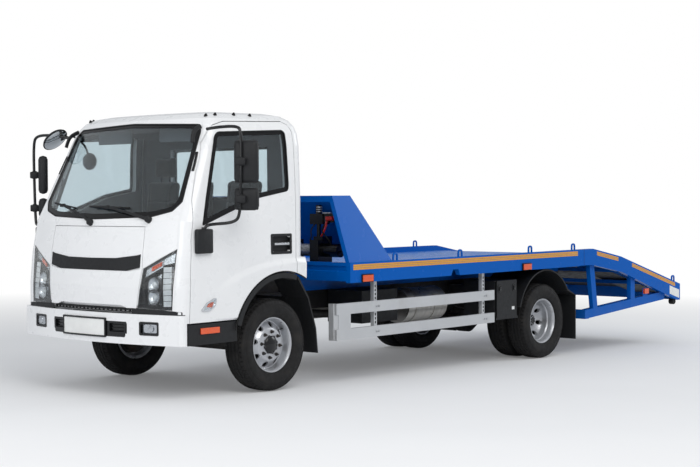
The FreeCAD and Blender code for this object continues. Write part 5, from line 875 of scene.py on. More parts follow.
RIM_EDGE = [(0.2085, -0.0780), (0.2230, -0.0855), (0.2330, -0.0880), (0.2350, -0.0840), (0.2345, -0.0800),
            (0.2255, -0.0780), (0.2255, 0.0780), (0.2345, 0.0800), (0.2352, 0.0845), (0.2320, 0.0880),
            (0.2260, 0.0868), (0.2195, 0.0790), (0.2140, 0.0680), (0.2110, 0.0500)]
FRONT_BACK = [(0.030, 0.044), (0.120, 0.044), (0.150, 0.030), (0.194, -0.010), (0.204, -0.020), (0.2085, -0.040)]
FRONT_FACE = [(0.2095, 0.0200), (0.2060, 0.0060), (0.2000, 0.0035), (0.1930, 0.0080), (0.1700, 0.0290),
              (0.1480, 0.0500), (0.1410, 0.0570), (0.1340, 0.0605), (0.1280, 0.0620), (0.0400, 0.0620)]
REAR_BACK = [(0.030, -0.127), (0.130, -0.127), (0.150, -0.119), (0.180, -0.097), (0.204, -0.074),
             (0.2085, -0.066)]
REAR_FACE = [(0.2095, 0.0200), (0.2010, 0.0080), (0.2000, -0.0100), (0.1965, -0.0420), (0.1900, -0.0580),
             (0.1650, -0.0830), (0.1380, -0.1050), (0.1300, -0.1100), (0.1220, -0.1120), (0.0400, -0.1120)]


def drilled(item, cutters):
    """The object less some closed forms, cut by an exact Boolean that is worked into its mesh."""
    mesh = joined_mesh("cutters", cutters, True)
    tool = bpy.data.objects.new("cutters", mesh)
    bpy.context.scene.collection.objects.link(tool)
    cut = item.modifiers.new("holes", "BOOLEAN")
    cut.operation, cut.solver, cut.object = "DIFFERENCE", "EXACT", tool
    apply_modifiers(item)
    item.data.set_sharp_from_angle(angle=math.radians(30))
    bpy.data.objects.remove(tool)
    bpy.data.meshes.remove(mesh)


def make_rim(name, middles, outward, back, front, body, stands_for):
    """Pressed wheels turned from one section, with eight hand holes cut through each disc."""
    grids, cutters = [], []
    for middle, way in zip(middles, (outward, -outward)):
        axis = np.array([way, 0.0, 0.0])
        grids.append(turned(back + RIM_EDGE + front, middle, axis, 96))
        deep = np.mean([row[1] for row in front[4:6]])
        cutters += ring_of(lambda at: [turned([(0.0245, -0.080), (0.0245, 0.080)], at, axis, 28)],
                           middle + axis * deep, axis, 0.170, 8, math.radians(34))
    drilled(piece(name, grids, "silver_rim", body, stands_for, world=True), cutters)


def studs(profile, centre, axis, radius, start, sides=16):
    """Eight turned studs on a circle."""
    return ring_of(lambda at: [turned(profile, at, axis, sides)], centre, axis, radius, 8, start)


def make_wheel_trim():
    """Pressed wheels with hand holes, their nuts and valves, black hubs and the front brake drums."""
    for side, sign in (("left", 1), ("right", -1)):
        axis = np.array([sign, 0.0, 0.0])
        middle = FRONT_AXLE * [sign, 1, 1]
        body = f"wheel_front_{side}"
        make_rim(f"pressed_wheel_front_{side}", [middle], sign, FRONT_BACK, FRONT_FACE, body,
                 (f"rim_front_{side}",))
        face = middle + axis * FRONT_FACE[-1][1]
        drum = turned([(0.170, -0.046), (0.184, -0.040), (0.186, -0.018), (0.176, -0.010)], middle, axis, 64)
        piece(f"brake_drum_front_{side}", [drum], "cast_metal", body, world=True)
        valve = np.array([(0.012, 0.150, 0.120), (0.030, 0.152, 0.122), (0.052, 0.158, 0.127)])
        cap = [turned([(0.076, -0.004), (0.076, 0.006), (0.070, 0.0135), (0.058, 0.0200), (0.043, 0.0250),
                       (0.028, 0.0280), (0.014, 0.0296), (0.004, 0.0300)], face, axis, 56)]
        cap += studs([(0.013, -0.002), (0.013, 0.008), (0.009, 0.012)], face, axis, 0.070, math.radians(16))
        cap.append(tube(middle + valve * [sign, 1, 1], 0.0042, 10))
        nuts = ring_of(lambda at: nut(at, axis), face, axis, NUT_CIRCLE, 8, math.radians(39))
        piece(f"wheel_nuts_front_{side}", nuts, "cast_metal", body, world=True)
        piece(f"hub_cap_front_{side}", cap, "gloss_black", body, world=True)
        body = f"wheels_rear_{side}"
        middles = rear_middles(side, sign)
        make_rim(f"pressed_wheels_rear_{side}", middles, sign, REAR_BACK, REAR_FACE, body, (f"rim_rear_{side}",))
        disc = middles[0] + axis * REAR_FACE[-1][1]
        nuts = ring_of(lambda at: nut(at, axis), disc, axis, NUT_CIRCLE, 8, math.radians(18))
        nuts += studs([(0.006, 0.0), (0.006, 0.005), (0.004, 0.007)], disc + axis * 0.0735, axis, 0.040, 0.0, 6)
        end = [turned([(0.078, -0.004), (0.078, 0.012), (0.070, 0.016), (0.060, 0.020), (0.058, 0.060),
                       (0.050, 0.072), (0.028, 0.076), (0.010, 0.077)], disc, axis, 56)]
        end += studs([(0.013, -0.002), (0.013, 0.014), (0.009, 0.018)], disc, axis, 0.072, math.radians(40))
        piece(f"wheel_nuts_rear_{side}", nuts, "zinc_steel", body, world=True)
        piece(f"hub_end_rear_{side}", end, "gloss_black", body, world=True)


# Windows

SCREEN_SHARES = ((0, 0.478), (0.610, 0.490), (0.790, 0.516), (0.852, 0.560), (0.785, 0.895), (0.735, 0.930),
                 (0, 0.945))
WINDOW_SHARES = ((0.236, 0.455), (0.650, 0.582), (0.862, 0.614), (0.868, 0.640), (0.862, 0.895), (0.850, 0.906),
                 (0.410, 0.888), (0.386, 0.868))
LAMP_SHARES = ((0.545, 0.066), (0.880, 0.060), (0.900, 0.345), (0.590, 0.250))
def from_front(shares):
    """Outline in shares of the cab's half width and height as metres across and up."""
    return np.asarray(shares, float) * [CAB_HALF, CAB_HIGH] + [0, CAB_LOW]


def from_side(shares):
    """Outline in shares of the cab's length and height as metres along and up."""
    return np.asarray(shares, float) * [CAB_LONG, CAB_HIGH] + [CAB_FRONT, CAB_LOW]


def make_windows():
    """Printed border and seal of the windscreen, seals of the door windows and the rear window's seal."""
    screen = both_sides(from_front(SCREEN_SHARES))
    rim, seal, seal_in = inset_loops(screen, (0.004, -0.001, 0.010), 0.02, 5, 14)
    clear = moved_in(screen, 0.048)
    clear[:, 1] += np.where(clear[:, 1] > 2.0, 0.014, -0.004) * (np.abs(clear[:, 0]) < 0.80)
    inner = rounded_loop(clear, 0.055, 5, 14)
    piece("windscreen_border", [band(rim, inner, front_face, -0.0045, -0.0020)], "glass_border", "cab")
    piece("windscreen_seal", [band(seal, seal_in, front_face, -0.006, 0.0015)], "rubber_seal", "cab")
    lip = inset_loops(from_side(WINDOW_SHARES), (-0.009, 0.006, 0.030), 0.03, 5, 10)
    side_piece("door_window_seal", [band(lip[0], lip[1], side_face, -0.010, 0.0025), band(lip[1], lip[2],
                                                                                          side_face, -0.0055,
                                                                                          -0.0030)],
               "glass_border", "door_{side}")
    rear = inset_loops(oblong(-0.62, 1.62, 0.62, 2.08), (-0.012, 0.022), 0.03, 5, 10)
    back_face = upright(lambda x, z: cab_rows(z)[3], 1)
    piece("rear_window_seal", [band(*rear, back_face, -0.010, 0.004)], "rubber_seal", "cab")


def wiper(pivot, elbow, blade_start, blade_end):
    """One wiper: pivot cap, bent arm, carrier, blade and clip, all just off the glass."""
    stand = 0.020
    blade_start, blade_end = np.array(blade_start), np.array(blade_end)
    places = ((pivot, 0.014), (elbow, stand + 0.008), ((blade_start + blade_end) / 2, stand + 0.004))
    foot, bend, tip = (front_face(*place_at, out) for place_at, out in places)
    arm = rounded_path([foot, foot * 0.7 + bend * 0.3, bend, tip], 3)
    x, z = (blade_start + (blade_end - blade_start) * np.linspace(0, 1, 14)[:, None]).T
    cap = turned([(0.029, -0.018), (0.029, 0.012), (0.021, 0.022), (0.009, 0.025)], foot, (0, -1, 0.5), 24)
    clip = block((-0.030, -0.010, -0.014), (0.030, 0.010, 0.014), 0.005, centre=tip)
    off_glass = (0.0, -0.9, 0.43)
    return [cap, tube(arm, np.linspace(0.016, 0.009, len(arm)), 12, 0.5, off_glass),
            tube(front_face(x, z, 0.007), 0.0075, 8, 0.6, off_glass),
            tube(front_face(x[2:-2], z[2:-2], stand), 0.0095, 10, 0.6, off_glass), clip]


def make_wipers():
    """Two wipers that park to the truck's right."""
    grids = wiper((-0.054, 1.442), (-0.200, 1.505), (-0.723, 1.601), (-0.335, 1.558))
    grids += wiper((0.603, 1.466), (0.380, 1.520), (-0.149, 1.572), (0.358, 1.558))
    piece("wipers", grids, "black_plastic", "cab")


# Lamps and front


def quad_patch(corners, low, high, count=14):
    """Closed slab over four corners on the cab's front: straight lines between opposite sides, both faces."""
    corners = np.asarray(corners, float)
    u, v = np.meshgrid(np.linspace(0, 1, count), np.linspace(0, 1, count), indexing="ij")
    weights = np.stack([(1 - u) * (1 - v), u * (1 - v), u * v, (1 - u) * v])
    flat = (weights[..., None] * corners[:, None, None]).sum(0)
    faces = [front_face(flat[..., 0], flat[..., 1], out) for out in (high, low)]
    up, last = np.arange(count - 1), count - 1
    rows = np.concatenate([0 * up, up, last + 0 * up, last - up])
    columns = np.concatenate([up, last + 0 * up, last - up, 0 * up])
    rim = np.stack([face[rows, columns] for face in faces])
    return [(faces[0], False, False), (faces[1], False, False), (rim, False, True)]


LAMP_FACING = (0, -1, 0.1)
LAMP_BOWLS = ((0.704, 0.943, 0.056), (0.711, 0.842, 0.058))
LAMP_STEP, LAMP_BLOCK, LAMP_LOW = 0.0455, 0.0415, 0.770
LAMP_CHROME = (((0.607, 0.996), (0.777, 1.086), (0.777, 1.150), (0.607, 1.060)),
               ((0.783, 1.100), (0.893, 1.124), (0.903, 1.212), (0.783, 1.154)))
LAMP_AMBER = ((0.676, 1.050), (0.762, 1.094), (0.768, 1.128), (0.680, 1.084))
LAMP_DARK = (((0.592, 0.765), (0.626, 0.768), (0.622, 0.945), (0.603, 0.985)),
             ((0.786, 0.765), (0.798, 0.765), (0.784, 1.078), (0.776, 1.074)),
             ((0.604, 0.972), (0.776, 1.064), (0.777, 1.082), (0.605, 0.992)),
             ((0.790, 1.084), (0.888, 1.106), (0.892, 1.120), (0.784, 1.096)))


def round_lamp(x, z, size):
    """Reflector, white bulb cap and dark ring of one round lamp."""
    at = front_face(x, z, -0.034)
    around = np.linspace(0, 2 * np.pi, 36, endpoint=False)
    bowl = turned([(size * 0.25, 0.004), (size * 0.50, 0.006), (size * 0.82, 0.015), (size, 0.026),
                   (size * 1.05, 0.026), (size * 1.05, 0.0)], at, LAMP_FACING, 36)
    bulb = turned([(size * 0.42, 0.004), (size * 0.42, 0.014), (size * 0.32, 0.022), (size * 0.14, 0.026)], at,
                  LAMP_FACING, 24)
    circle = front_face(x + size * 1.09 * np.cos(around), z + size * 1.09 * np.sin(around), -0.012)
    return bowl, bulb, tube(circle, 0.0045, 8, 1.0, (0, 1, 0), closed=True)


def make_headlamps():
    """Each headlamp: dark housing, bright bowls, a column of white blocks, an amber strip, a clear cover."""
    outline = from_front(LAMP_SHARES)
    edge = [rounded_loop(moved_in(outline, amount), radius, 2, 10) for amount, radius in ((0.003, 0.004),
                                                                                          (0.015, 0.006))]
    housing = quad_patch(moved_in(outline, 0.004), -0.0440, -0.0400) + [band(*edge, front_face, -0.042, -0.006)]
    bowls = quad_patch([(0.632, 0.784), (0.784, 0.784), (0.774, 1.040), (0.630, 0.950)], -0.0395, -0.0350, 6)
    whites = []
    for values in LAMP_BOWLS:
        for target, grid in zip((bowls, whites, housing), round_lamp(*values)):
            target.append(grid)
    for i in range(7):
        low = LAMP_LOW + LAMP_STEP * i
        high = low + LAMP_BLOCK
        x0, x1 = np.interp([low, high], [0.76, 1.08], [0.803, 0.789])
        x2, x3 = np.interp([low, high], [0.76, 1.10], [0.877, 0.864])
        whites += quad_patch([(x0, low), (x2, low + 0.004), (x3, high + 0.004), (x1, high)], -0.036, -0.013, 5)
    for corners in LAMP_CHROME:
        bowls += quad_patch(corners, -0.036, -0.022, 6)
    for corners in LAMP_DARK:
        housing += quad_patch(corners, -0.036, -0.011, 6)
    amber = quad_patch(LAMP_AMBER, -0.030, -0.011, 6)
    cover = quad_patch(moved_in(outline, 0.001), -0.0050, -0.0020, 18)
    for side in ("left", "right"):
        for grids, word, finish, stands_for in (
                (housing, "housing", "gloss_black", ()), (bowls, "bowls", "reflector", ()),
                (whites, "blocks", "lamp_white", ()), (amber, "amber", "amber_lens", ()),
                (cover, "cover", "lamp_lens", ("headlamps",))):
            grids = grids if side == "left" else turned_over(grids)
            piece(f"headlamp_{word}_{side}", grids, finish, "cab", stands_for)


BUMPER_FRONT = -1.212
SILL_X = 1.005
ARCH_Y, ARCH_Z, ARCH_RADIUS = 0.070, 0.430, 0.586
BEAD_X, BEAD_RADIUS = 1.018, 0.582


def make_front_trim():
    """Blank number plate in its frame, fog lamps, recesses with bars, inlet bars and ends, grille band."""
    bumper_face = upright(lambda x, z: BUMPER_FRONT + bow(x), -1)
    plate = oblong(-0.306, 0.513, 0.235, 0.660)
    rim = inset_loops(plate, (-0.006, 0.008), 0.008, 3, 10)
    piece("number_plate_frame", [band(*rim, bumper_face, -0.001, 0.013), patch(rim[0], bumper_face, -0.001,
                                                                               0.004)], "gloss_black", "cab")
    piece("number_plate", [patch(rounded_loop(moved_in(plate, 0.007), 0.006, 3, 10), bumper_face, 0.0042,
                                 0.0085)], "plate_white", "cab")
    dark = [band(*inset_loops(oblong(0.602, 0.545, 0.780, 0.643), (-0.006, 0.010), 0.014, 4, 6), bumper_face,
                 -0.020, 0.003)]
    dark += [tube(bumper_face(np.linspace(0.272, 0.444, 8), np.full(8, z), -0.016), 0.0055, 8)
             for z in (0.562, 0.586, 0.610)]
    recess = np.array([(0.276, 0.556), (0.440, 0.556), (0.446, 0.624), (0.276, 0.624)])
    recess_edge = [(0.230, 0.516), (0.448, 0.516), (0.464, 0.642), (0.230, 0.642)]
    edge, hole = (rounded_loop(corners, 0.012, 3, 8) for corners in (recess_edge, recess))
    dark.append(patch(rounded_loop(moved_in(recess, -0.010), 0.012, 3, 8), bumper_face, -0.0235, -0.0205))
    dark.append(band(edge, hole, bumper_face, -0.022, 0.0014))
    piece("fog_lamp_frames", left_and_right(dark), "gloss_black", "cab")
    fronts = [patch(rounded_loop(oblong(0.634, 0.560, 0.768, 0.628), 0.022, 5, 3), bumper_face, -0.018, -0.008),
              turned([(0.028, 0.0), (0.028, 0.005), (0.024, 0.009), (0.012, 0.011)], bumper_face(0.706, 0.594,
                                                                                                 -0.009),
                     (0, -1, 0), 28)]
    piece("fog_lamp_bowls", left_and_right(fronts), "reflector", "cab")
    slats = [tube(front_face(np.linspace(-0.50, 0.50, 24), np.full(24, z), -0.022), 0.0035, 8)
             for z in (0.722, 0.736, 0.750)]
    piece("air_inlet_bars", slats, "black_plastic", "cab")
    gap = [(0.498, 0.688), (0.975, 0.688), (0.975, 0.733), (0.880, 0.741), (0.502, 0.752)]
    gap = rounded_loop(gap, 0.006, 3, 12)
    piece("air_inlet_ends", left_and_right([patch(gap, front_face, -0.001, 0.0022)]), "black_plastic", "cab")
    outline = both_sides([(0, 1.050), (0.420, 1.050), (0.568, 1.080), (0.568, 1.186), (0.420, 1.152), (0, 1.148)])
    loops = inset_loops(outline, (0.0, 0.004), 0.004, 3, 12)
    slabs = [patch(loops[1], front_face, -0.012, 0.0026, 8), band(*loops, front_face, -0.012, 0.0012)]
    piece("grille_band_plate", slabs, "black_plastic", "front_panel", ("grille_band",))


def make_side_trim():
    """Side repeaters, sill reflectors, pillar vents, door handles and arch beads."""
    shape = np.array([(-0.868, 0.737), (-0.845, 0.729), (-0.770, 0.731), (-0.712, 0.770), (-0.703, 0.826),
                      (-0.722, 0.831), (-0.812, 0.792)])
    loop, inner = rounded_loop(shape, 0.012, 4, 4), rounded_loop(moved_in(shape, 0.010), 0.008, 4, 4)
    side_piece("repeater_frame", [band(loop, inner, side_face, -0.002, 0.012), patch(loop, side_face, -0.002,
                                                                                     0.004)], "chrome",
               "door_{side}")
    glow = rounded_loop([(-0.812, 0.760), (-0.752, 0.756), (-0.735, 0.800), (-0.785, 0.792)], 0.010, 4, 3)
    side_piece("repeater_bulb", [patch(glow, side_face, 0.0042, 0.0085)], "amber_lens", "door_{side}")
    side_piece("repeater_cover", [patch(inner, side_face, 0.009, 0.012)], "lamp_lens", "door_{side}")
    reflector = rounded_loop(oblong(-0.879, 0.548, -0.672, 0.596), 0.005, 3, 5)
    side_piece("sill_reflector", [patch(reflector, flat_side(SILL_X), -0.002, 0.008)], "amber_lens", "cab")
    vent = front_face(np.array([0.857, 0.852, 0.843, 0.833]), np.array([1.852, 1.905, 1.960, 2.008]), 0.002)
    side_piece("pillar_vent", [tube(rounded_path(vent, 2), 0.013, 14, 0.40, (0.27, -0.86, 0.42))], "gloss_black",
               "cab")
    cup = oblong(-0.060, 1.168, 0.174, 1.320)
    lip, mouth, well = (rounded_loop(moved_in(cup, amount), radius, 5, 4)
                        for amount, radius in ((-0.010, 0.016), (-0.003, 0.004), (0.012, 0.012)))
    grip_cover = rounded_loop(oblong(-0.059, 1.2270, 0.173, 1.2610), 0.004, 3, 8)
    side_piece("door_handle_cup", [band(lip, well, side_face, -0.003, 0.0022), band(mouth, well, side_face,
                                                                                    -0.0285, -0.002),
                                   patch(mouth, side_face, -0.0290, -0.0265), patch(grip_cover, side_face,
                                                                                    -0.024, 0.0012)],
               "black_plastic", "door_{side}")
    grip = side_face(np.linspace(-0.027, 0.149, 9), np.full(9, 1.244), 0.0016)
    side_piece("door_grip_bar", [tube(grip, 0.0088, 12, 0.5, (1, 0, 0))], "chrome", "door_{side}")
    turn = np.radians(np.linspace(61, 168, 40))
    arch = np.stack([np.full(40, BEAD_X), ARCH_Y + BEAD_RADIUS * np.cos(turn),
                     ARCH_Z + BEAD_RADIUS * np.sin(turn)], -1)
    side_piece("arch_bead", [tube(arch, 0.006, 10, 1.0, (1, 0, 0))], "rubber_seal", "cab")


CREASE = ((-0.794, 0.852), (-0.540, 1.001), (-0.190, 1.102), (0.207, 1.136), (0.352, 1.124))
def smooth_step(share):
    """Three squares less two cubes of a share held between 0 and 1."""
    share = np.clip(share, 0, 1)
    return share * share * (3 - 2 * share)


def flare(y0, y1, count, proud=0.018):
    """Swelling over the wheel arch: out from the crease line, then level down to the arch's circle.

    It fades out forwards. Each column is closed behind, just under the skin, and both ends close on a point.
    """
    line = rounded_path([(y, z, 0) for y, z in CREASE], 3)
    y = np.linspace(y0, y1, count)
    top = np.interp(y, line[:, 0], line[:, 1])
    low = ARCH_Z + np.sqrt(np.maximum(ARCH_RADIUS ** 2 - (y - ARCH_Y) ** 2, 0.224 ** 2))
    share = np.concatenate([np.linspace(0, 0.5, 14), np.linspace(0.55, 1, 10)])
    z = top[:, None] + (low - top)[:, None] * share
    rise = proud * smooth_step((y + 0.80) / 0.36)[:, None] * smooth_step((top[:, None] - z) / 0.060)
    outer = side_face(np.repeat(y[:, None], len(share), 1), z, 0.0004 + rise)
    inner = side_face(np.repeat(y[:, None], 2, 1), np.stack([low, top], 1), -0.002)
    rings = np.concatenate([outer, inner], 1)
    ends = [np.repeat(rings[i].mean(0)[None, None], rings.shape[1], 1) for i in (0, -1)]
    return np.concatenate([ends[0], rings, ends[1]]), False, True


def make_flares():
    """Crease and swelling over the front wheel arches, cut at the door's rear edge."""
    side_piece("arch_flare_door", [flare(-0.790, 0.2285, 90)], "cab_paint", "door_{side}")
    side_piece("arch_flare_cab", [flare(0.2385, 0.3540, 12)], "cab_paint", "cab")


ROOF_KNOBS = ((0.737, -0.547, 2.311), (0.777, -0.480, 2.319), (0.793, -0.281, 2.326), (0.819, -0.118, 2.322))


def make_roof_knobs():
    """Small rubber caps along both edges of the roof."""
    grids = [turned([(0.015, -0.006), (0.015, 0.006), (0.010, 0.014), (0.006, 0.021)], at, (0.3, -0.05, 0.95), 16)
             for at in ROOF_KNOBS]
    piece("roof_caps", left_and_right(grids), "rubber_seal", "cab")


# Mirrors

MIRROR_LOW, MIRROR_HIGH, WIDE_LOW, WIDE_HIGH = 1.752, 2.094, 1.534, 1.714
FOOT_LOW, FOOT_HIGH, FOOT_FRONT, FOOT_BACK, FOOT_X, FOOT_THICK = 1.192, 1.387, -0.935, -0.763, 1.006, 0.040
FOOT_PIN = (1.024, -0.849)
LEFT_MIRROR = (1.268, -0.672, math.radians(30), (0.032, 0.050), 0.0, 0.100)
RIGHT_MIRROR = (1.300, -0.745, math.radians(37), (-0.046, 0.078), -0.072, 0.104)
ROUND_AT, ROUND_FACING = (0.985, -0.755, 2.165), (-0.70, 0.12, -0.70)
KERB_AT, KERB_FACING = (1.015, -0.340, 1.975), (0.62, 0.75, -0.22)


def mirror_set(tube_x, tube_y, toe, shift, drop, half):
    """Tube, housings, glasses and clamps of one door's mirror, made for the left door.

    The housings turn about the upright by the toe angle: their width runs along (cos, sin), and they face
    (-sin, cos).
    """
    across = np.array([math.cos(toe), math.sin(toe), 0])
    facing = np.array([-math.sin(toe), math.cos(toe), 0])
    axes = np.stack([across, facing, [0, 0, 1]])
    path = [(0.935, -0.725, 2.190), (1.04, (tube_y - 0.725) / 2, 2.204), (tube_x - 0.035, tube_y, 2.206),
            (tube_x + 0.006, tube_y, 2.160 + drop * 0.5), (tube_x, tube_y, 1.80),
            (tube_x - 0.012, tube_y, 1.500 + drop), (tube_x - 0.060, tube_y - 0.018, 1.436 + drop * 0.6),
            (1.026, -0.800, 1.424), (1.024, -0.840, 1.400), (*FOOT_PIN, 1.330)]
    arm = [tube(rounded_path(path, 3), 0.0128, 14, 1.0, (0.3, 0.9, 0.1))]
    grids, glasses = [], []
    middle = np.array([tube_x, tube_y, 0]) + shift[0] * across + shift[1] * facing
    for low, high in ((MIRROR_LOW, MIRROR_HIGH), (WIDE_LOW, WIDE_HIGH)):
        at = middle + [0, 0, (low + high) / 2 + drop]
        tall = (high - low) / 2
        lug = np.array([tube_x - 0.004, tube_y, at[2]])
        grids += [block((-half, -0.042, -tall), (half, 0.042, tall), 0.034, axes, at),
                  block((-half + 0.004, 0.020, -tall + 0.004), (half - 0.004, 0.044, tall - 0.004), 0.010, axes,
                        at), block((-0.030, -0.024, -0.030), (0.050, 0.056, 0.030), 0.009, axes,
                                   lug + across * 0.006), turned([(0.021, -0.034), (0.021, 0.034),
                                                                  (0.018, 0.037)], lug, (0, 0, 1), 18)]
        glasses.append(block((-half + 0.016, 0.038, -tall + 0.016), (half - 0.016, 0.047, tall - 0.016), 0.0012,
                             axes, at + facing * 0.0025))
    pad = [side_face(y, z, 0.012) for y, z in ((-0.765, 2.085), (-0.752, 2.140), (-0.725, 2.188),
                                               (-0.650, 2.222))]
    grids += [block((FOOT_X - 0.004, FOOT_FRONT, FOOT_LOW), (FOOT_X + FOOT_THICK, FOOT_BACK, FOOT_HIGH), 0.012),
              turned([(0.020, 0.0), (0.020, 0.016), (0.016, 0.022)], (*FOOT_PIN, FOOT_HIGH - 0.006), (0, 0, 1),
                     18), tube(rounded_path(pad, 2), 0.020, 12, 0.55, (0.9, -0.2, 0.3))]
    return arm, grids, glasses


def kerb_mirror(profile):
    """A part of the kerb mirror: a turned form made taller than wide."""
    points, wrap_rows, wrap_columns = turned(profile, (0, 0, 0), KERB_FACING, 36)
    return points * [1, 1, 1.25] + np.array(KERB_AT), wrap_rows, wrap_columns


def make_mirrors():
    """The mirrors of both doors in place of the plain ones, and the right door's round and kerb mirrors."""
    left, right = mirror_set(*LEFT_MIRROR), mirror_set(*RIGHT_MIRROR)
    arms, housings, glasses = right
    housings += [turned([(0.030, -0.030), (0.080, -0.025), (0.112, -0.010), (0.122, 0.003), (0.122, 0.010),
                         (0.116, 0.012)], ROUND_AT, ROUND_FACING, 44),
                 kerb_mirror([(0.020, -0.024), (0.046, -0.018), (0.062, -0.004), (0.064, 0.008), (0.060, 0.010)])]
    glasses += [turned([(0.112, 0.004), (0.112, 0.0125), (0.080, 0.018), (0.040, 0.021)], ROUND_AT, ROUND_FACING,
                       44), kerb_mirror([(0.056, 0.004), (0.056, 0.0105), (0.030, 0.014)])]
    arms += [tube(rounded_path([(0.880, -0.690, 2.176), (0.930, -0.720, 2.192), (0.990, -0.752, 2.188)], 3),
                  0.015, 12, 1.0, (0, 1, 0.2)),
             tube(rounded_path([(0.915, -0.600, 2.190), (0.965, -0.500, 2.170), (1.010, -0.370, 2.090),
                                (1.020, -0.350, 1.990)], 3), 0.0095, 12, 1.0, (1, 0, 0))]
    for side, (arms, housings, glasses) in (("left", left), ("right", [turned_over(grids) for grids in right])):
        body = f"door_{side}"
        piece(f"mirror_arms_{side}", arms, "gloss_black", body, (f"mirrors_{side}",), angle=60)
        piece(f"mirror_housings_{side}", housings, "black_plastic", body, angle=50)
        piece(f"mirror_glass_{side}", glasses, "mirror", body)


# Deck

LASHING_X, LASHING_Y = 1.080, (1.498, 2.497, 3.710, 4.538, 6.748)
TAPES = ((0.887, 4.602, 0.050), (4.996, 5.452, 0.044), (5.756, 6.768, 0.044))
HANGER_X, HANGER_Y = 1.023, (1.280, 2.960)


def strip_on_rail(y0, y1, below, wide, steps=20, out=0.001):
    """Flat strip along a side rail's outer face, at a distance below its top edge."""
    y = np.linspace(y0, y1, steps)
    top = deck_top(y) - below
    rows = [(top, RAIL_X), (top, RAIL_X + out), (top - wide, RAIL_X + out), (top - wide, RAIL_X)]
    ring = np.stack([np.stack([np.full(steps, x), y, z], -1) for z, x in rows], 1)
    ends = [ring[i].mean(0)[None, None].repeat(4, 1) for i in (0, -1)]
    return np.concatenate([ends[0], ring, ends[1]]), False, True


def make_deck_trim():
    """Marking tape on the rails, lamp frames, flat black patches that paint the shade in the guards' hanger slot
    holes, and the hangers' bolts.
    """
    tapes = []
    for y0, y1, wide in TAPES:
        third = wide / 3
        tapes += [strip_on_rail(y0, y1, 0.018 + third * i, third - 0.0022) for i in range(3)]
    piece("rail_tape", left_and_right(tapes), "tape", "chassis")
    frames = [band(*inset_loops(oblong(y - 0.004, 0.876, y + 0.152, 0.948), (0.0, 0.010), 0.008, 3, 4),
                   flat_side(RAIL_X), 0.0, 0.015) for y in (1.000, 3.537)]
    piece("side_lamp_frames", left_and_right(frames), "rubber_seal", "chassis")
    slot_shade_patches, bolts = [], []
    for y in HANGER_Y:
        for low, count in ((0.480, 3), (0.700, 4)):
            for z in low + 0.018 + 0.036 * np.arange(count):
                # Each slot is drawn as a flat black patch on the hanger's face: painted shade standing for the
                # hole.
                loop = rounded_loop(oblong(y - 0.008, z - 0.012, y + 0.008, z + 0.012), 0.006, 3, 1)
                slot_shade_patches.append(patch(loop, flat_side(HANGER_X), -0.001, 0.0006, 2))
        bolts += [turned([(0.011, 0.0), (0.011, 0.007), (0.007, 0.009)], (1.050, y + shift, z), (1, 0, 0), 6)
                  for shift in (-0.018, 0.018) for z in (0.420, 0.648)]
    piece("hanger_slots", left_and_right(slot_shade_patches), "gloss_black", "chassis")
    piece("guard_bolts", left_and_right(bolts), "zinc_steel", "chassis")


def make_box_trim():
    """Latches and a blank label place on the tool box door."""
    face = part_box("tool_box_door")[1][0]
    latches = []
    for y in (3.225, 3.480):
        loops = inset_loops(oblong(y - 0.030, 0.665, y + 0.030, 0.745), (0.0, 0.012), 0.026, 5, 2)
        latches += [band(*loops, flat_side(face), -0.001, 0.004),
                    block((face - 0.001, y - 0.014, 0.680), (face + 0.012, y + 0.014, 0.722), 0.004)]
    label = rounded_loop(oblong(3.440, 0.480, 3.486, 0.512), 0.003, 2, 2)
    piece("tool_box_latches", latches, "gloss_black", "tool_box_door")
    piece("tool_box_patch", [patch(label, flat_side(face), -0.0005, 0.001, 2)], "plate_white", "tool_box_door")


ROPE_TURNS, ROPE_STEPS, ROPE_CENTRE_RADIUS, ROPE_RADIUS = 22, 28, 0.052, 0.0052
RED_LEAD = ((0.66, 1.03, 1.43), (0.662, 1.02, 1.375), (0.62, 1.03, 1.31), (0.56, 1.05, 1.26),
            (0.52, 1.065, 1.225), (0.500, 1.08, 1.190))
BLACK_LEADS = (
    (0.0075, ((0.63, 1.05, 1.40), (0.60, 1.02, 1.33), (0.66, 1.03, 1.27), (0.69, 1.06, 1.21), (0.62, 1.08, 1.16))),
    (0.006, ((0.50, 1.06, 1.40), (0.47, 1.02, 1.34), (0.50, 1.00, 1.28), (0.46, 1.02, 1.235))),
    (0.0075, ((0.70, 1.085, 1.12), (0.80, 1.09, 1.15), (0.86, 1.12, 1.10), (0.86, 1.16, 1.07))))


def make_winch_trim():
    """Rope on the drum, leads, the red plug cover and the control box's ribs."""
    drum = np.array(JOINTS["winch_drum_turn"]["pos_m"])
    low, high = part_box("winch_drum")
    half = (high[0] - low[0]) / 2 - 0.016
    along = np.linspace(0, 1, ROPE_TURNS * ROPE_STEPS + 1)
    angle = 2 * np.pi * ROPE_TURNS * along
    rope = drum + np.stack([half * (2 * along - 1), ROPE_CENTRE_RADIUS * np.cos(angle),
                            ROPE_CENTRE_RADIUS * np.sin(angle)], -1)
    piece("winch_rope", [tube(rope, ROPE_RADIUS, 8, 1.0, (1, 0, 0))], "zinc_steel", "winch_drum", world=True)
    piece("winch_red_lead", [tube(rounded_path(RED_LEAD, 3), 0.0100, 12)], "signal_red", "chassis")
    piece("winch_black_leads", [tube(rounded_path(path, 3), radius, 10) for radius, path in BLACK_LEADS],
          "rubber_seal", "chassis")
    piece("winch_plug_cover", [block((0.655, 1.012, 1.424), (0.735, 1.104, 1.462), 0.006)], "signal_red",
          "chassis")
    ribs = [turned([(0.030, 0.0), (0.030, 0.006), (0.026, 0.010)], (0.520, 1.085, z), (0, 0, 1), 24)
            for z in (1.500, 1.520, 1.540)]
    ribs.append(block((0.608, 1.030, 1.484), (0.700, 1.090, 1.500), 0.005))
    piece("winch_cap_ribs", ribs, "zinc_steel", "chassis")


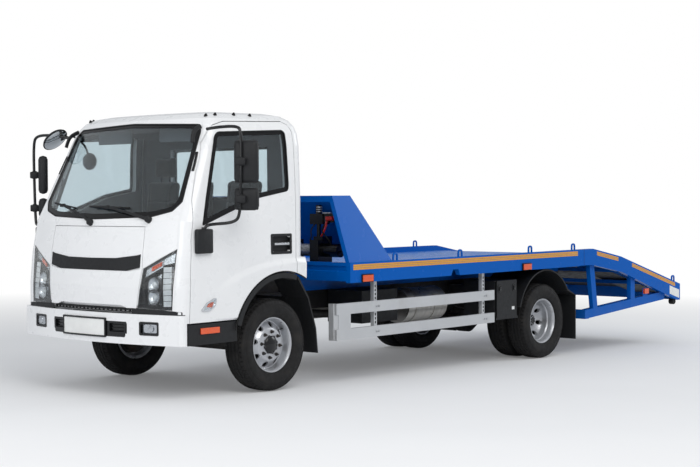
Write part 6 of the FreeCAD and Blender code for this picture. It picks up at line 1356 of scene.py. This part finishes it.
def make_tail_trim():
    """Lens divisions of the tail lamps, blank label places and buffers."""
    lens_face = upright(lambda x, z: np.full(x.shape, TAIL_BACK + 0.022), 1)
    for x0, x1, word, finish in ((0.722, 0.800, "amber", "amber_lens"), (0.806, 0.900, "red", "red_lens"),
                                 (0.906, 0.998, "white", "lamp_white")):
        loop = rounded_loop(oblong(x0, 0.442, x1, 0.512), 0.006, 3, 3)
        piece(f"tail_lamp_{word}", left_and_right([patch(loop, lens_face, -0.001, 0.004, 3)]), finish, "chassis")
    piece("tail_blank_label", left_and_right([strip_on_rail(6.637, 6.868, 0.078, 0.098, 6)]), "plate_white",
          "chassis")
    buffers = [turned([(0.034, -0.030), (0.038, -0.024), (0.038, 0.024), (0.034, 0.030)], (1.040, 6.806, 0.372),
                      (1, 0, 0), 28)]
    piece("tail_buffers", left_and_right(buffers), "rubber_seal", "chassis")


def make_lashing_loops():
    """Round bars bent to a U on the rails' top edges, and the line where the tail's rails join on."""
    loops = []
    for y in LASHING_Y:
        half_path = ((0.028, -0.004), (0.028, 0.040), (0.022, 0.060))
        path = [(LASHING_X, y - away, deck_top(y) + up) for away, up in half_path]
        path += [(LASHING_X, y + away, deck_top(y) + up) for away, up in half_path[::-1]]
        loops.append(tube(rounded_path(path, 3), 0.0100, 12, 1.0, (1, 0, 0)))
    seam = [strip_on_rail(4.728, 4.731, 0.0, 0.170, 3, 0.0012)]
    piece("lashing_loops", left_and_right(loops), "deck_paint", "chassis", ("lashing_rings",))
    piece("rail_joint_lines", left_and_right(seam), "rubber_seal", "chassis")


# Cabin

SEAT_LOW, SEAT_TOP, SEAT_FRONT, SEAT_REAR = 1.080, 1.230, -0.330, 0.130
SEAT_X, SEAT_HALF = 0.520, 0.235
BACK_TOP, REST_TOP, REST_HALF, BACK_THICK = 1.800, 2.010, 0.140, 0.120
MIDDLE_X, MIDDLE_SHARE = -REST_HALF * 0.2, 0.7
PAD_INSET, CLOTH_FRAMES = 0.006, 20


def soft_block(name, low, high, lean=0.0, swell=0.012, taper=1.0):
    """A pad: a rounded block leaned back by a share of its height, its width tapered upwards, then filled.

    The filling is a short cloth run under pressure; no point moves by more than swell.
    """
    low, high = np.asarray(low, float), np.asarray(high, float)
    grid, wrap, around = block(low + PAD_INSET, high - PAD_INSET, 0.035)
    up = grid[..., 2] - low[2]
    middle = (low[0] + high[0]) / 2
    grid[..., 1] += lean * up
    grid[..., 0] = middle + (grid[..., 0] - middle) * (1 - (1 - taper) * up / (high[2] - low[2]))
    pad = piece(name, [(grid, wrap, around)], "seat_fabric", "cab")
    remesh = pad.modifiers.new("even_mesh", "REMESH")
    remesh.mode, remesh.voxel_size = "VOXEL", 0.013
    apply_modifiers(pad)
    fill_pad(pad, swell)
    smooth = pad.modifiers.new("fine", "SUBSURF")
    smooth.levels = smooth.render_levels = 1
    apply_modifiers(pad)
    return pad


def fill_pad(pad, swell):
    """The pad blown up by a cloth run, each point's move held to a length of swell."""
    before = vertices_of(pad)
    cloth = pad.modifiers.new("filling", "CLOTH")
    cloth.settings.use_pressure = True
    cloth.settings.uniform_pressure_force = 4
    cloth.settings.effector_weights.gravity = 0
    cloth.point_cache.frame_start, cloth.point_cache.frame_end = 1, CLOTH_FRAMES
    for number in range(1, CLOTH_FRAMES + 1):
        bpy.context.scene.frame_set(number)
    move = vertices_of(pad.evaluated_get(bpy.context.evaluated_depsgraph_get())) - before
    pad.modifiers.clear()
    bpy.context.scene.frame_set(1)
    length = np.linalg.norm(move, axis=1)
    move *= (np.minimum(length, swell) / np.maximum(length, 1e-9))[:, None]
    write_vertices(pad, before + move)


def apply_modifiers(item):
    """The object's modifiers worked into its mesh."""
    shape = item.evaluated_get(bpy.context.evaluated_depsgraph_get())
    mesh = bpy.data.meshes.new_from_object(shape)
    item.modifiers.clear()
    item.data = mesh
    mesh.shade_smooth()


def vertices_of(item):
    """Places of the object's vertices."""
    places = np.zeros(len(item.data.vertices) * 3)
    item.data.vertices.foreach_get("co", places)
    return places.reshape(-1, 3)


def write_vertices(item, places):
    """New places for the object's vertices."""
    item.data.vertices.foreach_set("co", np.ascontiguousarray(places, np.float32).ravel())
    item.data.update()


def sew(pad, axis, lines, width=0.007, depth=0.006):
    """Sewn channels: points sink along their normal by a bell curve of their distance from each line."""
    places = level(vertices_of(pad))
    normals = np.zeros(len(places) * 3)
    pad.data.vertices.foreach_get("normal", normals)
    sink = np.zeros(len(places))
    for line in lines:
        sink = np.maximum(sink, np.exp(-((places[:, axis] - line) / width) ** 2))
    write_vertices(pad, vertices_of(pad) - depth * sink[:, None] * normals.reshape(-1, 3))


def copy_pad(pad, name, shift, share):
    """The same pad at another place across the cab, its width times a share."""
    places = vertices_of(pad)
    middle = (places[:, 0].min() + places[:, 0].max()) / 2
    mesh = pad.data.copy()
    mesh.name = name
    item = bpy.data.objects.new(name, mesh)
    bpy.context.scene.collection.objects.link(item)
    places[:, 0] = middle + (places[:, 0] - middle) * share + shift
    write_vertices(item, places)
    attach(item, "cab")
    return item


def make_seats():
    """Three seats: cushion, back and head rest as filled pads on plain plinths, the middle one narrower."""
    lean = BACK_THICK * 0.5 / (BACK_TOP - SEAT_TOP)
    x0, x1 = SEAT_X - SEAT_HALF, SEAT_X + SEAT_HALF
    back_front = SEAT_REAR - BACK_THICK
    rest_y = back_front + lean * (BACK_TOP - SEAT_TOP)
    cushion = soft_block("seat_cushion_left", (x0, SEAT_FRONT, SEAT_LOW + 0.004), (x1, back_front + 0.03,
                                                                                   SEAT_TOP))
    back = soft_block("seat_back_left", (x0 + 0.01, back_front, SEAT_TOP - 0.04),
                      (x1 - 0.01, SEAT_REAR - 0.02, BACK_TOP), lean, taper=0.88)
    rest = soft_block("head_rest_left", (SEAT_X - REST_HALF, rest_y + 0.035, BACK_TOP + 0.012),
                      (SEAT_X + REST_HALF, rest_y + 0.115, REST_TOP), swell=0.008)
    sew(cushion, 0, (SEAT_X - 0.125, SEAT_X + 0.125))
    sew(back, 0, (SEAT_X - 0.120, SEAT_X + 0.120))
    sew(back, 2, (1.42, 1.60))
    for pad, word in ((cushion, "seat_cushion"), (back, "seat_back"), (rest, "head_rest")):
        copy_pad(pad, f"{word}_right", -2 * SEAT_X, 1.0)
        copy_pad(pad, f"{word}_middle", MIDDLE_X - SEAT_X, MIDDLE_SHARE)
    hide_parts("seats")
    plinths = []
    for x, share in ((SEAT_X, 1.0), (-SEAT_X, 1.0), (MIDDLE_X, MIDDLE_SHARE)):
        half = SEAT_HALF * 0.7 * share
        plinths.append(block((x - half, SEAT_FRONT + 0.05, 1.020), (x + half, SEAT_REAR - 0.09, SEAT_LOW + 0.010),
                             0.01))
        for post in (-0.055, 0.055):
            plinths.append(tube([(x + post * share, rest_y + 0.070, BACK_TOP - 0.05),
                                 (x + post * share, rest_y + 0.072, BACK_TOP + 0.06)], 0.006, 10, 1.0, (0, 1, 0)))
    piece("seat_plinths", plinths, "black_plastic", "cab")


def make_cabin_trim():
    """Instrument hood, screen, vents and sun visors."""
    hood = [block((0.360, -0.860, 1.415), (0.680, -0.700, 1.475), 0.02),
            block((-0.16, -0.690, 1.300), (0.20, -0.632, 1.420), 0.012)]
    vents = [block((x - 0.05, -0.645, 1.325 + 0.016 * i), (x + 0.05, -0.634, 1.333 + 0.016 * i), 0.002)
             for x in (0.76, 0.26, -0.30, -0.76) for i in range(4)]
    piece("dash_hood", hood, "lining", "cab")
    piece("dash_vents", vents, "gloss_black", "cab")
    visors = []
    for x in (0.40, -0.40):
        front = float(front_face(x, 2.215)[1]) + CAB_WALL + 0.09
        visors.append(block((x - 0.22, front - 0.010, 2.105), (x + 0.22, front + 0.010, 2.235), 0.009))
    piece("sun_visors", visors, "lining", "cab")


# Studio


CAMERA_AT, CAMERA_TURN, CAMERA_SENSOR = (9.4558, -8.8699, 1.4806), (40.7493, -0.6776, 0.3195), 36
LAMPS = (("key_lamp", "key", (7.5, -6.0, 7.5), (0, -0.8, 0.8), 6.0, (1.0, 0.985, 0.96)),
         ("front_lamp", "front", (0.5, -11.0, 4.0), (0, -1.5, 1.0), 5.0, (1, 1, 1)),
         ("rear_lamp", "fill", (5.5, 8.0, 6.0), (0, 2.0, 0.9), 5.0, (0.95, 0.98, 1.0)))
FLOOR_HALF, FLOOR_SUNK = 60.0, 0.0005
FLOOR_GLOW_START, FLOOR_GLOW_FULL, FLOOR_GLOW_LEAST = 5.0, 14.0, 0.12


def camera_axes():
    """Right, up and forward of the camera from its yaw, pitch and roll."""
    yaw, pitch, roll = (math.radians(angle) for angle in CAMERA_TURN)
    forward = np.array([-math.sin(yaw) * math.cos(pitch), math.cos(yaw) * math.cos(pitch), math.sin(pitch)])
    right = np.array([math.cos(yaw), math.sin(yaw), 0.0])
    up = np.cross(right, forward)
    return math.cos(roll) * right + math.sin(roll) * up, math.cos(roll) * up - math.sin(roll) * right, forward


def make_camera():
    """Camera where the photograph was taken from."""
    right, up, forward = camera_axes()
    data = bpy.data.cameras.new("photo_camera")
    data.sensor_width = CAMERA_SENSOR
    data.lens = stage_sizes().lens
    data.clip_end = 200
    item = bpy.data.objects.new("photo_camera", data)
    bpy.context.scene.collection.objects.link(item)
    turn = Matrix((right, up, -forward)).transposed().to_4x4()
    x, y, z = CAMERA_AT
    item.matrix_world = Matrix.Translation((x, y + FRONT_AXLE[1], z)) @ turn
    bpy.context.scene.camera = item


def area_lamp(name, power, place_at, aim, size, colour):
    """Square soft lamp aimed at a point."""
    data = bpy.data.lights.new(name, "AREA")
    data.size = size
    data.energy = power
    data.color = colour
    item = bpy.data.objects.new(name, data)
    bpy.context.scene.collection.objects.link(item)
    item.location = place_at
    item.rotation_euler = (Vector(aim) - Vector(place_at)).to_track_quat("-Z", "Y").to_euler()


def make_room():
    """Even white room light, white to the camera and through glass."""
    world = bpy.data.worlds.new("studio_room")
    bpy.context.scene.world = world
    world.use_nodes = True
    nodes, links = world.node_tree.nodes, world.node_tree.links
    back = nodes["Background"]
    back.inputs["Color"].default_value = (0.93, 0.96, 1.0, 1)
    back.inputs["Strength"].default_value = stage_sizes().sky
    white = nodes.new("ShaderNodeBackground")
    white.inputs["Color"].default_value = (1, 1, 1, 1)
    white.inputs["Strength"].default_value = 1.0
    rays = nodes.new("ShaderNodeLightPath")
    seen = nodes.new("ShaderNodeMath")
    seen.operation = "MAXIMUM"
    links.new(rays.outputs["Is Camera Ray"], seen.inputs[0])
    links.new(rays.outputs["Is Transmission Ray"], seen.inputs[1])
    mix = nodes.new("ShaderNodeMixShader")
    links.new(seen.outputs[0], mix.inputs[0])
    links.new(back.outputs[0], mix.inputs[1])
    links.new(white.outputs[0], mix.inputs[2])
    links.new(mix.outputs[0], nodes["World Output"].inputs["Surface"])


def make_floor():
    """Pale floor that keeps the truck's shadow and goes white towards the camera's horizon."""
    low = GROUND - FLOOR_SUNK
    corners = [(x, y, low) for x, y in oblong(-FLOOR_HALF, -FLOOR_HALF, FLOOR_HALF, FLOOR_HALF)]
    mesh = bpy.data.meshes.new("studio_floor")
    mesh.from_pydata(corners, [], [(0, 1, 2, 3)])
    item = bpy.data.objects.new("studio_floor", mesh)
    bpy.context.scene.collection.objects.link(item)
    made = Finish("floor_finish", roughness=0.75)
    made.set(IOR=1.3)
    made.colour(linear(232, 233, 235), linear(238, 239, 241), made.noise(0.6, 3))
    glow = made.nodes.new("ShaderNodeEmission")
    glow.inputs["Color"].default_value = (1, 1, 1, 1)
    glow.inputs["Strength"].default_value = 1.0
    rays = made.nodes.new("ShaderNodeLightPath")
    away = made.nodes.new("ShaderNodeVectorMath")
    away.operation = "LENGTH"
    made.links.new(made.place, away.inputs[0])
    far = made.spread(away.outputs["Value"], FLOOR_GLOW_START, FLOOR_GLOW_FULL, FLOOR_GLOW_LEAST, 1.0)
    mix = made.nodes.new("ShaderNodeMixShader")
    made.links.new(made.sum("MULTIPLY", far, rays.outputs["Is Camera Ray"]), mix.inputs[0])
    made.links.new(made.shader.outputs[0], mix.inputs[1])
    made.links.new(glow.outputs[0], mix.inputs[2])
    made.links.new(mix.outputs[0], made.nodes["Material Output"].inputs["Surface"])
    mesh.materials.append(made.material)


def make_stage():
    """Camera, room, floor and three soft lamps."""
    make_camera()
    make_room()
    make_floor()
    for name, power, *values in LAMPS:
        area_lamp(name, getattr(stage_sizes(), power), *values)
    bpy.context.scene.view_settings.view_transform = "Standard"


# Operators


class TRUCK_OT_finishes(bpy.types.Operator):
    """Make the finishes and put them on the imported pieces"""

    bl_idname = "truck.finishes"
    bl_label = "Finishes"
    bl_options = {"REGISTER", "UNDO"}

    def execute(self, context):
        make_finishes()
        finish_nodes()
        return {"FINISHED"}


class TRUCK_OT_tyres(bpy.types.Operator):
    """Treaded tyres in place of the plain ones"""

    bl_idname = "truck.tyres"
    bl_label = "Tyres"
    bl_options = {"REGISTER", "UNDO"}

    def execute(self, context):
        make_tyres()
        return {"FINISHED"}


class TRUCK_OT_wheel_trim(bpy.types.Operator):
    """Pressed wheels, nuts, caps and valves"""

    bl_idname = "truck.wheel_trim"
    bl_label = "Wheel trim"
    bl_options = {"REGISTER", "UNDO"}

    def execute(self, context):
        make_wheel_trim()
        return {"FINISHED"}


class TRUCK_OT_windows(bpy.types.Operator):
    """Borders and seals of the windows"""

    bl_idname = "truck.windows"
    bl_label = "Windows"
    bl_options = {"REGISTER", "UNDO"}

    def execute(self, context):
        make_windows()
        return {"FINISHED"}


class TRUCK_OT_wipers(bpy.types.Operator):
    """Two wipers on the windscreen"""

    bl_idname = "truck.wipers"
    bl_label = "Wipers"
    bl_options = {"REGISTER", "UNDO"}

    def execute(self, context):
        make_wipers()
        return {"FINISHED"}


class TRUCK_OT_headlamps(bpy.types.Operator):
    """Insides and covers of the headlamps"""

    bl_idname = "truck.headlamps"
    bl_label = "Headlamps"
    bl_options = {"REGISTER", "UNDO"}

    def execute(self, context):
        make_headlamps()
        return {"FINISHED"}


class TRUCK_OT_front_trim(bpy.types.Operator):
    """Blank plate, fog lamps, air inlet and grille band"""

    bl_idname = "truck.front_trim"
    bl_label = "Front trim"
    bl_options = {"REGISTER", "UNDO"}

    def execute(self, context):
        make_front_trim()
        return {"FINISHED"}


class TRUCK_OT_side_trim(bpy.types.Operator):
    """Repeaters, reflectors, handles, beads, arch swellings and roof caps"""

    bl_idname = "truck.side_trim"
    bl_label = "Side trim"
    bl_options = {"REGISTER", "UNDO"}

    def execute(self, context):
        make_side_trim()
        make_flares()
        make_roof_knobs()
        return {"FINISHED"}


class TRUCK_OT_mirrors(bpy.types.Operator):
    """Arms, housings and glasses of the mirrors"""

    bl_idname = "truck.mirrors"
    bl_label = "Mirrors"
    bl_options = {"REGISTER", "UNDO"}

    def execute(self, context):
        make_mirrors()
        return {"FINISHED"}


class TRUCK_OT_cabin(bpy.types.Operator):
    """Seats and trim inside the cab"""

    bl_idname = "truck.cabin"
    bl_label = "Cabin"
    bl_options = {"REGISTER", "UNDO"}

    def execute(self, context):
        make_seats()
        make_cabin_trim()
        return {"FINISHED"}


class TRUCK_OT_deck_trim(bpy.types.Operator):
    """Tape, lamp frames, painted shade in the hanger slot holes, hanger bolts, lashing loops and tool box trim"""

    bl_idname = "truck.deck_trim"
    bl_label = "Deck trim"
    bl_options = {"REGISTER", "UNDO"}

    def execute(self, context):
        make_deck_trim()
        make_lashing_loops()
        make_box_trim()
        return {"FINISHED"}


class TRUCK_OT_winch_trim(bpy.types.Operator):
    """Rope, leads and covers of the winch"""

    bl_idname = "truck.winch_trim"
    bl_label = "Winch trim"
    bl_options = {"REGISTER", "UNDO"}

    def execute(self, context):
        make_winch_trim()
        return {"FINISHED"}


class TRUCK_OT_tail_trim(bpy.types.Operator):
    """Lamps, buffers and blank labels of the tail"""

    bl_idname = "truck.tail_trim"
    bl_label = "Tail trim"
    bl_options = {"REGISTER", "UNDO"}

    def execute(self, context):
        make_tail_trim()
        return {"FINISHED"}


class TRUCK_OT_stage(bpy.types.Operator):
    """Camera, floor, room and lamps"""

    bl_idname = "truck.stage"
    bl_label = "Studio"
    bl_options = {"REGISTER", "UNDO"}

    def execute(self, context):
        make_stage()
        return {"FINISHED"}


OPERATORS = [TRUCK_OT_finishes, TRUCK_OT_tyres, TRUCK_OT_wheel_trim, TRUCK_OT_windows, TRUCK_OT_wipers,
             TRUCK_OT_headlamps, TRUCK_OT_front_trim, TRUCK_OT_side_trim, TRUCK_OT_mirrors, TRUCK_OT_cabin,
             TRUCK_OT_deck_trim, TRUCK_OT_winch_trim, TRUCK_OT_tail_trim, TRUCK_OT_stage]


class TRUCK_PT_panel(bpy.types.Panel):
    """Lists the truck's operators, colours and sizes."""

    bl_label = "Tow truck"
    bl_idname = "TRUCK_PT_panel"
    bl_space_type = "VIEW_3D"
    bl_region_type = "UI"
    bl_category = "Tow truck"

    def draw(self, context):
        for kind in OPERATORS:
            self.layout.operator(kind.bl_idname)
        for group, names in ((context.scene.truck_colours, ("cab", "deck", "plate", "tape")),
                             (context.scene.truck_tread, ("groove", "wide", "blocks")),
                             (context.scene.truck_stage, ("lens", "key", "front", "fill", "sky"))):
            for name in names:
                self.layout.prop(group, name)


CLASSES = [TruckColours, TruckTread, TruckStage, *OPERATORS, TRUCK_PT_panel]


def register():
    """Registers every class and the groups of settings."""
    for kind in CLASSES:
        bpy.utils.register_class(kind)
    bpy.types.Scene.truck_colours = PointerProperty(type=TruckColours)
    bpy.types.Scene.truck_tread = PointerProperty(type=TruckTread)
    bpy.types.Scene.truck_stage = PointerProperty(type=TruckStage)


def unregister():
    """Removes the groups of settings and the classes."""
    for name in ("truck_colours", "truck_tread", "truck_stage"):
        delattr(bpy.types.Scene, name)
    for kind in reversed(CLASSES):
        bpy.utils.unregister_class(kind)


def main():
    """Registers the settings and builds the whole scene."""
    register()
    for kind in OPERATORS:
        group, name = kind.bl_idname.split(".")
        getattr(getattr(bpy.ops, group), name)()


if __name__ == "__main__":
    main()
